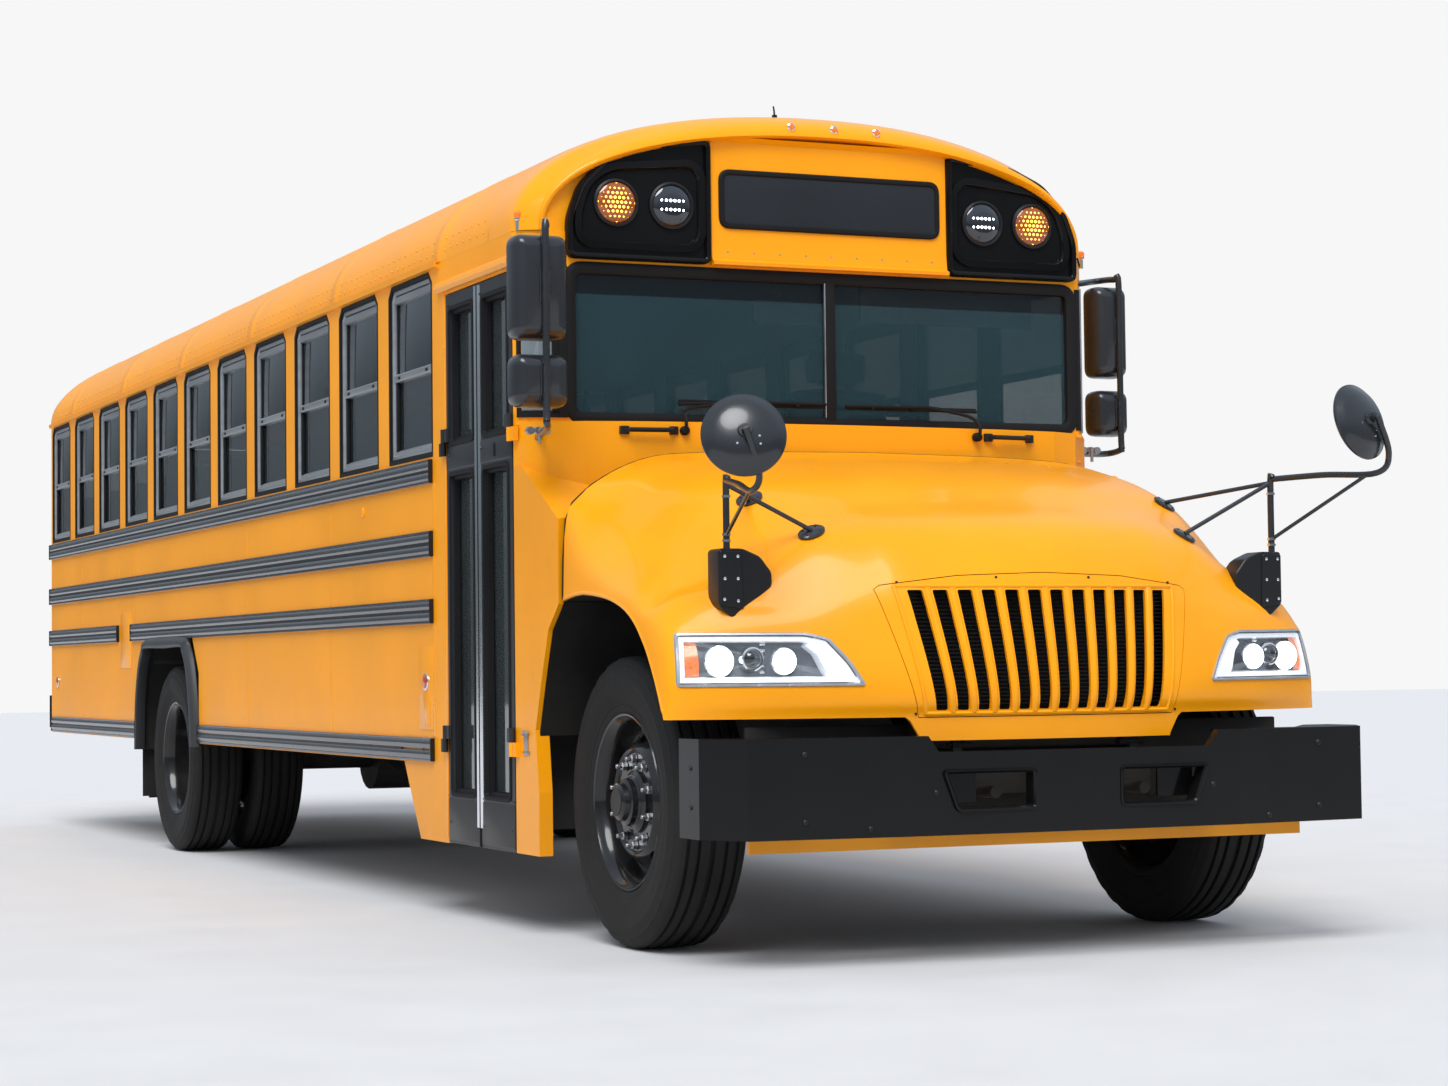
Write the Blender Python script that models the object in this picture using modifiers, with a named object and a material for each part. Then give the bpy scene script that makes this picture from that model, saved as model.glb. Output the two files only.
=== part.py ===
# School bus with a tilting hood, twin rear wheels, a two-leaf entry door and a rear emergency door.
# Metres, +Z up. The front of the bus faces -Y and the driver's side is +X.
# The model is laid out from the front axle (y = 0, on the ground) and hung on one empty,
# which moves it so that the origin lies on the ground under the middle of the whole bus.
import math

import bmesh
import bpy
from mathutils import Matrix, Vector

# Driving dimensions
body_half_width = 1.22
wheelbase = 6.20
tyre_radius = 0.485
tyre_width = 0.27
rim_radius = tyre_radius - 0.197  # less the height of the tyre's sidewall
front_wheel_x = 0.995
rear_outer_x = 1.065
dual_spacing = 0.32
kingpin_x = 0.84
gap = 0.0003  # what two touching pieces keep between them
running_gap = 0.006  # what a moving piece keeps to its neighbour

front_reach = 1.06  # front axle to the front of the front bumper
tail_reach = 9.60  # front axle to the back of the rear bumper
origin_to_front_axle = (tail_reach - front_reach) / 2

floor_top = 1.03
floor_thickness = 0.05
floor_bottom = floor_top - floor_thickness
wall = 0.05
eave_z = 2.49
roof_rise = 0.50
roof_thickness = 0.045
roof_power = 2.2  # how square the roof's arch is
skirt_z = 0.574
low_skirt_z = 0.277
body_back_y = 9.495
front_wall_y = 0.69
corner_width, corner_depth = 0.16, 0.075  # the oval of the body's corners in plan
driver_corner_depth = 0.25  # the front corner away from the entry door is cut back flat
shoulder_z = 1.65  # the cowl is narrower above this height

door_front_y, door_back_y = 0.765, 1.520
door_bottom_z, door_top_z = 0.280, 2.355
window_first_y, window_pitch, window_width, window_count = 1.70, 0.7125, 0.535, 11
sill_z, head_z = 1.765, 2.455
glass_thickness = 0.006

rail_bands = [  # name, low z, high z of the rub rails on each side
    ("window", 1.649, 1.741),
    ("seat", 1.366, 1.465),
    ("floor", 1.109, 1.203),
    ("skirt", 0.580, 0.669),
]
rail_proud = 0.014
rail_front_y = 1.69

frame_rail_in_x, frame_rail_out_x = 0.36, 0.43
frame_bottom_z = 0.72

hood_pivot_y, hood_pivot_z = -0.85, 0.675
hood_hinge_x, hood_hinge_length, hood_hinge_radius = 0.27, 0.035, 0.014

colours = {  # base colour, roughness, metallic
    "bus_yellow": ((0.95, 0.47, 0.03), 0.35, 0.0),
    "roof_white": ((0.85, 0.86, 0.87), 0.4, 0.0),
    "black_paint": ((0.015, 0.016, 0.018), 0.3, 0.0),
    "black_plastic": ((0.03, 0.03, 0.033), 0.5, 0.0),
    "chassis_black": ((0.02, 0.02, 0.02), 0.6, 0.2),
    "cast_iron": ((0.12, 0.12, 0.12), 0.6, 0.7),
    "tyre_rubber": ((0.03, 0.03, 0.03), 0.85, 0.0),
    "tinted_glass": ((0.10, 0.13, 0.14), 0.05, 0.0),
    "clear_lens": ((0.8, 0.85, 0.9), 0.1, 0.0),
    "seat_vinyl": ((0.05, 0.09, 0.13), 0.55, 0.0),
    "floor_rubber": ((0.06, 0.06, 0.065), 0.8, 0.0),
    "stop_red": ((0.6, 0.02, 0.02), 0.4, 0.0),
}

for existing in list(bpy.data.objects):
    bpy.data.objects.remove(existing, do_unlink=True)

bus = bpy.data.collections.new("school_bus")
bpy.context.scene.collection.children.link(bus)
origin = bpy.data.objects.new("bus_origin", None)
origin.location = (0, -origin_to_front_axle, 0)
bus.objects.link(origin)


def make_material(name):
    colour, roughness, metallic = colours[name]
    material = bpy.data.materials.new(name)
    material.use_nodes = True
    shader = material.node_tree.nodes["Principled BSDF"]
    shader.inputs["Base Color"].default_value = (*colour, 1)
    shader.inputs["Roughness"].default_value = roughness
    shader.inputs["Metallic"].default_value = metallic
    return material


materials = {name: make_material(name) for name in colours}


# Basic shapes. Each returns a loose mesh object in axle coordinates.
def from_bmesh(bm):
    mesh = bpy.data.meshes.new("shape")
    bmesh.ops.recalc_face_normals(bm, faces=bm.faces)
    bm.to_mesh(mesh)
    bm.free()
    shape = bpy.data.objects.new("shape", mesh)
    bpy.context.scene.collection.objects.link(shape)
    return shape


def box(x, y, z):
    """A box from its (low, high) pairs."""
    bm = bmesh.new()
    size = Matrix.Diagonal((x[1] - x[0], y[1] - y[0], z[1] - z[0], 1))
    middle = Matrix.Translation(((x[0] + x[1]) / 2, (y[0] + y[1]) / 2, (z[0] + z[1]) / 2))
    bmesh.ops.create_cube(bm, size=1, matrix=middle @ size)
    return from_bmesh(bm)


def rod(start, end, radius, end_radius=None, segments=16):
    """A round bar, or a cone, between two points."""
    start, end = Vector(start), Vector(end)
    turn = (end - start).to_track_quat("Z", "Y").to_matrix().to_4x4()
    bm = bmesh.new()
    bmesh.ops.create_cone(
        bm,
        cap_ends=True,
        segments=segments,
        radius1=radius,
        radius2=radius if end_radius is None else end_radius,
        depth=(end - start).length,
        matrix=Matrix.Translation((start + end) / 2) @ turn,
    )
    return from_bmesh(bm)


def as_mesh(curve_object):
    """The welded mesh of a curve object, which is removed."""
    graph = bpy.context.evaluated_depsgraph_get()
    mesh = bpy.data.meshes.new_from_object(curve_object.evaluated_get(graph))
    mesh.transform(curve_object.matrix_world)
    bpy.data.objects.remove(curve_object, do_unlink=True)
    bm = bmesh.new()
    bm.from_mesh(mesh)
    bmesh.ops.remove_doubles(bm, verts=bm.verts, dist=0.00005)
    bpy.data.meshes.remove(mesh)
    return from_bmesh(bm)


def plate(outline, axis, start, end):
    """A flat outline pushed from start to end along an axis.

    The outline's pairs are (y, z) along x, (x, z) along y and (x, y) along z."""
    curve = bpy.data.curves.new("outline", "CURVE")
    curve.dimensions = "2D"
    curve.fill_mode = "BOTH"
    curve.extrude = abs(end - start) / 2
    spline = curve.splines.new("POLY")
    spline.points.add(len(outline) - 1)
    for point, (u, v) in zip(spline.points, outline):
        point.co = (u, v, 0, 1)
    spline.use_cyclic_u = True
    shape = bpy.data.objects.new("outline", curve)
    bpy.context.scene.collection.objects.link(shape)
    middle = (start + end) / 2
    turn = {
        "x": Matrix(((0, 0, 1, middle), (1, 0, 0, 0), (0, 1, 0, 0), (0, 0, 0, 1))),
        "y": Matrix(((1, 0, 0, 0), (0, 0, -1, middle), (0, 1, 0, 0), (0, 0, 0, 1))),
        "z": Matrix.Translation((0, 0, middle)),
    }
    shape.matrix_world = turn[axis]
    bpy.context.view_layer.update()
    return as_mesh(shape)


def wire(points, radius, resolution=2):
    """A round tube along a line of points."""
    curve = bpy.data.curves.new("wire", "CURVE")
    curve.dimensions = "3D"
    curve.bevel_depth = radius
    curve.bevel_resolution = resolution
    curve.use_fill_caps = True
    spline = curve.splines.new("POLY")
    spline.points.add(len(points) - 1)
    for point, place in zip(spline.points, points):
        point.co = (*place, 1)
    shape = bpy.data.objects.new("wire", curve)
    bpy.context.scene.collection.objects.link(shape)
    bpy.context.view_layer.update()
    return as_mesh(shape)


def turned(profile, steps, centre):
    """A profile of (radius, along) pairs turned about the x axis through centre."""
    mesh = bpy.data.meshes.new("profile")
    points = [(radius, 0, along) for radius, along in profile]
    edges = [(i, (i + 1) % len(points)) for i in range(len(points))]
    mesh.from_pydata(points, edges, [])
    shape = bpy.data.objects.new("profile", mesh)
    bpy.context.scene.collection.objects.link(shape)
    screw = shape.modifiers.new("turn", "SCREW")
    screw.steps = screw.render_steps = steps
    screw.use_merge_vertices = True
    screw.merge_threshold = 0.0001
    shape.matrix_world = Matrix.Translation(centre) @ Matrix.Rotation(math.pi / 2, 4, "Y")
    bpy.context.view_layer.update()
    return as_mesh(shape)


def loft(sections, closed_ends=True):
    """Rings of the same number of points joined one to the next."""
    bm = bmesh.new()
    rings = [[bm.verts.new(p) for p in section] for section in sections]
    for ring, after in zip(rings, rings[1:]):
        for i in range(len(ring)):
            k = (i + 1) % len(ring)
            bm.faces.new((ring[i], ring[k], after[k], after[i]))
    if closed_ends:
        bm.faces.new(rings[0])
        bm.faces.new(rings[-1])
    return from_bmesh(bm)


def combine(shape, others, operation):
    """Joins the others to a shape, or cuts them from it, one by one."""
    for other in others:
        modifier = shape.modifiers.new("combine", "BOOLEAN")
        modifier.operation = operation
        modifier.solver = "EXACT"
        modifier.object = other
        bpy.context.view_layer.update()
        graph = bpy.context.evaluated_depsgraph_get()
        mesh = bpy.data.meshes.new_from_object(shape.evaluated_get(graph))
        shape.modifiers.clear()
        shape.data = mesh
        bpy.data.objects.remove(other, do_unlink=True)
    return shape


def cut(shape, *others):
    return combine(shape, others, "DIFFERENCE")


def join(shape, *others):
    return combine(shape, others, "UNION")


def moved(shape, matrix):
    shape.data.transform(matrix)
    return shape


def mirrored(shape):
    """A copy on the other side of the bus, with its faces still pointing out."""
    bm = bmesh.new()
    bm.from_mesh(shape.data)
    bmesh.ops.scale(bm, vec=(-1, 1, 1), verts=bm.verts)
    return from_bmesh(bm)


def piece(name, shape, material, pivot=None):
    """Names a finished shape, hangs it on the bus and, if it moves, puts its origin on its axis."""
    shape.name = name
    shape.data.name = name
    shape.data.materials.clear()
    shape.data.materials.append(materials[material])
    for face in shape.data.polygons:
        face.material_index = 0
    shape.data.shade_smooth()
    shape.data.set_sharp_from_angle(angle=math.radians(30))
    bpy.context.scene.collection.objects.unlink(shape)
    bus.objects.link(shape)
    if pivot:
        shape.data.transform(Matrix.Translation(-Vector(pivot)))
        shape.location = pivot
    shape.parent = origin
    return shape


def arc(centre, radius, start, end, count):
    """Points on an arc, in degrees, both ends counted. Radius is a number or a (u, v) pair."""
    ru, rv = radius if isinstance(radius, tuple) else (radius, radius)
    turns = [math.radians(start + (end - start) * i / (count - 1)) for i in range(count)]
    return [(centre[0] + ru * math.cos(t), centre[1] + rv * math.sin(t)) for t in turns]


sides = (("right", -1), ("left", 1))  # the door side is the bus's right, -X


def span(side, near, far):
    """The (low, high) pair of x values between two distances from the middle, on one side."""
    return tuple(sorted((side * near, side * far)))


# Chassis
frame_front_y = -front_reach + 0.08
frame_profile = [  # (y, z) of a frame rail, kicked up behind the front axle
    (frame_front_y + gap, 0.50),
    (frame_front_y + 0.23, 0.50),
    (-0.60, 0.58),
    (0.55, 0.58),
    (0.95, frame_bottom_z),
    (9.30, frame_bottom_z),
    (9.30, floor_bottom - gap),
    (0.80, floor_bottom - gap),
    (0.35, 0.80),
    (-0.60, 0.76),
    (frame_front_y + 0.22, 0.61),
    (frame_front_y + gap, 0.61),
]
crossmember_y = [1.30, 2.60, 4.10, 5.20, 7.20, 8.30, 9.20]
crossmember_length = 0.08
flap_y, flap_thickness = 6.90, 0.012


def make_frame():
    shape = plate(frame_profile, "x", frame_rail_in_x, frame_rail_out_x)
    other = mirrored(shape)
    inside = (-frame_rail_in_x - 0.01, frame_rail_in_x + 0.01)
    members = [box(inside, (y, y + crossmember_length), (0.80, 0.93)) for y in crossmember_y]
    members.append(box(inside, (-0.90, -0.80), (0.52, 0.60)))
    for side in (-1, 1):
        hanger = box(span(side, frame_rail_out_x - 0.01, 1.16), (flap_y, flap_y + 0.04), (0.90, 0.94))
        members.append(hanger)
        lug_x = span(side, hood_hinge_x + hood_hinge_length + gap, hood_hinge_x + 2 * hood_hinge_length)
        pivot = (hood_pivot_y, hood_pivot_z)
        web_x = (lug_x[0] + 0.002, lug_x[1] - 0.002)
        members.append(box(web_x, (pivot[0] - 0.011, pivot[0] + 0.011), (0.59, pivot[1])))
        members.append(rod((lug_x[0], *pivot), (lug_x[1], *pivot), hood_hinge_radius, segments=12))
        near = flap_y + 0.04 - flap_thickness
        members.append(box(span(side, 0.62, 1.16), (near, near + flap_thickness), (0.25, 0.94)))
    piece("frame_rails", join(shape, *members, other), "chassis_black")


spring_x = (frame_rail_in_x + 0.005, frame_rail_out_x - 0.005)


def leaf_spring(centre_y, half_length, seat_z, end_z, top_z):
    """A leaf pack that sags to seat_z at the axle and hangs from the rail by its two ends."""
    low = [
        (centre_y + half_length * t, seat_z + (end_z - seat_z) * t * t)
        for t in (-1, -0.6, -0.25, 0.25, 0.6, 1)
    ]
    high = [(y, z + 0.05) for y, z in reversed(low)]
    shapes = [plate(low + high, "x", *spring_x)]
    for sign in (-1, 1):
        y = centre_y + sign * (half_length - 0.03)
        shapes.append(box(spring_x, (y - 0.04, y + 0.04), (end_z + 0.01, top_z - gap)))
    return join(shapes[0], *shapes[1:])


axle_beam = [  # (x, z) of half the dropped front beam's centre line
    (0.52, 0.395),
    (0.68, 0.470),
    (kingpin_x, tyre_radius),
]
kingpin_radius, kingpin_half_height = 0.045, 0.045


def make_front_axle():
    half = 0.035
    line = [(-x, z) for x, z in reversed(axle_beam)] + axle_beam
    outline = [(x, z - half) for x, z in line] + [(x, z + half) for x, z in reversed(line)]
    shape = plate(outline, "y", -0.038, 0.038)
    spring = leaf_spring(0, 0.53, 0.412, 0.49, 0.58)
    eye_z = (tyre_radius - kingpin_half_height, tyre_radius + kingpin_half_height)
    eyes = [
        rod((x, 0, eye_z[0]), (x, 0, eye_z[1]), kingpin_radius, segments=15)
        for x in (-kingpin_x, kingpin_x)
    ]
    piece("front_axle", join(shape, spring, mirrored(spring), *eyes), "cast_iron")


axle_stub_radius = 0.060
rear_axle_reach = rear_outer_x - 0.02
diff_radius = 0.19


def make_rear_axle():
    y, z = wheelbase, tyre_radius
    shape = rod((-0.55, y, z), (0.55, y, z), 0.075)
    stub = rod((-rear_axle_reach, y, z), (rear_axle_reach, y, z), axle_stub_radius)
    diff = rod((-0.13, y, z), (0.13, y, z), diff_radius, segments=20)
    nose = rod((0, y - 0.30, z), (0, y, z), 0.06, 0.12)
    spring = leaf_spring(y, 0.66, z + 0.05, z + 0.12, frame_bottom_z)
    shape = join(shape, stub, diff, nose, spring, mirrored(spring))
    piece("rear_axle", shape, "cast_iron")


engine_half_width = 0.32
gearbox_back_y = 1.10
drive_line_z = 0.68


def make_drive_line():
    shape = box((-engine_half_width, engine_half_width), (-0.42, 0.42), (0.54, 1.20))
    gearbox = box((-0.20, 0.20), (0.40, gearbox_back_y), (0.53, 0.86))
    mounts = [
        box(span(side, 0.30, frame_rail_in_x - gap), (-0.08, 0.08), (0.62, 0.72))
        for side in (-1, 1)
    ]
    piece("engine", join(shape, gearbox, *mounts), "cast_iron")
    radius = 0.045
    start = Vector((0, gearbox_back_y, drive_line_z))
    end = Vector((0, wheelbase - 0.30, tyre_radius))
    lean = radius * (start.z - end.z) / (end.y - start.y) + gap
    along = (end - start).normalized()
    piece("propshaft", rod(start + along * lean, end - along * lean, radius), "chassis_black")


def make_tanks_and_exhaust():
    inside = (-frame_rail_in_x + gap, frame_rail_in_x - gap)
    tank = box((-0.32, 0.32), (7.40, 8.20), (0.46, 0.90))
    straps = [box(inside, (y, y + 0.05), (0.74, 0.78)) for y in (7.55, 8.00)]
    piece("fuel_tank", join(tank, *straps), "chassis_black")

    outside = frame_rail_out_x + gap
    air = rod((-0.60, 2.55, 0.62), (-0.60, 3.45, 0.62), 0.12, segments=20)
    straps = [box((-0.60, -outside), (y, y + 0.05), (0.73, 0.76)) for y in (2.7, 3.25)]
    piece("air_tank", join(air, *straps), "chassis_black")

    muffler = rod((0.60, 2.90, 0.62), (0.60, 4.10, 0.62), 0.13, segments=20)
    pipe = wire([(0.60, 2.2, 0.62), (0.60, 4.8, 0.62), (0.68, 4.98, 0.60), (1.12, 5.10, 0.56)], 0.045)
    straps = [box((outside, 0.60), (y, y + 0.05), (0.74, 0.77)) for y in (3.0, 3.9)]
    piece("exhaust", join(muffler, pipe, *straps), "cast_iron")


# Bumpers
bumper_low_z, bumper_high_z = 0.404, 0.710
bumper_front_plan = [  # (x, y) of half the outer face
    (0.15, -front_reach),
    (0.60, -front_reach + 0.010),
    (1.11, -front_reach + 0.060),
    (1.205, -front_reach + 0.215),
    (1.205, -front_reach + 0.370),
]
bumper_inner_plan = [
    (1.175, -front_reach + 0.370),
    (1.175, -front_reach + 0.225),
    (1.085, -front_reach + 0.095),
    (0.60, -front_reach + 0.042),
    (0.15, -front_reach + 0.035),
]
tow_holes = [  # (x, z) outlines of the two tow openings
    [(-0.475, 0.60), (-0.155, 0.60), (-0.155, 0.48), (-0.43, 0.48)],
    [(0.475, 0.60), (0.155, 0.60), (0.155, 0.48), (0.43, 0.48)],
]


rear_bumper_top = 0.80


def whole_plan(outer, inner):
    """A half plan, x from 0, made whole: the outer line and back along the inner one."""
    half = outer + inner
    return half + [(-x, y) for x, y in reversed(half) if x > 0]


def make_bumpers():
    outline = whole_plan(bumper_front_plan, bumper_inner_plan)
    shape = plate(outline, "z", bumper_low_z, bumper_high_z)
    back = [(1.10, 0.370), (0.90, 0.130), (0.56, 0.110), (0.56, 0.030)]
    flange_plan = bumper_front_plan[2:] + [(x, y - front_reach) for x, y in back]
    for side in (-1, 1):
        plan = [(side * x, y) for x, y in flange_plan]
        shape = join(shape, plate(plan, "z", bumper_high_z - 0.012, bumper_high_z))
        mount = box(span(side, 0.33, 0.46), (-front_reach + 0.03, frame_front_y), (0.50, 0.64))
        shape = join(shape, mount)
    dip = plate([(-0.555, 0.75), (-0.49, 0.66), (0.49, 0.66), (0.555, 0.75)], "y", -front_reach - 0.1, -front_reach + 0.16)
    holes = [plate(hole, "y", -front_reach - 0.1, -front_reach + 0.07) for hole in tow_holes]
    shape = cut(shape, dip, *holes)
    piece("front_bumper", shape, "black_paint")

    strip = box((-1.013, 1.013), (-0.785, -0.765), (0.350, 0.440))
    tabs = [box(span(side, 0.37, 0.42), (-0.785, -0.765), (0.43, 0.50 - gap)) for side in (-1, 1)]
    piece("front_valance", join(strip, *tabs), "bus_yellow")

    outer = [(1.00, tail_reach), (1.15, 9.575), (1.215, 9.52)]
    inner = [(1.195, 9.505), (1.14, 9.545), (1.00, 9.57)]
    shape = plate(whole_plan(outer, inner), "z", 0.60, rear_bumper_top)
    mounts = [box(span(side, 0.33, 0.46), (9.30 + gap, 9.575), (0.73, 0.79)) for side in (-1, 1)]
    piece("rear_bumper", join(shape, *mounts), "black_paint")


# Body shell
arch_front = [  # (y, z) up the back of the front wheel arch, on the cowl
    (0.56, 0.717),
    (0.50, 0.880),
    (0.423, 1.066),
    (0.342, 1.131),
    (0.306, 1.165),
]
rear_arch = [(5.52, 0.40), (5.52, 0.93), (5.66, 1.11), (6.73, 1.11), (6.87, 0.93), (6.87, 0.40)]


def window_outline(start, width, low, high, chamfer=0.035):
    return [
        (start, low),
        (start + width, low),
        (start + width, high - chamfer),
        (start + width - chamfer, high),
        (start + chamfer, high),
        (start, high - chamfer),
    ]


wall_front_y = front_wall_y + corner_depth
driver_wall_front_y = front_wall_y + driver_corner_depth
side_back_y = body_back_y - corner_depth
wall_top_z = eave_z - gap
entry_side_outline = [  # (y, z) of the wall on the door side
    (door_back_y, low_skirt_z),
    (1.87, low_skirt_z),
    (2.08, skirt_z),
    (side_back_y - gap, skirt_z),
    (side_back_y - gap, wall_top_z),
    (wall_front_y + gap, wall_top_z),
    (wall_front_y + gap, door_top_z),
    (door_back_y, door_top_z),
]
driver_side_outline = [
    (driver_wall_front_y + gap, skirt_z),
    (side_back_y - gap, skirt_z),
    (side_back_y - gap, wall_top_z),
    (driver_wall_front_y + gap, wall_top_z),
]
driver_window = (1.00, 0.58)  # start y and width
recess_depth = 0.020
hinge_radius = 0.010
hinge_x = body_half_width + 0.015
entry_hinge_z = (0.62, 1.74)
stop_arm_y, stop_arm_z = 1.90, 1.50
stop_arm_x = body_half_width + 0.036


def side_wall(side, outline, windows):
    inner, outer = body_half_width - wall, body_half_width
    shape = plate(outline, "x", *span(side, inner, outer))
    shape = cut(shape, plate(rear_arch, "x", *span(side, inner - 0.05, outer + 0.05)))
    for name, low, high in rail_bands:
        pieces = [(rail_front_y, side_back_y - 0.004)]
        if name == "floor":
            pieces = [(rail_front_y, 7.06), (7.41, side_back_y - 0.004)]
        if name == "skirt":
            pieces = [(rail_front_y + 0.39 * (side < 0), 5.50), (6.95, side_back_y - 0.06)]
        for start, end in pieces:
            bar = box(span(side, outer - 0.01, outer + rail_proud), (start, end), (low, high))
            shape = join(shape, bar)
    last = window_first_y + window_pitch * (window_count - 1) + window_width
    first = min(start for start, width in windows)
    recess = box(
        span(side, inner - 0.01, inner + recess_depth),
        (first - 0.015, last + 0.015),
        (sill_z - 0.02, head_z + 0.015),
    )
    shape = cut(shape, recess)
    for start, width in windows:
        hole = window_outline(start, width, sill_z, head_z)
        shape = cut(shape, plate(hole, "x", *span(side, inner - 0.05, outer + 0.05)))
    pane_x = inner + recess_depth - gap
    pane = box(
        span(side, pane_x - glass_thickness, pane_x),
        (first - 0.015 + gap, last + 0.015 - gap),
        (sill_z - 0.02 + gap, head_z + 0.015 - gap),
    )
    return shape, pane


def hinge(side, y, toward, z, length, leaf_face_x):
    """Two halves of a surface hinge on a side wall: one on the wall and one on the leaf.

    toward is the direction along y from the hinge line to the leaf."""
    x = side * hinge_x
    halves = []
    for part, low in (("wall", z), ("leaf", z + length + gap)):
        barrel = rod((x, y, low), (x, y, low + length), hinge_radius, segments=12)
        away = toward if part == "leaf" else -toward
        face = leaf_face_x if part == "leaf" else body_half_width
        strap_y = sorted((y + away * 0.002, y + away * 0.045))
        strap = box(span(side, face - 0.004, hinge_x + 0.002), strap_y, (low, low + length))
        halves.append(join(barrel, strap))
    return halves


def make_side_walls():
    row = [(window_first_y + window_pitch * i, window_width) for i in range(window_count)]
    shape, pane = side_wall(-1, entry_side_outline, row)
    for z in entry_hinge_z:
        wall_half, leaf_half = hinge(-1, door_back_y - running_gap / 2, -1, z, 0.05, door_face_x)
        rear_leaf_hinges.append(leaf_half)
        shape = join(shape, wall_half)
    piece("side_wall_right", shape, "bus_yellow")
    piece("side_glass_right", pane, "tinted_glass")
    shape, pane = side_wall(1, driver_side_outline, row + [driver_window])
    bracket = box(
        (body_half_width - 0.01, stop_arm_x + 0.02),
        (stop_arm_y - 0.11, stop_arm_y - 0.03),
        (stop_arm_z - 0.10, stop_arm_z + 0.10),
    )
    lugs = [
        box((stop_arm_x - 0.016, stop_arm_x + 0.016), (stop_arm_y - 0.04, stop_arm_y + 0.016), z)
        for z in ((stop_arm_z - 0.10, stop_arm_z - 0.06), (stop_arm_z + 0.06, stop_arm_z + 0.10))
    ]
    piece("side_wall_left", join(shape, bracket, *lugs), "bus_yellow")
    piece("side_glass_left", pane, "tinted_glass")


door_face_x = body_half_width + 0.002
door_thickness = 0.035
leaf_gap = 0.014  # between the two leaves
front_leaf_hinges = []
rear_leaf_hinges = []


def body_plan(front_y, grow):
    """The plan of a rounded end of the body facing -Y, as (x, y), from one side to the other."""
    centre = (body_half_width - corner_width, front_y + corner_depth)
    right = arc(centre, (corner_width + grow, corner_depth + grow), 0, -90, 6)
    return right + [(-x, y) for x, y in reversed(right)]


def front_plan(grow):
    """The plan of the body's front above the cowl, from the driver's side to the door's."""
    door_side = body_plan(front_wall_y, grow)[6:]
    driver_side = [
        (body_half_width + grow, driver_wall_front_y),
        (body_half_width - corner_width + grow, front_wall_y - grow),
    ]
    return driver_side + door_side


pillar_width = 0.19  # side of the body to the edge of the windscreen's opening
windscreen_half_width = body_half_width - pillar_width
windscreen_low_z, windscreen_high_z = 1.822, 2.363
cowl_top_z = 1.80
frame_depth = 0.05
cowl_columns = (0, 0.33, 0.57, 0.74, 0.86, 0.94, 1.0)  # shares of half the body's width
driver_shoulder = [(0.94, 0.80), (0.86, 0.69), (0.80, 0.58), (0.70, 0.525), (0.50, 0.49), (0, 0.47)]
door_shoulder = [(0, 0.47), (0.50, 0.49), (0.70, 0.52), (0.84, 0.56), (0.94, 0.62), (0.985, 0.68)]


def cowl_front_y(x):
    return 0.47 - 0.15 * (abs(x) / body_half_width) ** 2.2


def shoulder_plan(inward):
    """The plan of the cowl above its shoulders, moved in by an amount, driver's side first."""
    width = body_half_width
    driver = [(x * width - inward * (x > 0), y + inward) for x, y in driver_shoulder]
    door = [(-x * width + inward * (x > 0), y + inward) for x, y in door_shoulder[1:]]
    ends = ((width - inward, driver_wall_front_y), (-width + inward, wall_front_y))
    return [ends[0]] + driver + door + [ends[1]]


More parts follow.
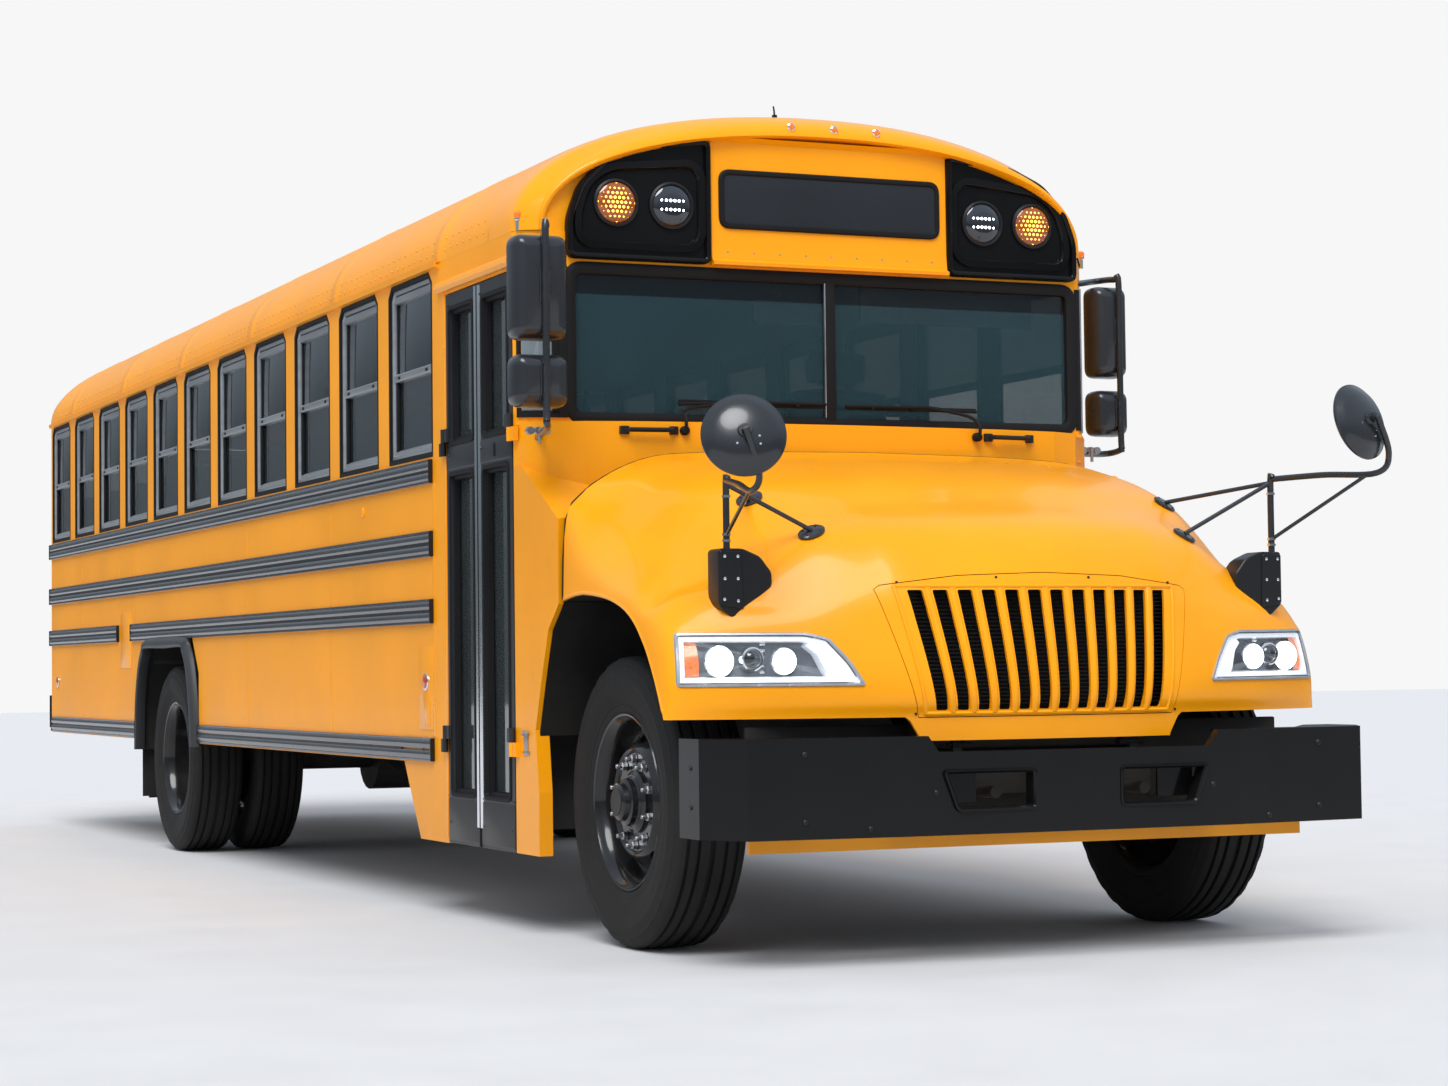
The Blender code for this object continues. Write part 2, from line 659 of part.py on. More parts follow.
def make_cowl():
    front = [(share * body_half_width, cowl_front_y(share * body_half_width)) for share in cowl_columns]
    step_x = 0.75 * body_half_width
    outline = front + [(body_half_width, driver_wall_front_y), (step_x, driver_wall_front_y)]
    outline += [(step_x, wall_front_y), (-body_half_width, wall_front_y)]
    outline += [(-x, y) for x, y in reversed(front[1:])]
    shape = plate(outline, "z", door_bottom_z, wall_top_z)

    clear = body_half_width + 0.2
    ahead = [(clear, driver_wall_front_y)] + shoulder_plan(0)
    ahead += [(-clear, wall_front_y), (-clear, 0.1), (clear, 0.1)]
    shoulders = plate(ahead, "z", 1.0, cowl_top_z + 0.002)
    below = [(0.05, 0.9), (0.05, 1.28), (0.30, 1.43), (front_wall_y, shoulder_z), (1.2, shoulder_z), (1.2, 0.9)]
    shoulders = cut(shoulders, plate(below, "x", -clear - 0.1, clear + 0.1))

    hollow_x = body_half_width - wall
    low = [(x, y + 0.04) for x, y in front[:-1]]
    low.append((hollow_x, low[-1][1]))
    low_hollow = low + [(hollow_x, driver_wall_front_y + 0.1), (-hollow_x, driver_wall_front_y + 0.1)]
    low_hollow += [(-x, y) for x, y in reversed(low[1:])]
    low_hollow = plate(low_hollow, "z", 0.1, 1.38)
    high = shoulder_plan(wall)
    high = [(hollow_x, driver_wall_front_y + 0.1)] + high + [(-hollow_x, driver_wall_front_y + 0.1)]
    high_hollow = plate(high, "z", 1.36, cowl_top_z - 0.03)

    plan = front_plan(0)
    ahead = [(clear, plan[0][1])] + plan + [(-clear, plan[-1][1]), (-clear, 0.1), (clear, 0.1)]
    above_hood = plate(ahead, "z", cowl_top_z, wall_top_z + 0.1)

    pillar_x = body_half_width - 0.08
    cab_front_y, cab_back_y = front_wall_y + frame_depth, driver_wall_front_y + 0.05
    cab_plan = [
        (-pillar_x, cab_front_y),
        (body_half_width - 0.182, cab_front_y),
        (pillar_x, driver_wall_front_y - 0.042),
        (pillar_x, cab_back_y),
        (-pillar_x, cab_back_y),
    ]
    cab = plate(cab_plan, "z", cowl_top_z + 0.001, wall_top_z + 0.05)
    opening = box(
        (-windscreen_half_width, windscreen_half_width),
        (front_wall_y - 0.05, front_wall_y + 0.2),
        (windscreen_low_z, windscreen_high_z),
    )
    arch = plate([(0, 0.1), (0.53, 0.1), (0.53, 0.50)] + arch_front + [(0, 1.165)], "x", -clear, clear)
    inside_x = hollow_x - 0.005
    below_hood = box((-inside_x, inside_x), (0.1, 0.56), (0.05, 1.164))
    driver_side_foot = box((body_half_width - 0.22, clear), (0.2, 1.1), (0.05, skirt_z))
    shape = cut(shape, low_hollow, high_hollow, shoulders, above_hood, cab, opening, arch)
    shape = cut(shape, below_hood, driver_side_foot)

    firewall_x = body_half_width - 0.01
    firewall = box((-firewall_x, firewall_x), (0.57, 0.60), (floor_bottom + 0.02, 1.42))
    upper_x = 0.74 * body_half_width
    upper = box((-upper_x, upper_x), (0.572, 0.598), (1.40, cowl_top_z - 0.02))
    shape = join(shape, firewall, upper)
    for z in entry_hinge_z:
        wall_half, leaf_half = hinge(-1, door_front_y + running_gap / 2, 1, z, 0.05, door_face_x)
        front_leaf_hinges.append(leaf_half)
        shape = join(shape, wall_half)
    piece("cowl", shape, "bus_yellow")
    pane = box(
        (-windscreen_half_width + gap, windscreen_half_width - gap),
        (front_wall_y + 0.012, front_wall_y + 0.020),
        (windscreen_low_z + gap, windscreen_high_z - gap),
    )
    piece("windscreen", pane, "tinted_glass")


# Roof
def corner_x(into, depth=corner_depth):
    """Half the body's width at a distance into it from the face of its rounded end."""
    left = 1 - min(into, depth) / depth
    if depth == driver_corner_depth:
        return body_half_width - corner_width * left
    return body_half_width - corner_width * (1 - math.sqrt(1 - left * left))


def roof_arch(y, half_widths, rise, base_z, count=15):
    """A section of the roof: the arch from side to side, closed by its straight base.

    half_widths are those on the driver's side and on the door's."""
    points = []
    for i in range(count):
        turn = math.pi * i / (count - 1)
        c, s = math.cos(turn), math.sin(turn)
        x = half_widths[c < 0] * math.copysign(abs(c) ** (2 / roof_power), c)
        points.append((x, y, base_z + rise * abs(s) ** (2 / roof_power)))
    return points


cap_length = 0.33
cap_stations = [  # distance from the cap's face, drop of the crown there
    (0.0, 0.065),
    (0.05, 0.035),
    (0.11, 0.015),
    (0.18, 0.005),
    (driver_corner_depth, 0.001),
    (cap_length, 0.0),
]
cap_hollow = [(0.045, 0.10, 0.06), (0.14, 0.01, 0.015), (driver_corner_depth, 0, 0), (cap_length + 0.05, 0, 0)]


def roof_cap(face_y, direction, depths):
    """The domed end of the roof, hollow and open to the roof behind it and below."""
    outer, inner = [], []
    for into, drop in cap_stations:
        half_widths = [corner_x(into, depth) for depth in depths]
        outer.append(roof_arch(face_y + direction * into, half_widths, roof_rise - drop, eave_z))
    inner_width = body_half_width - roof_thickness
    inner_rise = roof_rise - roof_thickness
    for into, narrower, drop in cap_hollow:
        y = face_y + direction * into
        half_widths = [min(inner_width - narrower, corner_x(into, depth) - wall) for depth in depths]
        inner.append(roof_arch(y, half_widths, inner_rise - drop + 0.02, eave_z - 0.02))
    return cut(loft(outer), loft(inner))


def make_roof():
    start = front_wall_y + cap_length + gap
    end = body_back_y - cap_length - gap
    half_widths = (body_half_width, body_half_width)
    outer = loft([roof_arch(y, half_widths, roof_rise, eave_z) for y in (start, end)])
    inner_widths = (body_half_width - roof_thickness, body_half_width - roof_thickness)
    inner_rise = roof_rise - roof_thickness + 0.02
    ends = (start - 0.05, end + 0.05)
    inner = loft([roof_arch(y, inner_widths, inner_rise, eave_z - 0.02) for y in ends])
    piece("roof", cut(outer, inner), "roof_white")
    depths = (driver_corner_depth, corner_depth)
    piece("front_cap", roof_cap(front_wall_y, 1, depths), "bus_yellow")
    piece("rear_cap", roof_cap(body_back_y, -1, (corner_depth, corner_depth)), "bus_yellow")


lamp_x = (0.639, 0.855)
lamp_z, lamp_radius = 2.600, 0.080
lamp_panel = [  # (x, z) of half the black panel behind the warning lamps
    (0.485, 2.392),
    (1.045, 2.392),
    (1.045, 2.54),
    (1.00, 2.66),
    (0.90, 2.76),
    (0.76, 2.82),
    (0.485, 2.85),
]


def warning_lamps(side, face_y, facing):
    """A black panel with two round lamps, on the outer face of a roof cap."""
    near = face_y + facing * gap
    ys = sorted((near, near + facing * 0.012))
    shape = plate([(side * x, z) for x, z in lamp_panel], "y", *ys)
    for x in lamp_x:
        start = (side * x, near + facing * 0.002, lamp_z)
        end = (side * x, near + facing * 0.040, lamp_z)
        shape = join(shape, rod(start, end, lamp_radius, segments=20))
    return shape


def make_lamps_and_sign():
    for ending, side in sides:
        piece("warning_lamps_" + ending, warning_lamps(side, front_wall_y, -1), "black_paint")
    ys = (front_wall_y - gap - 0.012, front_wall_y - gap)
    sign = box((-0.453, 0.453), ys, (2.527, 2.745))
    piece("sign_panel", sign, "black_plastic")


# Rear
door_opening_x, door_opening_z = 0.345, (1.04, 2.37)
rear_window_x, rear_window_z = (0.47, body_half_width - 0.20), (1.78, 2.36)


def make_rear():
    outer = [(x, -y) for x, y in body_plan(-body_back_y, 0)]
    shape = plate(outer, "z", rear_bumper_top + 0.01, wall_top_z)
    hollow_x = body_half_width - 0.08
    hollow = box((-hollow_x, hollow_x), (side_back_y - 0.05, body_back_y - wall), (0.5, wall_top_z + 0.05))
    x, z = door_opening_x, door_opening_z
    opening = box((-x, x), (body_back_y - 0.2, body_back_y + 0.1), z)
    shape = cut(shape, hollow, opening)
    pane_y = body_back_y - 0.020
    for ending, side in sides:
        window_x = span(side, *rear_window_x)
        hole = box(window_x, (body_back_y - 0.2, body_back_y + 0.1), rear_window_z)
        shape = cut(shape, hole)
        pane = box(
            (window_x[0] + gap, window_x[1] - gap),
            (pane_y - glass_thickness, pane_y),
            (rear_window_z[0] + gap, rear_window_z[1] - gap),
        )
        piece("rear_glass_" + ending, pane, "tinted_glass")

    hinge_y = body_back_y + 0.017
    hinge_line_x = -x - running_gap / 2 + 0.006
    leaf_x = (-x + running_gap, x - running_gap)
    leaf_y = (body_back_y - 0.036, body_back_y + 0.004)
    leaf = box(leaf_x, leaf_y, (z[0] + running_gap, z[1] - running_gap))
    for low, high in ((1.16, 1.66), (1.80, 2.28)):
        leaf = cut(leaf, box((-0.25, 0.25), (body_back_y - 0.1, body_back_y + 0.1), (low, high)))
    for low in (1.25, 2.00):
        for part, start in (("wall", low), ("leaf", low + 0.08 + gap)):
            barrel = rod(
                (hinge_line_x, hinge_y, start), (hinge_line_x, hinge_y, start + 0.08), hinge_radius
            )
            if part == "wall":
                strap = box((-x - 0.05, hinge_line_x), (body_back_y - 0.01, hinge_y), (start, start + 0.08))
                shape = join(shape, cut(strap, box((-x - 0.0005, 0), (9, body_back_y + 0.002), (1, 3))))
                shape = join(shape, barrel)
            else:
                strap = box((hinge_line_x, -x + 0.05), (leaf_y[1] - 0.004, hinge_y), (start, start + 0.08))
                leaf = join(leaf, strap, barrel)
    piece("rear_wall", shape, "bus_yellow")
    pivot = (hinge_line_x, hinge_y, z[0])
    piece("emergency_door", leaf, "bus_yellow", pivot)
    pane = box((-0.27, 0.27), (leaf_y[0] - gap - glass_thickness, leaf_y[0] - gap), (1.13, 2.31))
    piece("emergency_glass", pane, "tinted_glass", pivot)


# Entry door
def make_entry_door():
    middle = (door_front_y + door_back_y) / 2
    leaves = (
        ("front", door_front_y + running_gap, middle - leaf_gap / 2, front_leaf_hinges, door_front_y, 1),
        ("rear", middle + leaf_gap / 2, door_back_y - running_gap, rear_leaf_hinges, door_back_y, -1),
    )
    outer, inner = door_face_x, door_face_x - door_thickness
    low, high = door_bottom_z, door_top_z - running_gap
    for name, start, end, hinges, jamb_y, toward in leaves:
        leaf = box(span(-1, inner, outer), (start, end), (low, high))
        for hole_z in ((low + 0.19, 1.66), (1.79, high - 0.06)):
            hole = box((-outer - 0.05, -inner + 0.05), (start + 0.055, end - 0.050), hole_z)
            leaf = cut(leaf, hole)
        leaf = join(leaf, *hinges)
        pivot = (-hinge_x, jamb_y + toward * running_gap / 2, low)
        piece("entry_door_" + name, leaf, "black_plastic", pivot)
        face = inner - gap
        pane = box(
            span(-1, face - glass_thickness, face),
            (start + 0.035, end - 0.03),
            (low + 0.15, high - 0.04),
        )
        piece("entry_glass_" + name, pane, "tinted_glass", pivot)


def make_stop_arm():
    middle_y, radius, thickness = stop_arm_y + 0.30, 0.235, 0.012
    points = arc((middle_y, stop_arm_z), radius, 22.5, 337.5, 8)
    sign = plate(points, "x", stop_arm_x - thickness / 2, stop_arm_x + thickness / 2)
    knuckle_z = (stop_arm_z - 0.06 + gap, stop_arm_z + 0.06 - gap)
    knuckle = rod(
        (stop_arm_x, stop_arm_y, knuckle_z[0]), (stop_arm_x, stop_arm_y, knuckle_z[1]), 0.014, segments=12
    )
    strap = box((stop_arm_x - 0.009, stop_arm_x + 0.009), (stop_arm_y, middle_y - 0.15), knuckle_z)
    piece("stop_arm", join(sign, strap, knuckle), "stop_red", (stop_arm_x, stop_arm_y, stop_arm_z))


# Inside
well_x = 0.60
wheel_box_y, wheel_box_x, wheel_box_top = (5.62, 6.78), 0.56, 1.11
inner_x = body_half_width - wall - gap
floor_front_y = 0.60 + gap


def make_floor():
    back = body_back_y - wall - gap
    shape = box((-inner_x, inner_x), (floor_front_y, back), (floor_bottom, floor_top))
    well = box((-inner_x - 0.01, -well_x), (door_front_y - 0.03, door_back_y + 0.03), (0.5, 1.5))
    shape = cut(shape, well)
    for side in (-1, 1):
        cover = box(span(side, wheel_box_x, inner_x), wheel_box_y, (floor_bottom, wheel_box_top + 0.03))
        under = box(
            span(side, wheel_box_x + 0.03, inner_x + 0.02),
            (wheel_box_y[0] + 0.03, wheel_box_y[1] - 0.03),
            (floor_bottom - 0.1, wheel_box_top),
        )
        shape = cut(join(shape, cover), under)
    for side in (-1, 1):
        trim = box(span(side, 1.055, inner_x + 0.01), (side_back_y - 0.01, back + 0.01), (0.9, 1.1))
        shape = cut(shape, trim)
    piece("floor", shape, "floor_rubber")

    y = (door_front_y - 0.03 + gap, door_back_y + 0.03 - gap)
    treads = [(1.165, 0.88, 0.36), (0.90, well_x, 0.68)]  # outer x, inner x, underside z
    shapes = []
    for out_x, in_x, z in treads:
        x = (-min(out_x, inner_x), -in_x - gap)
        shapes.append(box(x, y, (z, z + 0.04)))
    shapes.append(box((-0.90, -0.87), y, (0.36, 0.72)))
    shapes.append(box((-well_x - 0.03, -well_x - gap), y, (0.68, floor_top)))
    for low, high in ((y[0], y[0] + 0.02), (y[1] - 0.02, y[1])):
        shapes.append(box((-inner_x, -well_x - gap), (low, high), (0.36, floor_top)))
    well = join(shapes[0], *shapes[1:])
    under = box((-0.869, 0), (0, 3), (0.2, 0.6799))
    piece("step_well", cut(well, under), "floor_rubber")


bench_depth, bench_x = 0.42, (0.30, body_half_width - 0.07)
bench_seat_z, bench_back_z = floor_top + 0.43, floor_top + 1.00
bench_first_y, bench_rows = 2.20, 10


def make_seats():
    for ending, side in sides:
        shapes = []
        last = bench_first_y + window_pitch * (bench_rows - 1)
        rail = box(span(side, 0.40, 0.44), (bench_first_y, last + bench_depth), (floor_top + gap, 1.06))
        for i in range(bench_rows):
            y = bench_first_y + window_pitch * i
            x = span(side, *bench_x)
            shapes.append(box(x, (y, y + bench_depth), (bench_seat_z - 0.13, bench_seat_z)))
            shapes.append(box(x, (y + bench_depth - 0.09, y + bench_depth), (bench_seat_z - 0.1, bench_back_z)))
            leg_x = span(side, 0.40, 0.44)
            leg_z = (1.04, bench_seat_z - 0.10)
            shapes.append(box(leg_x, (y + 0.04, y + 0.34), leg_z))
        over_wheel = join(rail, *shapes)
        over_wheel = cut(
            over_wheel,
            box(
                span(side, wheel_box_x - 0.006, 1.3),
                (wheel_box_y[0] - 0.006, wheel_box_y[1] + 0.006),
                (0.9, wheel_box_top + 0.036),
            ),
        )
        piece("seats_" + ending, over_wheel, "seat_vinyl")

    seat = box((0.36, 0.84), (1.42, 1.90), (1.50, 1.62))
    back = box((0.36, 0.84), (1.82, 1.94), (1.56, 2.24))
    base = box((0.48, 0.72), (1.50, 1.80), (floor_top + gap, 1.52))
    piece("driver_seat", join(seat, back, base), "seat_vinyl")


wheel_x, wheel_y, wheel_z = 0.60, 1.20, 1.74
column_lean = math.radians(30)
column_way = Vector((0, math.sin(column_lean), math.cos(column_lean)))


def make_driver_controls():
    dash = box((0.12, 0.82 * body_half_width), (0.765, 1.02), (1.42, 1.70))
    pedestal = box((0.20, 1.00), (floor_front_y + 0.17, 0.86), (floor_top + gap, 1.45))
    middle = Vector((wheel_x, wheel_y, wheel_z))
    column = rod(middle - column_way * 0.30, middle - column_way * 0.040, 0.035)
    piece("dashboard", join(dash, pedestal, column), "black_plastic")

    tilt = Matrix.Translation(middle) @ column_way.to_track_quat("Z", "Y").to_matrix().to_4x4()
    ring = turned(arc((0.225, 0), 0.014, 0, 315, 8), 28, (0, 0, 0))
    moved(ring, Matrix.Rotation(math.pi / 2, 4, "Y"))
    spokes = [
        rod((0, 0, 0), (0.22 * math.cos(t), 0.22 * math.sin(t), 0), 0.010, segments=8)
        for t in (math.radians(90), math.radians(210), math.radians(330))
    ]
    hub = rod((0, 0, -0.040 + gap), (0, 0, 0.02), 0.04)
    shape = moved(join(ring, hub, *spokes), tilt)
    piece("steering_wheel", shape, "black_plastic", middle)


# Hood
hood_x = (0, 0.25, 0.46, 0.56, 0.70, 0.82, 0.93, 1.04, 1.13, 1.195)
hood_rows = [  # y at the middle, sweep back at the side, z at each of hood_x, (y, z) of the arch edge
    (-0.905, 0.30, (0.69, 0.69, 0.69, 0.765, 0.765, 0.765, 0.765, 0.765, 0.765, 0.765), (-0.585, 0.765)),
    (-0.920, 0.32, (0.90, 0.90, 0.90, 0.90, 0.90, 0.90, 0.90, 0.90, 0.90, 0.89), (-0.520, 0.885)),
    (-0.890, 0.33, (1.06, 1.06, 1.05, 1.05, 1.05, 1.05, 1.05, 1.045, 1.03, 1.00), (-0.460, 0.970)),
    (-0.845, 0.33, (1.225, 1.22, 1.20, 1.18, 1.16, 1.14, 1.135, 1.125, 1.10, 1.05), (-0.405, 1.028)),
    (-0.720, 0.26, (1.375, 1.37, 1.36, 1.345, 1.32, 1.265, 1.215, 1.175, 1.15, 1.09), (-0.345, 1.078)),
    (-0.500, 0.10, (1.47, 1.465, 1.455, 1.445, 1.415, 1.355, 1.265, 1.195, 1.155, 1.112), (-0.270, 1.118)),
    (-0.300, 0.02, (1.555, 1.55, 1.54, 1.53, 1.515, 1.485, 1.395, 1.275, 1.215, 1.165), (-0.180, 1.146)),
    (-0.080, 0.0, (1.62, 1.615, 1.605, 1.60, 1.585, 1.565, 1.505, 1.37, 1.285, 1.215), (-0.060, 1.168)),
    (0.120, 0.0, (1.66, 1.657, 1.652, 1.648, 1.638, 1.615, 1.565, 1.465, 1.375, 1.29), (0.120, 1.183)),
    (0.300, -0.05, (1.685, 1.682, 1.678, 1.674, 1.665, 1.65, 1.618, 1.55, 1.475, 1.385), (0.240, 1.175)),
    (0.457, -0.15, (1.70, 1.697, 1.693, 1.69, 1.682, 1.67, 1.64, 1.59, 1.53, 1.44), (0.298, 1.168)),
]
hood_side_x = 1.212
hood_thickness = 0.010
grille_outline = [  # (x, z) around the grille panel
    (0.465, 0.762),
    (0.575, 1.168),
    (0.555, 1.182),
    (0.30, 1.212),
    (0.0, 1.222),
]
slot_count, slot_pitch_top, slot_pitch_foot = 12, 0.0815, 0.0705
slot_width_top, slot_width_foot = 0.050, 0.043
slot_z = (0.785, 1.165)
headlight_outline = [  # (x, z)
    (1.165, 0.868),
    (1.150, 1.038),
    (0.80, 1.032),
    (0.735, 1.015),
    (0.675, 0.940),
    (0.634, 0.866),
]


def hood_surface(thickness):
    """The hood's outer surface, given a thickness towards the inside."""
    rows = []
    for middle_y, sweep, heights, edge in hood_rows:
        half = [(x, middle_y + sweep * (x / 1.2) ** 2.2, z) for x, z in zip(hood_x, heights)]
        half.append((hood_side_x, *edge))
        rows.append([(-x, y, z) for x, y, z in reversed(half[1:])] + half)
    bm = bmesh.new()
    grid = [[bm.verts.new(p) for p in row] for row in rows]
    for row, after in zip(grid, grid[1:]):
        for i in range(len(row) - 1):
            bm.faces.new((row[i], row[i + 1], after[i + 1], after[i]))
    bmesh.ops.triangulate(bm, faces=bm.faces)
    mesh = bpy.data.meshes.new("hood_surface")
    bm.to_mesh(mesh)
    bm.free()
    shape = bpy.data.objects.new("hood_surface", mesh)
    bpy.context.scene.collection.objects.link(shape)
    shell = shape.modifiers.new("shell", "SOLIDIFY")
    shell.thickness = thickness
    shell.offset = -1
    bpy.context.view_layer.update()
    return as_mesh(shape)


def both_halves(outline):
    return outline + [(-x, z) for x, z in reversed(outline) if x > 0]


def shrunk(outline, amount):
    """An outline moved in by amount all round, about its middle."""
    centre_x = sum(x for x, z in outline) / len(outline)
    centre_z = sum(z for x, z in outline) / len(outline)
    result = []
    for x, z in outline:
        away = math.hypot(x - centre_x, z - centre_z)
        keep = 1 - amount / away
        result.append((centre_x + (x - centre_x) * keep, centre_z + (z - centre_z) * keep))
    return result


seam = 0.0006  # shut line between the hood and what is let into it


def make_hood():
    pivot = (0, hood_pivot_y, hood_pivot_z)
    whole_grille = both_halves(grille_outline)
    hood = hood_surface(hood_thickness)
    hood = cut(hood, plate(whole_grille, "y", -1.2, -0.70))
    for side in (-1, 1):
        outline = [(side * x, z) for x, z in headlight_outline]
        hood = cut(hood, plate(outline, "y", -1.2, -0.40))
        eye_x = span(side, hood_hinge_x, hood_hinge_x + hood_hinge_length)
        eye = rod((eye_x[0], *pivot[1:]), (eye_x[1], *pivot[1:]), hood_hinge_radius, segments=12)
        arm = box(eye_x, (-0.899, hood_pivot_y), (hood_pivot_z + 0.008, 0.735))
        hood = join(hood, arm, eye)
    piece("hood", hood, "bus_yellow", pivot)

    grille = combine(
        hood_surface(hood_thickness), [plate(shrunk(whole_grille, seam), "y", -1.2, -0.70)], "INTERSECT"
    )
    for i in range(slot_count):
        place = i - (slot_count - 1) / 2
        top, foot = place * slot_pitch_top, place * slot_pitch_foot
        slot = [
            (foot - slot_width_foot / 2, slot_z[0]),
            (foot + slot_width_foot / 2, slot_z[0]),
            (top + slot_width_top / 2, slot_z[1]),
            (top - slot_width_top / 2, slot_z[1]),
        ]
        grille = cut(grille, plate(slot, "y", -1.2, -0.70))
    piece("grille", grille, "bus_yellow", pivot)

    for ending, side in sides:
        outline = [(side * x, z) for x, z in shrunk(headlight_outline, seam)]
        lamp = combine(hood_surface(0.07), [plate(outline, "y", -1.2, -0.40)], "INTERSECT")
        piece("headlight_" + ending, lamp, "clear_lens", pivot)


# Mirrors
def make_mirrors():
    pivot = (0, hood_pivot_y, hood_pivot_z)
    for ending, side in sides:
        place = hood_mirror_place[ending]
        post_x = side * place["post_x"]
        knee = (post_x, hood_post_y, place["knee_z"])
        elbow, bend, middle = [(side * x, y, z) for x, y, z in (place["elbow"], place["bend"], place["middle"])]
        facing = Vector((side * 0.31, -0.915, 0.25)).normalized()
        hub = Vector(middle) + facing * 0.03
        bracket = [(side * x, z) for x, z in hood_bracket_outline]
        parts = [
            wire([(post_x, hood_post_y, 1.25), knee], 0.011, 1),
            wire([knee, elbow, bend, tuple(hub)], 0.011, 1),
            wire([(post_x, hood_post_y, 1.34), elbow], 0.008, 1),
            wire([(side * 0.795, -0.329, mirror_foot_z[0]), knee], 0.009, 1),
            wire([(side * 0.70, -0.60, mirror_foot_z[1]), knee], 0.009, 1),
            dish(middle, 0.131, 0.050, facing),
        ]
        mirror = join(plate(bracket, "y", *hood_bracket_y), *parts)
        lifted = moved(hood_surface(0.12), Matrix.Translation((0, -gap, mirror_lift)))
        mirror = cut(mirror, lifted)
        piece("hood_mirror_" + ending, mirror, "black_plastic", pivot)

        high_foot, low_foot = [(side * fx, fy, fz) for fx, fy, fz in side_mirror_feet[ending]]
        x, y, inner = side_mirror_place[ending]
        x = side * x
        arms = [
            wire([(x, y, 1.76), (x, y + 0.05, 1.745), low_foot], 0.012, 1),
            wire([(x, y, 2.44), (x - side * 0.03, y + 0.05, 2.44), high_foot], 0.012, 1),
        ]
        head_x = span(side, inner, mirror_reach)
        heads = [
            box(head_x, (y - 0.06, y + 0.05), (2.05, 2.41)),
            box(head_x, (y - 0.06, y + 0.04), (1.82, 2.00)),
        ]
        post = wire([(x, y, 1.76), (x, y, 2.44)], 0.012, 1)
        mirror = join(post, *arms, *heads)
        mirror = cut(mirror, *body_blocks())
        piece("side_mirror_" + ending, mirror, "black_plastic")


mirror_reach = body_half_width + 0.165
side_mirror_place = {  # post x and y, and the head's inner edge
    "right": (mirror_reach - 0.105, 0.32, mirror_reach - 0.20),
    "left": (mirror_reach - 0.055, 0.89, mirror_reach - 0.155),
}
side_mirror_feet = {
    "right": ((body_half_width - 0.10, 0.735, 2.42), (body_half_width - 0.07, 0.72, 1.745)),
    "left": ((body_half_width - 0.13, 0.80, 2.40), (body_half_width - 0.16, 0.76, 1.740)),
}
mirror_foot_z = (1.47, 1.33)
hood_post_y = -0.62
hood_bracket_y = (-0.655, -0.575)
hood_bracket_outline = [  # (x, z): a housing that rises from the fender to the post
    (1.048, 1.120),
    (1.048, 1.300),
    (0.965, 1.300),
    (0.905, 1.275),
    (0.865, 1.225),
    (0.865, 1.180),
    (0.950, 1.110),
    (1.000, 1.080),
]
hood_mirror_place = {  # distances from the middle, y and z of each mirror's arm and head
    "right": {
        "post_x": 1.005,
        "knee_z": 1.515,
        "elbow": (1.065, -0.950, 1.462),
        "bend": (1.066, -1.010, 1.510),
        "middle": (1.104, -0.985, 1.631),
    },
    "left": {
        "post_x": 1.035,
        "knee_z": 1.550,
        "elbow": (1.225, -0.965, 1.553),
        "bend": (1.249, -1.000, 1.618),
        "middle": (1.152, -0.985, 1.723),
    },
}
mirror_lift = 0.0009  # between the hood's skin and the mirror's feet


def dish(middle, radius, depth, facing):
    """A round mirror head: a flattened dome whose back faces one way."""
    bm = bmesh.new()
    bmesh.ops.create_uvsphere(bm, u_segments=16, v_segments=10, radius=1)
    scale = Matrix.Diagonal((radius, depth, radius, 1))
    turn = Vector((0, -1, 0)).rotation_difference(facing).to_matrix().to_4x4()
    bmesh.ops.transform(bm, matrix=Matrix.Translation(middle) @ turn @ scale, verts=bm.verts)
    return from_bmesh(bm)


def body_blocks():
    """What the side mirrors' arms end against: the body's front above the hood, a hair larger."""
    blocks = []
    for plan, low, high in ((shoulder_plan(-gap), 1.66, cowl_top_z + 0.01), (front_plan(gap), cowl_top_z, 2.6)):
        blocks.append(plate([(plan[0][0], 1.5)] + plan + [(plan[-1][0], 1.5)], "z", low, high))
    return blocks


# Wheels
bead_radius, wheel_steps = rim_radius, 24
spindle_radius, hub_bore = 0.045, 0.0459
tyre_section = [  # (radius, along) of half the tyre's section, outer side first
    (tyre_radius, 0.100),
    (tyre_radius - 0.012, 0.118),
    (bead_radius + 0.67 * (tyre_radius - bead_radius), tyre_width / 2),
    (bead_radius + 0.32 * (tyre_radius - bead_radius), 0.132),
    (bead_radius, 0.105),
]
front_rim_section = [  # (radius, along), along pointing away from the bus
    (bead_radius - gap, -0.115),
    (bead_radius - gap, 0.115),
    (bead_radius - 0.016, 0.115),
    (bead_radius - 0.020, 0.045),
    (bead_radius - 0.108, 0.075),
    (0.120, 0.085),
    (0.105, 0.150),
    (hub_bore, 0.158),
    (hub_bore, -0.020),
    (0.110, -0.020),
    (0.160, 0.040),
    (bead_radius - 0.026, 0.010),
    (bead_radius - 0.016, -0.115),
]
rear_rim_section = [  # along measured from the middle of the two tyres
    (bead_radius - gap, -0.270),
    (bead_radius - gap, 0.270),
    (bead_radius - 0.016, 0.270),
    (bead_radius - 0.020, 0.030),
    (0.150, 0.025),
    (0.125, 0.160),
    (axle_stub_radius + 0.0010, 0.165),
    (axle_stub_radius + 0.0010, -0.100),
    (0.120, -0.100),
    (0.150, -0.025),
    (bead_radius - 0.020, -0.030),
    (bead_radius - 0.016, -0.270),
]


def tyre(centre):
    half = tyre_section
    return turned(half + [(r, -along) for r, along in reversed(half)], wheel_steps, centre)


def wheel_body(section, side, centre):
    return turned([(r, side * along) for r, along in section], wheel_steps, centre)


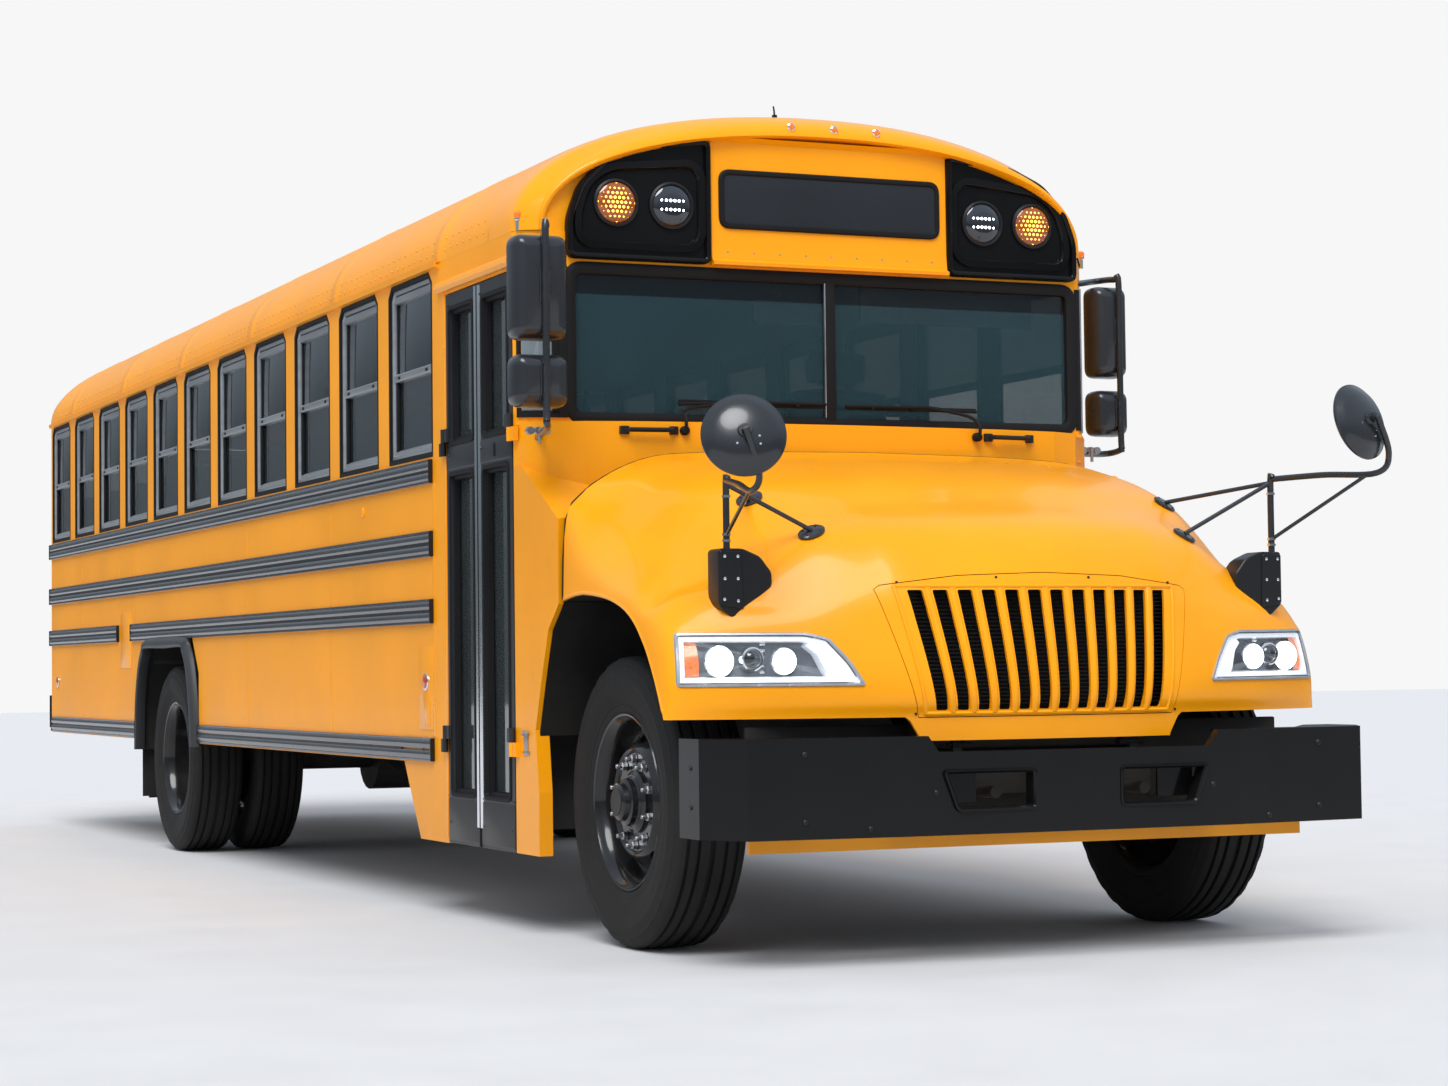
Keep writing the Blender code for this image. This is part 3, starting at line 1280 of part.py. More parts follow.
def make_wheels():
    for ending, side in sides:
        centre = (side * front_wheel_x, 0, tyre_radius)
        piece("front_tyre_" + ending, tyre(centre), "tyre_rubber", centre)
        piece("front_rim_" + ending, wheel_body(front_rim_section, side, centre), "black_paint", centre)

        middle_x = rear_outer_x - dual_spacing / 2
        for name, x in (("outer", rear_outer_x), ("inner", rear_outer_x - dual_spacing)):
            centre = (side * x, wheelbase, tyre_radius)
            piece("rear_tyre_%s_%s" % (name, ending), tyre(centre), "tyre_rubber", centre)
        centre = (side * middle_x, wheelbase, tyre_radius)
        piece("rear_rims_" + ending, wheel_body(rear_rim_section, side, centre), "black_paint", centre)


yoke_x = (kingpin_x + 0.055, kingpin_x + 0.085)


def make_knuckles():
    for ending, side in sides:
        x, z = side * kingpin_x, tyre_radius
        top = z + kingpin_half_height + gap
        low = z - kingpin_half_height - gap
        discs = [
            rod((x, 0, top), (x, 0, top + 0.035), kingpin_radius),
            rod((x, 0, low - 0.035), (x, 0, low), kingpin_radius),
        ]
        plates = [
            box(span(side, kingpin_x, yoke_x[1]), (-0.035, 0.035), (top, top + 0.035)),
            box(span(side, kingpin_x, yoke_x[1]), (-0.035, 0.035), (low - 0.035, low)),
            box(span(side, *yoke_x), (-0.035, 0.035), (low - 0.035, top + 0.035)),
        ]
        stub_end = front_wheel_x + 0.150
        stub = rod((side * yoke_x[0], 0, z), (side * stub_end, 0, z), spindle_radius)
        shape = join(discs[0], *plates, discs[1], stub)
        piece("knuckle_" + ending, shape, "cast_iron", (x, 0, z))


make_frame()
make_front_axle()
make_rear_axle()
make_drive_line()
make_tanks_and_exhaust()
make_bumpers()
make_side_walls()
make_cowl()
make_roof()
make_lamps_and_sign()
make_rear()
make_entry_door()
make_stop_arm()
make_floor()
make_seats()
make_driver_controls()
make_hood()
make_mirrors()
make_wheels()
make_knuckles()
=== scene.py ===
# School bus: finishes, lamps, trim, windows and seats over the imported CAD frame.
# Metres. The front of the bus faces -Y and the driver's side is +X.
# Pieces are drawn in axle coordinates (y = 0 at the front axle) and moved to the frame at the end.
import math

import bmesh
import bpy
from mathutils import Matrix, Vector


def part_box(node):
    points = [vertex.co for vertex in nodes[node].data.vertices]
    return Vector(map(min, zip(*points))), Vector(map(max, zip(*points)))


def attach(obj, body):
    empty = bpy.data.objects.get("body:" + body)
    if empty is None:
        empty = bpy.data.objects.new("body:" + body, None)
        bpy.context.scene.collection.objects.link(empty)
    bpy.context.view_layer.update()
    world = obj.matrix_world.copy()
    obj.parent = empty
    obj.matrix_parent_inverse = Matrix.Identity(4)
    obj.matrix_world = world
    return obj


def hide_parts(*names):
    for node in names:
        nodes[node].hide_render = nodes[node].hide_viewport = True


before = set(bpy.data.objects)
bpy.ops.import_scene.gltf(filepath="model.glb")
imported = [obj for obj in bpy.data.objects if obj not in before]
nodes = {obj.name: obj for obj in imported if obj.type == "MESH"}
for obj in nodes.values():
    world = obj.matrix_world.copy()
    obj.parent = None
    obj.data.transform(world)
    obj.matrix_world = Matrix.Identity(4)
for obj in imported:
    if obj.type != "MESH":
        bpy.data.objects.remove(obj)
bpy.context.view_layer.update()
print("frame loaded:", len(nodes), "nodes")


def middleOf(node):
    low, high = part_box(node)
    return (low + high) / 2


axleY = middleOf("front_tyre_left").y
sides = (("right", -1), ("left", 1))  # the door side is the bus's right

cameraView = {
    "x": -4.685,
    "yFromAxle": -8.987,
    "z": 0.928,
    "yaw": 23.69,
    "pitch": 2.445,
    "roll": -0.665,
    "lens": 72.31,
    "sensor": 36.0,
}

lighting = {
    "sunStrength": 2.7,
    "sunAngle": 35.0,
    "sunWay": (0.35, 0.55, -0.85),
    "skyStrength": 0.75,
    "skyColour": (0.86, 0.92, 1.0),
    "mirrorLow": (0.10, 0.12, 0.13),
    "mirrorHigh": (0.58, 0.68, 0.80),
    "mirrorStops": {"mirrorLow": 0.02, "mirrorHigh": 0.45},
    "backgroundGrey": 0.93,
    "floorGrey": 0.62,
}


def makeCamera():
    data = bpy.data.cameras.new("photoCamera")
    data.lens = cameraView["lens"]
    data.sensor_width = cameraView["sensor"]
    camera = bpy.data.objects.new("photoCamera", data)
    bpy.context.scene.collection.objects.link(camera)
    yaw, pitch, roll = (math.radians(cameraView[k]) for k in ("yaw", "pitch", "roll"))
    ahead = Vector((math.sin(yaw) * math.cos(pitch), math.cos(yaw) * math.cos(pitch), math.sin(pitch)))
    right = Vector((math.cos(yaw), -math.sin(yaw), 0))
    up = right.cross(ahead)
    tiltedRight = right * math.cos(roll) + up * math.sin(roll)
    tiltedUp = up * math.cos(roll) - right * math.sin(roll)
    turn = Matrix((tiltedRight, tiltedUp, -ahead)).transposed()
    place = Vector((cameraView["x"], cameraView["yFromAxle"] + axleY, cameraView["z"]))
    camera.matrix_world = Matrix.Translation(place) @ turn.to_4x4()
    data.clip_end = 200
    bpy.context.scene.camera = camera


def fillNode(tree, node, values):
    for socket, value in dict(values).items():
        if isinstance(value, bpy.types.NodeSocket):
            tree.links.new(value, node.inputs[socket])
        else:
            node.inputs[socket].default_value = value
    return node


def addNode(tree, kind, values=()):
    return fillNode(tree, tree.nodes.new("ShaderNode" + kind), values)


def makeStage():
    bm = bmesh.new()
    bmesh.ops.create_grid(bm, x_segments=1, y_segments=1, size=60)
    mesh = bpy.data.meshes.new("floorSheet")
    bm.to_mesh(mesh)
    bm.free()
    ground = bpy.data.objects.new("floorSheet", mesh)
    bpy.context.scene.collection.objects.link(ground)
    grey = lighting["floorGrey"]
    ground.data.materials.append(surface("paleFloor", (grey, grey, grey * 1.01), 0.85, spread=0.02))

    world = bpy.data.worlds.new("studio")
    bpy.context.scene.world = world
    world.use_nodes = True
    tree = world.node_tree
    tree.nodes.clear()
    ray = addNode(tree, "LightPath").outputs
    way = addNode(tree, "TexCoord")  # what shiny pieces mirror: a dim band under a pale ceiling
    axes = addNode(tree, "SeparateXYZ", {0: way.outputs["Generated"]})
    ramp = addNode(tree, "ValToRGB", {0: axes.outputs["Z"]})
    for stop, shade in zip(ramp.color_ramp.elements, ("mirrorLow", "mirrorHigh")):
        stop.position = lighting["mirrorStops"][shade]
        stop.color = (*lighting[shade], 1)
    mirrored = addNode(tree, "Background", {0: ramp.outputs[0]})
    sky = addNode(tree, "Background", {0: (*lighting["skyColour"], 1), 1: lighting["skyStrength"]})
    grey = lighting["backgroundGrey"]
    plain = addNode(tree, "Background", {0: (grey, grey, grey, 1)})
    lit = addNode(tree, "MixShader", {0: ray["Is Glossy Ray"], 1: sky.outputs[0], 2: mirrored.outputs[0]})
    seen = addNode(tree, "MixShader", {0: ray["Is Camera Ray"], 1: lit.outputs[0], 2: plain.outputs[0]})
    addNode(tree, "OutputWorld", {0: seen.outputs[0]})

    sun = bpy.data.lights.new("softSun", "SUN")
    sun.energy = lighting["sunStrength"]
    sun.angle = math.radians(lighting["sunAngle"])
    lamp = bpy.data.objects.new("softSun", sun)
    lamp.rotation_euler = Vector(lighting["sunWay"]).to_track_quat("-Z", "Y").to_euler()
    bpy.context.scene.collection.objects.link(lamp)
    bpy.context.scene.view_settings.view_transform = "Standard"
    bpy.context.scene.view_settings.view_transform = "Standard"


# Finishes
def surface(
    name,
    colour,
    roughness,
    metallic=0.0,
    coat=0.0,
    spread=0.06,
    spreadScale=2.5,
    grain=0.0,
    grainScale=250.0,
    stretch=(1, 1, 1),
    dust=0.0,
    dustTop=1.0,
    zones=(),
    alpha=1.0,
    glow=None,
    shine=0.5,
):
    material = bpy.data.materials.new(name)
    material.use_nodes = True
    tree = material.node_tree
    shader = tree.nodes["Principled BSDF"]
    fillNode(tree, shader, {
        "Metallic": metallic,
        "Coat Weight": coat,
        "Coat Roughness": 0.06,
        "Specular IOR Level": shine,
        "Alpha": alpha,
    })
    if glow:
        fillNode(tree, shader, {"Emission Color": (*glow[:3], 1), "Emission Strength": glow[3]})
    place = addNode(tree, "TexCoord").outputs["Object"]
    spots = addNode(tree, "Mapping", {"Vector": place, "Scale": stretch}).outputs[0]

    def noise(scale, detail):
        return addNode(tree, "TexNoise", {"Vector": spots, "Scale": scale, "Detail": detail}).outputs["Fac"]

    def mathNode(operation, a, b=0.0):
        node = addNode(tree, "Math", {0: a, 1: b})
        node.operation = operation
        return node.outputs[0]

    def mapRange(value, ends):
        names = ("From Min", "From Max", "To Min", "To Max")
        return addNode(tree, "MapRange", {"Value": value, **dict(zip(names, ends))}).outputs[0]

    def blendColour(factor, a, b):
        node = addNode(tree, "Mix")
        node.data_type = "RGBA"
        return fillNode(tree, node, {0: factor, 6: a, 7: b}).outputs[2]

    def varied(base):  # the colour in paler and darker patches
        return blendColour(broad, *((*(min(1.0, c * f) for c in base), 1) for f in (1 - spread, 1 + spread)))

    broad = mapRange(noise(spreadScale, 5.0), (0.3, 0.7))
    colourOut = varied(colour)
    roughOut = mathNode("ADD", mathNode("MULTIPLY", broad, roughness * 0.25), roughness * 0.88)
    if zones or dust:
        axes = addNode(tree, "SeparateXYZ", {0: place}).outputs
    for axis, threshold, zoneColour, zoneRoughness in zones:
        value = axes[axis[-1]]
        if axis.startswith("abs"):
            value = mathNode("ABSOLUTE", value)
        mask = mathNode("GREATER_THAN", value, threshold)
        colourOut = blendColour(mask, colourOut, varied(zoneColour))
        roughOut = mathNode("ADD", roughOut, mathNode("MULTIPLY", mask, zoneRoughness - roughness))
    if dust:  # road dust that thins out upwards
        height = mapRange(axes["Z"], (0.2, dustTop, dust, 0.0))
        patchy = mathNode("MULTIPLY", height, mathNode("ADD", noise(9.0, 6.0), 0.3))
        colourOut = blendColour(patchy, colourOut, (0.20, 0.17, 0.13, 1))
        roughOut = mathNode("ADD", roughOut, mathNode("MULTIPLY", patchy, 0.4))
    fillNode(tree, shader, {"Base Color": colourOut, "Roughness": roughOut})
    if grain:
        fine = {"Strength": grain, "Distance": 0.002, "Height": noise(grainScale, 2.0)}
        fillNode(tree, shader, {"Normal": addNode(tree, "Bump", fine).outputs[0]})
    return material

yellow = (0.94, 0.350, 0.003)
black = (0.006, 0.006, 0.0065)
satinBlack = (0.013, 0.013, 0.0145)
finishes = {
    "paint": surface("busYellow", yellow, 0.30, coat=0.16, spread=0.045, dust=0.12, dustTop=0.6, shine=0.22),
    "sides": surface(
        "sideYellow",
        yellow,
        0.34,
        coat=0.05,
        spread=0.05,
        spreadScale=1.6,
        dust=0.25,
        dustTop=0.75,
        zones=[("absX", 1.2225, satinBlack, 0.45)],
        shine=0.2,
    ),
    "roof": surface(
        "roofPaint", yellow, 0.35, coat=0.1, spread=0.04, zones=[(
            "Z", 2.915, (0.68, 0.69, 0.70), 0.45
        )], shine=0.2
    ),
    "glossBlack": surface(
        "glossBlack", black, 0.12, coat=0.12, spread=0.2, grain=0.01, dust=0.02, dustTop=0.6, shine=0.12
    ),
    "satinBlack": surface(
        "satinBlack", satinBlack, 0.36, spread=0.15, grain=0.08, grainScale=500, shine=0.25
    ),
    "ribBlack": surface(
        "ribBlack", (0.016, 0.017, 0.019), 0.3, spread=0.2, spreadScale=8, dust=0.1, dustTop=0.9, shine=0.3
    ),
    "doorGrey": surface(
        "doorGrey", (0.030, 0.032, 0.036), 0.35, metallic=0.2, spread=0.1, dust=0.15, dustTop=0.7, shine=0.25
    ),
    "flareRubber": surface(
        "flareRubber", (0.030, 0.032, 0.035), 0.45, spread=0.12, grain=0.1, grainScale=300, shine=0.4
    ),
    "gasket": surface(
        "gasket", (0.010, 0.010, 0.011), 0.6, spread=0.15, grain=0.1, grainScale=400, shine=0.15
    ),
    "sash": surface(
        "sash", (0.34, 0.36, 0.38), 0.38, metallic=0.75, spread=0.08, spreadScale=30, stretch=(1, 0.1, 1)
    ),
    "chrome": surface("chrome", (0.85, 0.86, 0.88), 0.10, metallic=1.0, spread=0.03),
    "nutSteel": surface("nutSteel", (0.34, 0.35, 0.36), 0.28, metallic=0.85, spread=0.12, spreadScale=40),
    "steel": surface("steel", (0.42, 0.42, 0.43), 0.35, metallic=0.9, spread=0.15, spreadScale=12, grain=0.1),
    "castIron": surface(
        "castIron", (0.05, 0.048, 0.046), 0.7, metallic=0.4, spread=0.3, spreadScale=6, grain=0.5
    ),
    "chassis": surface(
        "chassis", (0.010, 0.010, 0.010), 0.6, spread=0.3, spreadScale=5, grain=0.2, dust=0.12, dustTop=1.2,
        shine=0.2
    ),
    "tyre": surface(
        "tyre", (0.010, 0.010, 0.0105), 0.7, spread=0.25, spreadScale=5, grain=0.3, grainScale=350, dust=0.05,
        dustTop=1.3, shine=0.22
    ),
    "wheel": surface(
        "wheelBlack", (0.008, 0.008, 0.009), 0.2, coat=0.4, spread=0.3, spreadScale=9, dust=0.03, dustTop=1.2,
        shine=0.3
    ),
    "sideGlass": surface(
        "sideGlass", (0.022, 0.032, 0.038), 0.03, coat=1.0, spread=0.12, alpha=0.60, shine=1.0
    ),
    "screenGlass": surface(
        "screenGlass", (0.028, 0.075, 0.095), 0.02, coat=0.7, spread=0.1, alpha=0.36, zones=[(
            "Z", 2.27, (0.006, 0.014, 0.02), 0.02
        )]
    ),
    "doorGlass": surface(
        "doorGlass", (0.044, 0.054, 0.056), 0.03, coat=1.0, spread=0.25, spreadScale=1.2, alpha=0.82,
        shine=1.0
    ),
    "clearLens": surface("clearLens", (0.80, 0.85, 0.90), 0.05, coat=0.6, spread=0.02, alpha=0.07),
    "darkLens": surface("darkLens", (0.014, 0.017, 0.024), 0.08, coat=1.0, spread=0.1, spreadScale=60),
    "amberLens": surface(
        "amberLens", (0.70, 0.16, 0.015), 0.15, coat=0.5, spread=0.3, spreadScale=80,
        glow=(1, 0.22, 0.02, 0.25)
    ),
    "smokedAmber": surface("smokedAmber", (0.30, 0.075, 0.008), 0.12, coat=0.6, spread=0.3, spreadScale=70),
    "amberGlow": surface("amberGlow", (1.0, 0.45, 0.08), 0.3, spread=0.05, glow=(1.0, 0.40, 0.06, 5.0)),
    "whiteGlow": surface("whiteGlow", (0.9, 0.95, 1.0), 0.3, spread=0.02, glow=(0.85, 0.92, 1.0, 6.0)),
    "smokedChrome": surface(
        "smokedChrome", (0.16, 0.17, 0.19), 0.22, metallic=0.8, spread=0.3, spreadScale=25
    ),
    "rimGrey": surface("rimGrey", (0.42, 0.44, 0.47), 0.25, metallic=0.5, spread=0.1, spreadScale=20),
    "guideWhite": surface(
        "guideWhite", (0.86, 0.88, 0.92), 0.15, coat=0.6, spread=0.05, spreadScale=30,
        glow=(0.8, 0.88, 1.0, 0.25)
    ),
    "redLens": surface(
        "redLens", (0.45, 0.012, 0.010), 0.12, coat=1.0, spread=0.25, spreadScale=90, grain=0.3,
        grainScale=700
    ),
    "redPaint": surface("stopRed", (0.52, 0.012, 0.012), 0.4, coat=0.3, spread=0.06),
    "whitePaint": surface("whitePaint", (0.78, 0.78, 0.77), 0.4, coat=0.2, spread=0.03),
    "mirror": surface("mirrorGlass", (0.80, 0.84, 0.88), 0.03, metallic=1.0, spread=0.02),
    "vinyl": surface(
        "seatVinyl", (0.030, 0.048, 0.075), 0.5, spread=0.12, spreadScale=6, grain=0.45, grainScale=420
    ),
    "rubberFloor": surface("rubberFloor", (0.025, 0.025, 0.027), 0.75, spread=0.2, grain=0.5, grainScale=160),
    "lining": surface("lining", (0.50, 0.51, 0.50), 0.55, spread=0.05, grain=0.1),
    "dash": surface("dashPlastic", (0.028, 0.028, 0.030), 0.55, spread=0.1, grain=0.4, grainScale=500),
    "rail": surface("railYellow", (0.80, 0.55, 0.03), 0.35, coat=0.3, spread=0.05),
    "exhaust": surface(
        "exhaustSteel", (0.22, 0.17, 0.14), 0.6, metallic=0.7, spread=0.35, spreadScale=7, grain=0.3
    ),
    "signBlack": surface("signBlack", (0.012, 0.014, 0.018), 0.10, coat=0.8, spread=0.15),
    # rub-rail ridges: paler than the rails' black to paint their highlight, and glossy so they also catch
    # real highlights
    "ridge": surface(
        "railRidgePaintedHighlight", (0.035, 0.038, 0.044), 0.2, coat=0.3, spread=0.2, spreadScale=6, stretch=(1, 0.2, 1),
        dust=0.08, dustTop=0.9
    ),
    "quarterGlass": surface("quarterGlass", (0.16, 0.20, 0.22), 0.05, coat=1.0, spread=0.25, spreadScale=5),
    "mirrorBlack": surface(
        "mirrorBlack", (0.016, 0.018, 0.022), 0.28, coat=0.3, spread=0.15, grain=0.05, grainScale=600
    ),
    "clearRear": surface("clearRear", (0.55, 0.58, 0.60), 0.12, coat=1.0, spread=0.2, spreadScale=80),
}

nodeFinish = {
    "paint": [
        "cowl", "front_valance", "rear_cap", "front_cap", "rear_wall", "emergency_door", "hood", "grille"
    ],
    "sides": ["side_wall_right", "side_wall_left"],
    "roof": ["roof"],
    "glossBlack": ["front_bumper", "rear_bumper", "warning_lamps_right", "warning_lamps_left"],
    "satinBlack": [
        "sign_panel", "hood_mirror_right", "hood_mirror_left", "side_mirror_right", "side_mirror_left"
    ],
    "wheel": ["front_rim_right", "front_rim_left", "rear_rims_right", "rear_rims_left"],
    "doorGrey": ["entry_door_front", "entry_door_rear"],
    "chassis": ["frame_rails", "propshaft", "fuel_tank", "air_tank"],
    "castIron": ["front_axle", "rear_axle", "engine", "knuckle_right", "knuckle_left"],
    "exhaust": ["exhaust"],
    "sideGlass": [
        "side_glass_right", "side_glass_left", "rear_glass_right", "rear_glass_left", "emergency_glass"
    ],
    "screenGlass": ["windscreen"],
    "doorGlass": ["entry_glass_front", "entry_glass_rear"],
    "clearLens": ["headlight_right", "headlight_left"],
    "vinyl": ["seats_right", "seats_left", "driver_seat"],
    "rubberFloor": ["floor", "step_well"],
    "dash": ["dashboard", "steering_wheel"],
    "redPaint": ["stop_arm"],
    "tyre": [name for name in nodes if "tyre" in name],
}
for finish, names in nodeFinish.items():
    for name in names:
        nodes[name].data.materials.clear()
        nodes[name].data.materials.append(finishes[finish])

def softenEdges(name, width, segments=2, angle=40):
    bevel = nodes[name].modifiers.new("softEdges", "BEVEL")
    bevel.width = width
    bevel.segments = segments
    bevel.limit_method = "ANGLE"
    bevel.angle_limit = math.radians(angle)
    bevel.harden_normals = True


makeCamera()
makeStage()
print("camera, floor, light and finishes made")


# Shapes, added to a bmesh in axle coordinates
def addBox(bm, low, high, bevel=0.0, segments=2):  # between any two opposite corners
    low, high = zip(*(sorted(pair) for pair in zip(low, high)))
    size = Matrix.Diagonal((*(b - a for a, b in zip(low, high)), 1))
    middle = Matrix.Translation([(a + b) / 2 for a, b in zip(low, high)])
    made = bmesh.ops.create_cube(bm, size=1, matrix=middle @ size)
    if bevel:
        edges = {edge for vert in made["verts"] for edge in vert.link_edges}
        bmesh.ops.bevel(bm, geom=list(edges), offset=bevel, segments=segments, affect="EDGES", profile=0.6)


def spline(points, steps):
    points = [Vector(p) for p in points]
    if len(points) < 3 or steps < 2:
        return points
    result = []
    for i in range(len(points) - 1):
        a = points[max(i - 1, 0)]
        b, c = points[i], points[i + 1]
        d = points[min(i + 2, len(points) - 1)]
        for k in range(steps):
            t = k / steps
            bent = 2 * b + (c - a) * t + (2 * a - 5 * b + 4 * c - d) * t * t
            result.append(0.5 * (bent + (3 * b - a - 3 * c + d) * t**3))
    return result + [points[-1]]


def addLoft(bm, rings, closedEnds=True, around=True):
    made = [[bm.verts.new(p) for p in ring] for ring in rings]
    for ring, after in zip(made, made[1:]):
        for i in range(len(ring) if around else len(ring) - 1):
            k = (i + 1) % len(ring)
            bm.faces.new((ring[i], ring[k], after[k], after[i]))
    if closedEnds:
        bm.faces.new(made[0])
        bm.faces.new(made[-1][::-1])
    return made


def addSheet(bm, rings):
    addLoft(bm, rings, closedEnds=False, around=False)


def addTube(bm, points, radius, sides=12, steps=5):
    path = spline(points, steps)
    radii = radius if isinstance(radius, (list, tuple)) else (radius, radius)
    rings = []
    normal = None
    for i, point in enumerate(path):
        along = (path[min(i + 1, len(path) - 1)] - path[max(i - 1, 0)]).normalized()
        if normal is None:
            normal = along.orthogonal().normalized()
        normal = (normal - along * normal.dot(along)).normalized()
        other = along.cross(normal)
        r = radii[0] + (radii[1] - radii[0]) * i / max(1, len(path) - 1)
        turns = [2 * math.pi * k / sides for k in range(sides)]
        rings.append([point + (normal * math.cos(t) + other * math.sin(t)) * r for t in turns])
    addLoft(bm, rings)


axisTurns = {
    "x": lambda c, r, t, along: (c[0] + along, c[1] + r * math.cos(t), c[2] + r * math.sin(t)),
    "y": lambda c, r, t, along: (c[0] + r * math.cos(t), c[1] + along, c[2] + r * math.sin(t)),
    "z": lambda c, r, t, along: (c[0] + r * math.cos(t), c[1] + r * math.sin(t), c[2] + along),
}


def addTurned(bm, profile, centre, axis, steps=40, way=1, closed=False, notch=None):
    rings = []
    for k in range(steps):
        t = 2 * math.pi * k / steps
        ring = []
        for j, (radius, along) in enumerate(profile):
            r = radius if notch is None else radius - notch(j, k)
            ring.append(bm.verts.new(axisTurns[axis](centre, r, t, way * along)))
        rings.append(ring)
    count = len(profile)
    for k in range(steps):
        ring, after = rings[k], rings[(k + 1) % steps]
        for j in range(count if closed else count - 1):
            m = (j + 1) % count
            bm.faces.new((ring[j], ring[m], after[m], after[j]))
    if not closed:
        for j in (0, count - 1):
            if profile[j][0] > 0.0005:
                bm.faces.new([ring[j] for ring in rings])
    bmesh.ops.remove_doubles(bm, verts=[v for ring in rings for v in ring], dist=0.00002)


planes = {
    "x": lambda u, v, w: (w, u, v),
    "y": lambda u, v, w: (u, w, v),
    "z": lambda u, v, w: (u, v, w),
}


def addPrism(bm, outline, axis, start, end):
    addLoft(bm, [[planes[axis](u, v, w) for u, v in outline] for w in (start, end)])


def turnedRight(outline):
    area = sum(a[0] * b[1] - b[0] * a[1] for a, b in zip(outline, outline[1:] + outline[:1]))
    return outline if area > 0 else outline[::-1]


def inset(outline, amount):
    outline = turnedRight(list(outline))
    result = []
    for i, (u, v) in enumerate(outline):
        before, after = outline[i - 1], outline[(i + 1) % len(outline)]
        e1 = Vector((u - before[0], v - before[1])).normalized()
        e2 = Vector((after[0] - u, after[1] - v)).normalized()
        n1, n2 = Vector((-e1.y, e1.x)), Vector((-e2.y, e2.x))
        share = (n1 + n2) / max(0.3, 1 + n1.dot(n2))
        result.append((u + share.x * amount, v + share.y * amount))
    return result


def filleted(outline, radius, steps=4):
    outline = turnedRight(list(outline))
    result = []
    for i, point in enumerate(outline):
        here = Vector(point)
        before, after = Vector(outline[i - 1]), Vector(outline[(i + 1) % len(outline)])
        a, b = (before - here), (after - here)
        r = min(radius, a.length * 0.45, b.length * 0.45)
        start, end = here + a.normalized() * r, here + b.normalized() * r
        for k in range(steps + 1):
            t = k / steps
            p = start * (1 - t) ** 2 + here * 2 * t * (1 - t) + end * t * t
            result.append((p.x, p.y))
    return result


def rectangle(u, v):
    return [(u[0], v[0]), (u[1], v[0]), (u[1], v[1]), (u[0], v[1])]


def roundedSteps(corners, section, axis, radius, steps=5):
    rings = []
    for amount, w in section:
        ring = filleted(inset(corners, amount), max(0.006, radius - amount), steps)
        rings.append([planes[axis](u, v, w) for u, v in ring])
    return rings


def addFrame(bm, outline, section, axis):
    rings = [[planes[axis](u, v, w) for u, v in inset(outline, amount)] for amount, w in section]
    made = [[bm.verts.new(p) for p in ring] for ring in rings]
    for ring, after in zip(made, made[1:] + made[:1]):
        for i in range(len(ring)):
            k = (i + 1) % len(ring)
            bm.faces.new((ring[i], ring[k], after[k], after[i]))


def addDome(bm, outline, section, axis):
    rings = [[planes[axis](u, v, w) for u, v in inset(outline, amount)] for amount, w in section]
    addLoft(bm, rings)


# Shapes become objects, moved from axle coordinates to the frame
def objectFrom(bm, name, recalculate=True):
    if recalculate:
        bmesh.ops.recalc_face_normals(bm, faces=bm.faces)
    bmesh.ops.translate(bm, vec=(0, axleY, 0), verts=bm.verts)
    mesh = bpy.data.meshes.new(name)
    bm.to_mesh(mesh)
    bm.free()
    shape = bpy.data.objects.new(name, mesh)
    bpy.context.scene.collection.objects.link(shape)
    return shape


def smoothFaces(mesh, angle):
    mesh.shade_smooth()
    mesh.set_sharp_from_angle(angle=math.radians(angle))


def finishPiece(name, bm, finish, body="chassis", angle=35):
    piece = objectFrom(bm, name)
    piece.data.materials.append(finishes[finish])
    smoothFaces(piece.data, angle)
    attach(piece, body)
    return piece


def applyModifiers(piece):
    bpy.context.view_layer.update()
    evaluated = piece.evaluated_get(bpy.context.evaluated_depsgraph_get())
    mesh = bpy.data.meshes.new_from_object(evaluated)
    piece.modifiers.clear()
    piece.data = mesh


def cutter(bm):
    return objectFrom(bm, "cutter")


def solved(piece, cutters, operation="DIFFERENCE"):
    for shape in cutters:
        modifier = piece.modifiers.new("solve", "BOOLEAN")
        modifier.operation = operation
        modifier.solver = "EXACT"
        modifier.object = shape
    applyModifiers(piece)
    for shape in cutters:
        bpy.data.objects.remove(shape, do_unlink=True)
    smoothFaces(piece.data, 32)


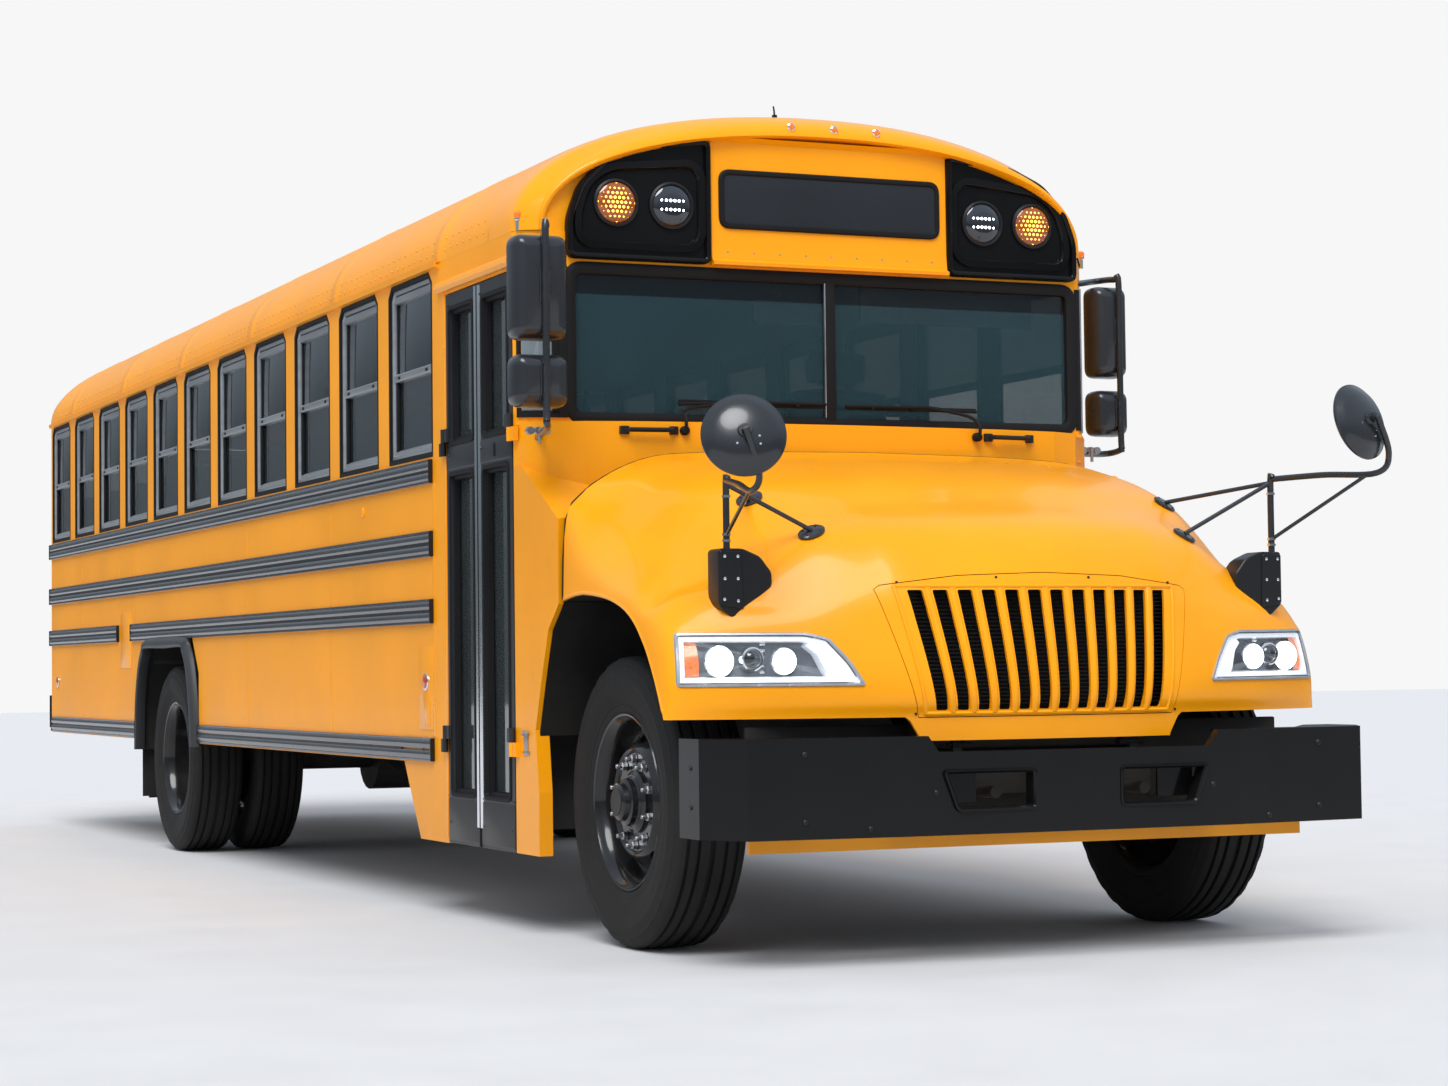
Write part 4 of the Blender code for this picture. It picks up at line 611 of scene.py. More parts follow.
# Hood
hood = {
    "x": (0, 0.25, 0.46, 0.56, 0.70, 0.82, 0.93, 1.04, 1.13, 1.195),
    "rows": [  # y at the middle, sweep back at the side, z at each x, (y, z) of the arch edge
        (-0.905, 0.30, (0.69,) * 10, (-0.622, 0.69)),
        (-0.907, 0.302, (0.765,) * 10, (-0.585, 0.765)),
        (-0.924, 0.318, (0.815,) * 10, (-0.560, 0.815)),
        (-0.920, 0.32, (0.90, 0.90, 0.90, 0.90, 0.90, 0.90, 0.90, 0.90, 0.90, 0.89), (-0.520, 0.885)),
        (-0.890, 0.33, (1.06, 1.06, 1.05, 1.05, 1.05, 1.05, 1.05, 1.045, 1.03, 1.00), (-0.460, 0.970)),
        (-0.845, 0.33, (1.225, 1.22, 1.20, 1.18, 1.16, 1.14, 1.135, 1.125, 1.10, 1.05), (-0.405, 1.028)),
        (-0.720, 0.26, (1.375, 1.37, 1.36, 1.345, 1.32, 1.265, 1.215, 1.175, 1.15, 1.09), (-0.345, 1.078)),
        (
            -0.500, 0.10, (1.47, 1.465, 1.455, 1.445, 1.415, 1.355, 1.265, 1.195, 1.155, 1.112),
            (-0.270, 1.118)
        ),
        (-0.300, 0.02, (1.555, 1.55, 1.54, 1.53, 1.515, 1.485, 1.395, 1.275, 1.215, 1.165), (-0.180, 1.146)),
        (-0.080, 0.0, (1.62, 1.615, 1.605, 1.60, 1.585, 1.565, 1.505, 1.37, 1.285, 1.215), (-0.060, 1.168)),
        (0.120, 0.0, (1.66, 1.657, 1.652, 1.648, 1.638, 1.615, 1.565, 1.465, 1.375, 1.29), (0.120, 1.183)),
        (0.300, -0.05, (1.685, 1.682, 1.678, 1.674, 1.665, 1.65, 1.618, 1.55, 1.475, 1.385), (0.240, 1.175)),
        (0.457, -0.15, (1.70, 1.697, 1.693, 1.69, 1.682, 1.67, 1.64, 1.59, 1.53, 1.44), (0.298, 1.168)),
    ],
    "sideX": 1.212,
    "thickness": 0.010,
    "acrossSteps": 4,
    "alongSteps": 6,
    "grille": [(0.465, 0.762), (0.575, 1.168), (0.555, 1.182), (0.30, 1.212), (0.0, 1.222)],
    "headlight": [
        (1.182, 0.868), (1.170, 1.036), (0.80, 1.032), (0.735, 1.015), (0.675, 0.940), (0.634, 0.866)
    ],
}


def mirrorPlan(half):
    return half + [(-x, z) for x, z in reversed(half) if x > 0]


def hoodGrid():
    rows = []
    for middleY, sweep, heights, edge in hood["rows"]:
        half = [Vector((x, middleY + sweep * (x / 1.2) ** 2.2, z)) for x, z in zip(hood["x"], heights)]
        half.append(Vector((hood["sideX"], *edge)))
        rows.append([Vector((-p.x, p.y, p.z)) for p in reversed(half[1:])] + half)
    fine = [spline(row, hood["acrossSteps"]) for row in rows]
    columns = [spline([row[i] for row in fine], hood["alongSteps"]) for i in range(len(fine[0]))]
    return [[column[k] for column in columns] for k in range(len(columns[0]))]


def hoodSolid(thickness):
    bm = bmesh.new()
    grid = [[bm.verts.new(p) for p in row] for row in hoodGrid()]
    for row, after in zip(grid, grid[1:]):
        for i in range(len(row) - 1):
            bm.faces.new((row[i], row[i + 1], after[i + 1], after[i]))
    bmesh.ops.recalc_face_normals(bm, faces=bm.faces)
    if sum(face.normal.z for face in bm.faces) < 0:
        bmesh.ops.reverse_faces(bm, faces=bm.faces)
    solid = objectFrom(bm, "hoodSolid", recalculate=False)
    shell = solid.modifiers.new("shell", "SOLIDIFY")
    shell.thickness = thickness
    shell.offset = -1
    applyModifiers(solid)
    return solid


hoodSurface = hoodGrid()


# Where the hood's front surface lies at (x, z), from the rows that make up its face
def faceY(x, z):
    best, found = None, -0.9
    for row, after in zip(hoodSurface, hoodSurface[1:]):
        for a, b, c in zip(row, row[1:], after):
            if a.x <= x <= b.x + 1e-6 and min(a.z, c.z) - 0.02 <= z <= max(a.z, c.z) + 0.02:
                t = 0 if abs(c.z - a.z) < 1e-5 else (z - a.z) / (c.z - a.z)
                miss = abs(t - 0.5)
                if best is None or miss < best:
                    best = miss
                    found = a.y + (c.y - a.y) * t + (b.y - a.y) * (x - a.x) / max(1e-5, b.x - a.x)
    return found


def makeHood():
    skin = hoodSolid(hood["thickness"])
    skin.name = "hoodSkin"
    skin.data.materials.append(finishes["paint"])
    bm = bmesh.new()
    addPrism(bm, mirrorPlan(hood["grille"]), "y", -1.2, -0.70)
    cutters = [cutter(bm)]
    for side in (-1, 1):  # leaves the chin standing below the fenders
        bm = bmesh.new()
        below = [
            (0.478, 0.60), (0.455, 0.688), (0.459, 0.700), (0.490, 0.752), (0.506, 0.765), (1.30, 0.765),
            (1.30, 0.60)
        ]
        addPrism(bm, [(side * x, z) for x, z in below], "y", -1.2, -0.30)
        cutters.append(cutter(bm))
    for side in (-1, 1):
        bm = bmesh.new()
        addPrism(bm, filleted([(side * x, z) for x, z in hood["headlight"]], 0.02), "y", -1.2, -0.40)
        cutters.append(cutter(bm))
    solved(skin, cutters)
    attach(skin, "hood")
    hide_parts("hood")

    bm = bmesh.new()  # hinge arms under the nose
    for side in (-1, 1):
        addBox(bm, (side * 0.2875 - 0.0175, -0.878, 0.683), (side * 0.2875 + 0.0175, -0.85, 0.74), 0.004)
        addTurned(bm, [(0.014, -0.0175), (0.014, 0.0175)], (side * 0.2875, -0.85, 0.675), "x", 20)
        addTurned(bm, [(0.007, -0.045), (0.007, 0.045)], (side * 0.31, -0.85, 0.675), "x", 12)
    finishPiece("hoodHinges", bm, "chassis", "hood")

    bm = bmesh.new()  # rolled edge around each wheel arch
    for side in (-1, 1):
        edge = [(side * 1.206, row[-1].y, row[-1].z) for row in hoodSurface[::3] if row[-1].z > 0.767]
        addTube(bm, edge, 0.008, 8, 1)
    finishPiece("archLips", bm, "paint", "hood")
    bm = bmesh.new()  # dark liners inside the arches
    middle = Vector((0, 0.0, 0.485))
    for side in (-1, 1):
        edge = [Vector((0, row[-1].y, row[-1].z)) for row in hoodSurface[::3] if row[-1].z > 0.767]
        line = [p + (middle - p).normalized() * 0.010 for p in edge]
        addSheet(bm, [[(side * x, p.y, p.z) for p in line] for x in (0.68, 1.203)])
        line = [p + (middle - p).normalized() * 0.004 for p in edge]
        addSheet(bm, [[(side * x, p.y, p.z) for p in line] for x in (1.203, 0.68)])
    finishPiece("hoodLiners", bm, "chassis", "hood")
    bm = bmesh.new()  # seal on the hood's rear edge
    addTube(bm, [(p.x, p.y + 0.001, p.z - 0.003) for p in hoodSurface[-1][::2]], 0.0045, 8, 1)
    finishPiece("hoodSeal", bm, "gasket", "hood")
    print("hood skin made")


grille = {
    "slots": 12,
    "pitch": (0.0815, 0.0705),  # at the top and at the foot
    "width": (0.050, 0.043),
    "z": (0.785, 1.165),
    "barRadius": 0.0145,
    "barProud": 0.004,
    "seam": 0.0025,
}


def makeGrille():
    panel = hoodSolid(hood["thickness"])
    panel.name = "grillePanel"
    panel.data.materials.append(finishes["paint"])
    bm = bmesh.new()
    addPrism(bm, inset(mirrorPlan(hood["grille"]), grille["seam"]), "y", -1.2, -0.70)
    solved(panel, [cutter(bm)], "INTERSECT")
    low, high = grille["z"]
    bm = bmesh.new()
    for i in range(grille["slots"]):
        place = i - (grille["slots"] - 1) / 2
        top, foot = place * grille["pitch"][0], place * grille["pitch"][1]
        wide, narrow = grille["width"][0] / 2, grille["width"][1] / 2
        slot = filleted(
            [(foot - narrow, low), (foot + narrow, low), (top + wide, high), (top - wide, high)], 0.007, 3
        )
        addPrism(bm, slot, "y", -1.2, -0.70)
    solved(panel, [cutter(bm)])
    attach(panel, "hood")
    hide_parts("grille")

    bm = bmesh.new()  # rounded bars between the slots
    for i in range(1, grille["slots"]):
        place = i - grille["slots"] / 2
        line = []
        for k in range(9):
            t = k / 8
            z = low - 0.004 + (high - low + 0.008) * t
            x = place * (grille["pitch"][1] + (grille["pitch"][0] - grille["pitch"][1]) * t)
            line.append((x, faceY(x, z) - grille["barProud"] + 0.012, z))
        addTube(bm, line, grille["barRadius"], 14, 2)
    finishPiece("grilleBars", bm, "paint", "hood")

    bm = bmesh.new()  # raised bead around the slots
    for points in (
        [(-0.512, high + 0.012), (0.512, high + 0.012)], [(-0.442, low - 0.010), (0.442, low - 0.010)]
    ):
        (x0, z0), (x1, z1) = points
        line = [(x0 + (x1 - x0) * k / 20, z0 + (z1 - z0) * k / 20) for k in range(21)]
        addTube(bm, [(x, faceY(x, z) + 0.002, z) for x, z in line], 0.008, 8, 1)
    for side in (-1, 1):
        line = [
            (side * (0.442 + 0.070 * k / 8), low - 0.010 + (high - low + 0.022) * k / 8) for k in range(9)
        ]
        addTube(bm, [(x, faceY(x, z) + 0.002, z) for x, z in line], 0.008, 8, 1)
    finishPiece("grilleBead", bm, "paint", "hood")

    bm = bmesh.new()  # dark cores behind the slots
    for level in range(30):
        z = 0.80 + level * 0.0125
        addBox(bm, (-0.50, -0.800, z), (0.50, -0.790, z + 0.004))
    addBox(bm, (-0.52, -0.788, 0.78), (0.52, -0.775, 1.185), 0.004)
    finishPiece("radiatorCore", bm, "chassis", "hood")

    bm = bmesh.new()
    for x, z in ((-0.50, 1.19), (0.50, 1.19), (-0.475, 0.775), (0.475, 0.775), (-0.17, 1.205), (0.17, 1.205)):
        addTurned(bm, [(0.0045, -0.002), (0.004, 0.0), (0.0, 0.001)], (x, faceY(x, z) - 0.001, z), "y", 10)
    finishPiece("grilleScrews", bm, "satinBlack", "hood")
    print("grille made")


headlight = {
    "depth": 0.060,
    "rim": 0.008,
    "guide": 0.030,
    "lamps": [(1.052, 0.946, 0.047), (0.868, 0.944, 0.040)],  # x, z and radius of the lit reflectors
    "projector": (0.958, 0.952, 0.033),
    "amberX": (1.108, 1.150),
    "wedge": [
        (0.775, 1.016), (0.742, 1.006), (0.690, 0.938), (0.660, 0.888), (0.735, 0.888), (0.747, 0.905),
        (0.772, 0.965), (0.800, 0.990)
    ],
}


def onFace(outline, offset):
    return [(x, faceY(abs(x), z) + offset, z) for x, z in outline]


def faceSheet(bm, outline, offset, middle):
    edge = [bm.verts.new(p) for p in onFace(outline, offset)]
    centre = bm.verts.new(onFace([middle], offset)[0])
    for i, vert in enumerate(edge):
        bm.faces.new((vert, edge[(i + 1) % len(edge)], centre))


def makeHeadlights():
    for name, side in sides:
        outline = filleted([(side * x, z) for x, z in hood["headlight"]], 0.014)
        fine = []
        for a, b in zip(outline, outline[1:] + outline[:1]):
            count = max(1, int(math.dist(a, b) / 0.03))
            fine += [
                (a[0] + (b[0] - a[0]) * k / count, a[1] + (b[1] - a[1]) * k / count) for k in range(count)
            ]
        bm = bmesh.new()  # bowl
        deep = onFace(inset(fine, 0.010), headlight["depth"])
        addLoft(bm, [onFace(inset(fine, 0.003), 0.004), deep], closedEnds=False)
        faceSheet(bm, inset(fine, 0.010), headlight["depth"], (side * 0.90, 0.95))
        bowl = finishPiece("headlightBowl." + name, bm, "smokedChrome", "hood")
        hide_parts("headlight_" + name)

        bm = bmesh.new()  # outer rim
        rimWidth = headlight["rim"]
        sections = ((-0.002, 0.001), (0.0, -0.006), (rimWidth - 0.002, -0.006), (rimWidth, 0.004))
        addLoft(bm, [onFace(inset(fine, amount), off) for amount, off in sections], closedEnds=False)
        finishPiece("headlightRim." + name, bm, "rimGrey", "hood")

        bm = bmesh.new()  # light guide all round and its wedge at the inner end
        guide = headlight["guide"]
        sections = (
            (rimWidth + 0.002, 0.012), (rimWidth + 0.004, 0.004), (guide - 0.004, 0.007),
            (guide - 0.002, 0.016), (guide, 0.034)
        )
        addLoft(bm, [onFace(inset(fine, amount), off) for amount, off in sections], closedEnds=False)
        wedge = [(side * x, z) for x, z in headlight["wedge"]]
        faceSheet(bm, wedge, 0.006, (side * 0.715, 0.925))
        rings = [onFace(wedge, 0.006), onFace(wedge, 0.050)]
        addLoft(bm, rings, closedEnds=False)
        finishPiece("headlightGuide." + name, bm, "guideWhite", "hood")

        bright, lit = bmesh.new(), bmesh.new()  # reflectors with their lit centres
        for x, z, radius in headlight["lamps"]:
            y = faceY(x, z)
            profile = [
                (radius + 0.004, 0.014), (radius + 0.001, 0.008), (radius * 0.8, 0.030),
                (radius * 0.45, 0.046), (0.002, 0.050), (0.002, 0.054), (radius * 0.5, 0.050),
                (radius * 0.85, 0.036)
            ]
            addTurned(bright, profile, (side * x, y, z), "y", 32, closed=True)
            addTurned(
                lit, [(radius * 0.80, 0.026), (radius * 0.62, 0.014), (radius * 0.3, 0.008), (0.0, 0.006)],
                (side * x, y, z), "y", 28
            )
        x, z, radius = headlight["projector"]
        y = faceY(x, z)
        addTurned(
            bright,
            [(radius + 0.005, 0.030), (radius + 0.005, 0.008), (radius, 0.006), (radius - 0.003, 0.012)],
            (side * x, y, z), "y", 32
        )
        for k in range(5):  # fluted strip between the lamps
            level = 0.905 + 0.022 * k
            addBox(bright, (side * 0.905, y + 0.030, level), (side * 0.925, y + 0.040, level + 0.012), 0.003)
        finishPiece("headlightReflectors." + name, bright, "chrome", "hood")
        finishPiece("headlightGlow." + name, lit, "whiteGlow", "hood")
        bm = bmesh.new()
        addTurned(
            bm, [(radius - 0.002, 0.016), (radius * 0.7, 0.004), (radius * 0.35, -0.001), (0.0, -0.003)],
            (side * x, y, z), "y", 28
        )
        finishPiece("projectorLens." + name, bm, "darkLens", "hood")

        bm = bmesh.new()  # amber turn signal at the outer end
        across = [
            headlight["amberX"][0] + (headlight["amberX"][1] - headlight["amberX"][0]) * k / 4
            for k in range(5)
        ]
        rows = [(0.899, 0.026), (0.925, 0.016), (0.95, 0.014), (0.98, 0.016), (1.006, 0.026)]
        lines = [[(side * xx, faceY(xx, z) + off, z) for xx in across] for z, off in rows]
        addSheet(bm, lines)
        finishPiece("headlightAmber." + name, bm, "amberLens", "hood")

        bm = bmesh.new()  # clear cover
        rings = [
            onFace(inset(fine, amount), off)
            for amount, off in ((rimWidth - 0.001, 0.002), (rimWidth + 0.003, -0.003), (0.03, -0.005))
        ]
        addLoft(bm, rings, closedEnds=False)
        faceSheet(bm, inset(fine, 0.03), -0.005, (side * 0.92, 0.95))
        finishPiece("headlightCover." + name, bm, "clearLens", "hood")
    print("headlights made")


# Roof and end caps
roof = {
    "halfWidth": 1.22,
    "innerHalfWidth": 1.175,
    "power": 2.2,
    "rise": 0.50,
    "skinDrop": 0.004,  # how far the skin's crown lies under the rise
    "thickness": 0.05,
    "eaveZ": 2.49,
    "count": 49,
    "frontY": 0.69,
    "backY": 9.495,
    "capLength": 0.33,
    "firstBow": 1.61,
    "bowPitch": 1.425,
    "bowStep": [(-0.10, 0.0), (-0.034, 0.0), (-0.028, 0.002), (0.028, 0.002), (0.034, 0.0), (0.10, 0.0)],
    "dripRail": [
        (1.218, 2.470), (1.238, 2.474), (1.240, 2.496), (1.234, 2.498), (1.232, 2.482), (1.218, 2.482)
    ],
    "dripRailY": {"right": (1.60, 9.40), "left": (1.02, 9.40)},
    "rivetZ": (2.53, 2.575),
    "rivetPitch": 0.075,
}
cornerDepth = {"driver": 0.25, "door": 0.075}
cornerWidth = 0.16


def cornerX(into, depth):
    left = 1 - min(into, depth) / depth
    if depth == cornerDepth["driver"]:
        return roof["halfWidth"] - cornerWidth * left
    return roof["halfWidth"] - cornerWidth * (1 - math.sqrt(max(0.0, 1 - left * left)))


def roofArch(y, widths, rise, proud=0.0):
    points = []
    for i in range(roof["count"]):
        turn = math.pi * i / (roof["count"] - 1)
        c, s = math.cos(turn), math.sin(turn)
        x = widths[c < 0] * math.copysign(abs(c) ** (2 / roof["power"]), c)
        z = roof["eaveZ"] + rise * abs(s) ** (2 / roof["power"])
        points.append((x + proud * c, y, z + proud * s))
    return points


def makeRoof():
    start, end = roof["frontY"] + roof["capLength"], roof["backY"] - roof["capLength"]
    rise = roof["rise"] - roof["skinDrop"]
    stations = [(start, 0.0)]
    bow = roof["firstBow"]
    while bow < end - 0.05:
        stations += [(bow + along, proud) for along, proud in roof["bowStep"]]
        bow += roof["bowPitch"]
    stations.append((end, 0.0))
    bm = bmesh.new()
    outer = [roofArch(y, [roof["halfWidth"]] * 2, rise, proud) for y, proud in stations]
    addSheet(bm, outer)
    inner = [
        roofArch(y, [roof["innerHalfWidth"]] * 2, roof["rise"] - roof["thickness"]) for y in (end, start)
    ]
    addSheet(bm, inner)
    skin = finishPiece("roofSkin", bm, "roof")
    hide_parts("roof")

    bm = bmesh.new()  # drip rails over the windows
    for name, side in sides:
        addPrism(bm, [(side * x, z) for x, z in roof["dripRail"]], "y", *roof["dripRailY"][name])
    finishPiece("dripRails", bm, "paint")

    bm = bmesh.new()  # rivets
    for name, side in sides:
        y = start + 0.06
        while y < end:
            for z in roof["rivetZ"]:
                height = (z - roof["eaveZ"]) / rise
                x = roof["halfWidth"] * (1 - height ** roof["power"]) ** (1 / roof["power"]) + 0.0005
                addTurned(bm, [(0.005, 0.0), (0.004, 0.0025), (0.0, 0.003)], (side * x, y, z), "x", 8, side)
            y += roof["rivetPitch"]
    finishPiece("roofRivets", bm, "paint")
    print("roof made")


caps = {  # stations: depth into the body from its face, and drop of the crown
    "front": [
        (-0.052, 0.105), (-0.050, 0.092), (-0.040, 0.074), (-0.022, 0.056), (0.0, 0.042), (0.03, 0.027),
        (0.07, 0.015), (0.12, 0.008), (0.18, 0.004), (0.25, 0.001), (0.335, 0.0),
    ],
    "rear": [
        (0.0, 0.110), (0.004, 0.094), (0.016, 0.074), (0.035, 0.055), (0.06, 0.038), (0.09, 0.025),
        (0.13, 0.014), (0.18, 0.006), (0.25, 0.002), (0.335, 0.0),
    ],
    "lip": ((0.014, 0.010), (0.020, 0.040), (0.022, 0.060)),  # how far the lip shrinks and turns back
    "blend": 0.25,  # height over which the sides take on the crown's shape
}


def makeCaps():
    def upShare(z):
        return min(1.0, max(0.0, (z - roof["eaveZ"]) / caps["blend"]))

    for ending, faceAt, way in (("front", roof["frontY"], 1), ("rear", roof["backY"], -1)):
        depths = (cornerDepth["driver" if ending == "front" else "door"], cornerDepth["door"])
        bm = bmesh.new()
        rings = []
        for into, drop in caps[ending]:
            widths = [cornerX(max(0, into) + 0.012, depth) for depth in depths]
            ring = roofArch(faceAt, widths, roof["rise"] - roof["skinDrop"] - drop)
            ahead = [into if into > 0 else into * upShare(z) for x, y, z in ring]
            rings.append([(x, faceAt + way * step, z) for (x, y, z), step in zip(ring, ahead)])
        addSheet(bm, rings)
        under = []  # the lip turns back to the face below it
        for shrink, back in caps["lip"]:
            turned = []
            for x, y, z in rings[0]:
                high = upShare(z)
                turned.append((x * (1 - shrink), y + way * back * high, z - shrink * 0.4 * high))
            under.append(turned)
        addSheet(bm, [rings[0]] + under)
        face = [bm.verts.new(p) for p in under[-1]]
        foot = [bm.verts.new((p[0], p[1], roof["eaveZ"] - 0.003)) for p in under[-1]]
        for i in range(len(face) - 1):
            bm.faces.new((face[i], face[i + 1], foot[i + 1], foot[i]))
        bmesh.ops.remove_doubles(bm, verts=bm.verts, dist=0.0004)
        skin = finishPiece(ending + "CapSkin", bm, "roof" if ending == "rear" else "paint", angle=50)
        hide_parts(ending + "_cap")
    print("caps made")


# Warning lamps, sign and markers
lamps = {
    "panel": [
        (0.485, 2.392), (1.045, 2.392), (1.045, 2.54), (1.00, 2.66), (0.90, 2.76), (0.76, 2.82), (0.485, 2.85)
    ],
    "hollow": [(0.535, 2.462), (0.985, 2.462), (0.985, 2.56), (0.95, 2.66), (0.87, 2.715), (0.535, 2.745)],
    "x": (0.639, 0.855),  # inner and outer
    "z": 2.600,
    "radius": 0.080,
    "faceY": 0.690,
    "proud": 0.034,
}


def addLamp(bmBezel, bmLens, bmGlow, x, z, y, way, lit):
    r = lamps["radius"]
    addTurned(
        bmBezel,
        [(r + 0.006, 0.0), (r + 0.006, way * 0.014), (r - 0.002, way * 0.018), (r - 0.006, way * 0.012)],
        (x, y, z), "y", 40
    )
    addTurned(
        bmLens,
        [(r - 0.004, way * 0.010), (r * 0.85, way * 0.017), (r * 0.5, way * 0.022), (0.0, way * 0.024)],
        (x, y, z), "y", 40
    )
    pitch = 0.0165
    for row in range(-4, 5):
        for column in range(-4, 5):
            u, v = column * pitch + (row % 2) * pitch / 2, row * pitch
            if math.hypot(u, v) > r - 0.014 or not lit(u, v):
                continue
            dome = way * (0.024 - 0.0145 * (math.hypot(u, v) / r) ** 2)
            profile = [
                (0.0062, dome - way * 0.002), (0.0050, dome + way * 0.0015), (0.0, dome + way * 0.0028)
            ]
            addTurned(bmGlow, profile, (x + u, y, z + v), "y", 8)


def makeFrontLamps():
    way = -1
    for name, side in sides:
        outline = filleted([(side * x, z) for x, z in lamps["panel"]], 0.035, 5)
        hollow = filleted([(side * x, z) for x, z in lamps["hollow"]], 0.06, 6)
        y = lamps["faceY"]
        bm = bmesh.new()  # moulded housing with a hollow around the two lamps
        addFrame(
            bm, outline,
            [
                (0.0, y + 0.004), (0.0, y - 0.026), (0.006, y - lamps["proud"]), (0.012, y - lamps["proud"]),
                (0.020, y - 0.028), (0.020, y + 0.004)
            ],
            "y"
        )
        addFrame(
            bm, hollow,
            [
                (-0.030, y - 0.024), (-0.006, y - 0.026), (0.0, y - 0.020), (0.006, y - 0.006),
                (0.012, y + 0.004), (-0.030, y + 0.004)
            ],
            "y"
        )
        addPrism(bm, inset(outline, 0.010), "y", y - 0.012, y + 0.002)
        body = finishPiece("lampHousing." + name, bm, "glossBlack", angle=40)
        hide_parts("warning_lamps_" + name)
        bezel, lensAmber, lensDark, amber, white = (bmesh.new() for k in range(5))
        outer, inner = lamps["x"][1] * side, lamps["x"][0] * side
        addLamp(bezel, lensAmber, amber, outer, lamps["z"], y - 0.008, way, lambda u, v: True)
        addLamp(
            bezel, lensDark, white, inner, lamps["z"], y - 0.008, way, lambda u,
            v: 0.010 < abs(v) < 0.022 and abs(u) < 0.050
        )
        finishPiece("lampBezels." + name, bezel, "satinBlack")
        finishPiece("amberLens." + name, lensAmber, "smokedAmber")
        finishPiece("clearLampLens." + name, lensDark, "darkLens")
        finishPiece("amberDiodes." + name, amber, "amberGlow")
        finishPiece("whiteDiodes." + name, white, "whiteGlow")
    print("front warning lamps made")


sign = {"x": 0.453, "z": (2.527, 2.745), "panelX": 0.483, "y": 0.690}


def makeSign():
    y = sign["y"]
    bm = bmesh.new()  # the yellow centre panel with its folded foot
    section = [
        (y + 0.002, 2.392), (y - 0.040, 2.392), (y - 0.043, 2.404), (y - 0.024, 2.414), (y - 0.018, 2.47),
        (y - 0.016, 2.845), (y - 0.036, 2.862), (y + 0.002, 2.866)
    ]
    addPrism(bm, section, "x", -sign["panelX"], sign["panelX"])
    finishPiece("signSurround", bm, "paint")
    outline = filleted(rectangle((-sign["x"], sign["x"]), sign["z"]), 0.045, 6)
    bm = bmesh.new()
    addFrame(
        bm, outline,
        [
            (0.0, y - 0.010), (0.0, y - 0.024), (0.006, y - 0.029), (0.016, y - 0.029), (0.022, y - 0.022),
            (0.022, y - 0.010)
        ],
        "y"
    )
    finishPiece("signGasket", bm, "gasket")
    bm = bmesh.new()
    corners = rectangle((-sign["x"], sign["x"]), sign["z"])
    addLoft(
        bm, roundedSteps(corners, ((0.018, y - 0.016), (0.020, y - 0.0225), (0.06, y - 0.0230)), "y", 0.045)
    )
    plate = finishPiece("signPlate", bm, "signBlack")
    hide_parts("sign_panel")
    bm = bmesh.new()
    for k in range(9):
        addTurned(
            bm, [(0.005, 0.0), (0.004, -0.002), (0.0, -0.003)], (-0.42 + 0.105 * k, y - 0.0195, 2.44), "y", 8
        )
    finishPiece("signScrews", bm, "steel")

    bm, base = bmesh.new(), bmesh.new()  # three marker lamps on the brow and one on each side
    for x in (-0.17, 0.005, 0.18):
        centre = (x, y - 0.042, 2.912)
        addTurned(base, [(0.016, 0.004), (0.016, -0.006), (0.012, -0.009)], centre, "y", 16)
        addTurned(bm, [(0.011, -0.007), (0.009, -0.014), (0.0, -0.017)], centre, "y", 16)
    for at in ((-1.195, 0.735, 2.545), (1.235, 0.95, 2.545)):
        outward = -0.012 if at[0] < 0 else 0.0
        addTurned(
            base, [(0.008, -0.055), (0.008, -0.020), (0.013, -0.016), (0.013, -0.010)],
            (at[0] + outward, at[1], at[2]), "z", 16
        )
        addTurned(
            bm, [(0.0135, -0.010), (0.0135, 0.008), (0.008, 0.014), (0.0, 0.015)],
            (at[0] + outward, at[1], at[2]), "z", 16
        )
    finishPiece("markerBases", base, "chrome")
    finishPiece("markerLamps", bm, "amberLens")

    bm = bmesh.new()
    addTube(bm, [(-0.165, 0.80, 2.968), (-0.165, 0.80, 2.984)], 0.010, 12, 1)
    addTube(bm, [(-0.165, 0.80, 2.98), (-0.166, 0.801, 3.00), (-0.168, 0.803, 3.018)], (0.004, 0.003), 8, 2)
    finishPiece("antennaBase", bm, "satinBlack")
    print("sign and markers made")


# Windows
windows = {
    "firstY": 1.70,
    "pitch": 0.7125,
    "width": 0.535,
    "count": 11,
    "z": (1.765, 2.455),
    "chamfer": 0.035,
    "meetingZ": 2.10,
    "glassX": 1.190,  # outer face of the panes
    "driver": (1.00, 0.58),
}


def windowOutline(start, width):
    low, high = windows["z"]
    cut = windows["chamfer"]
    end = start + width
    return [
        (start, low), (end, low), (end, high - cut), (end - cut, high), (start + cut, high),
        (start, high - cut)
    ]


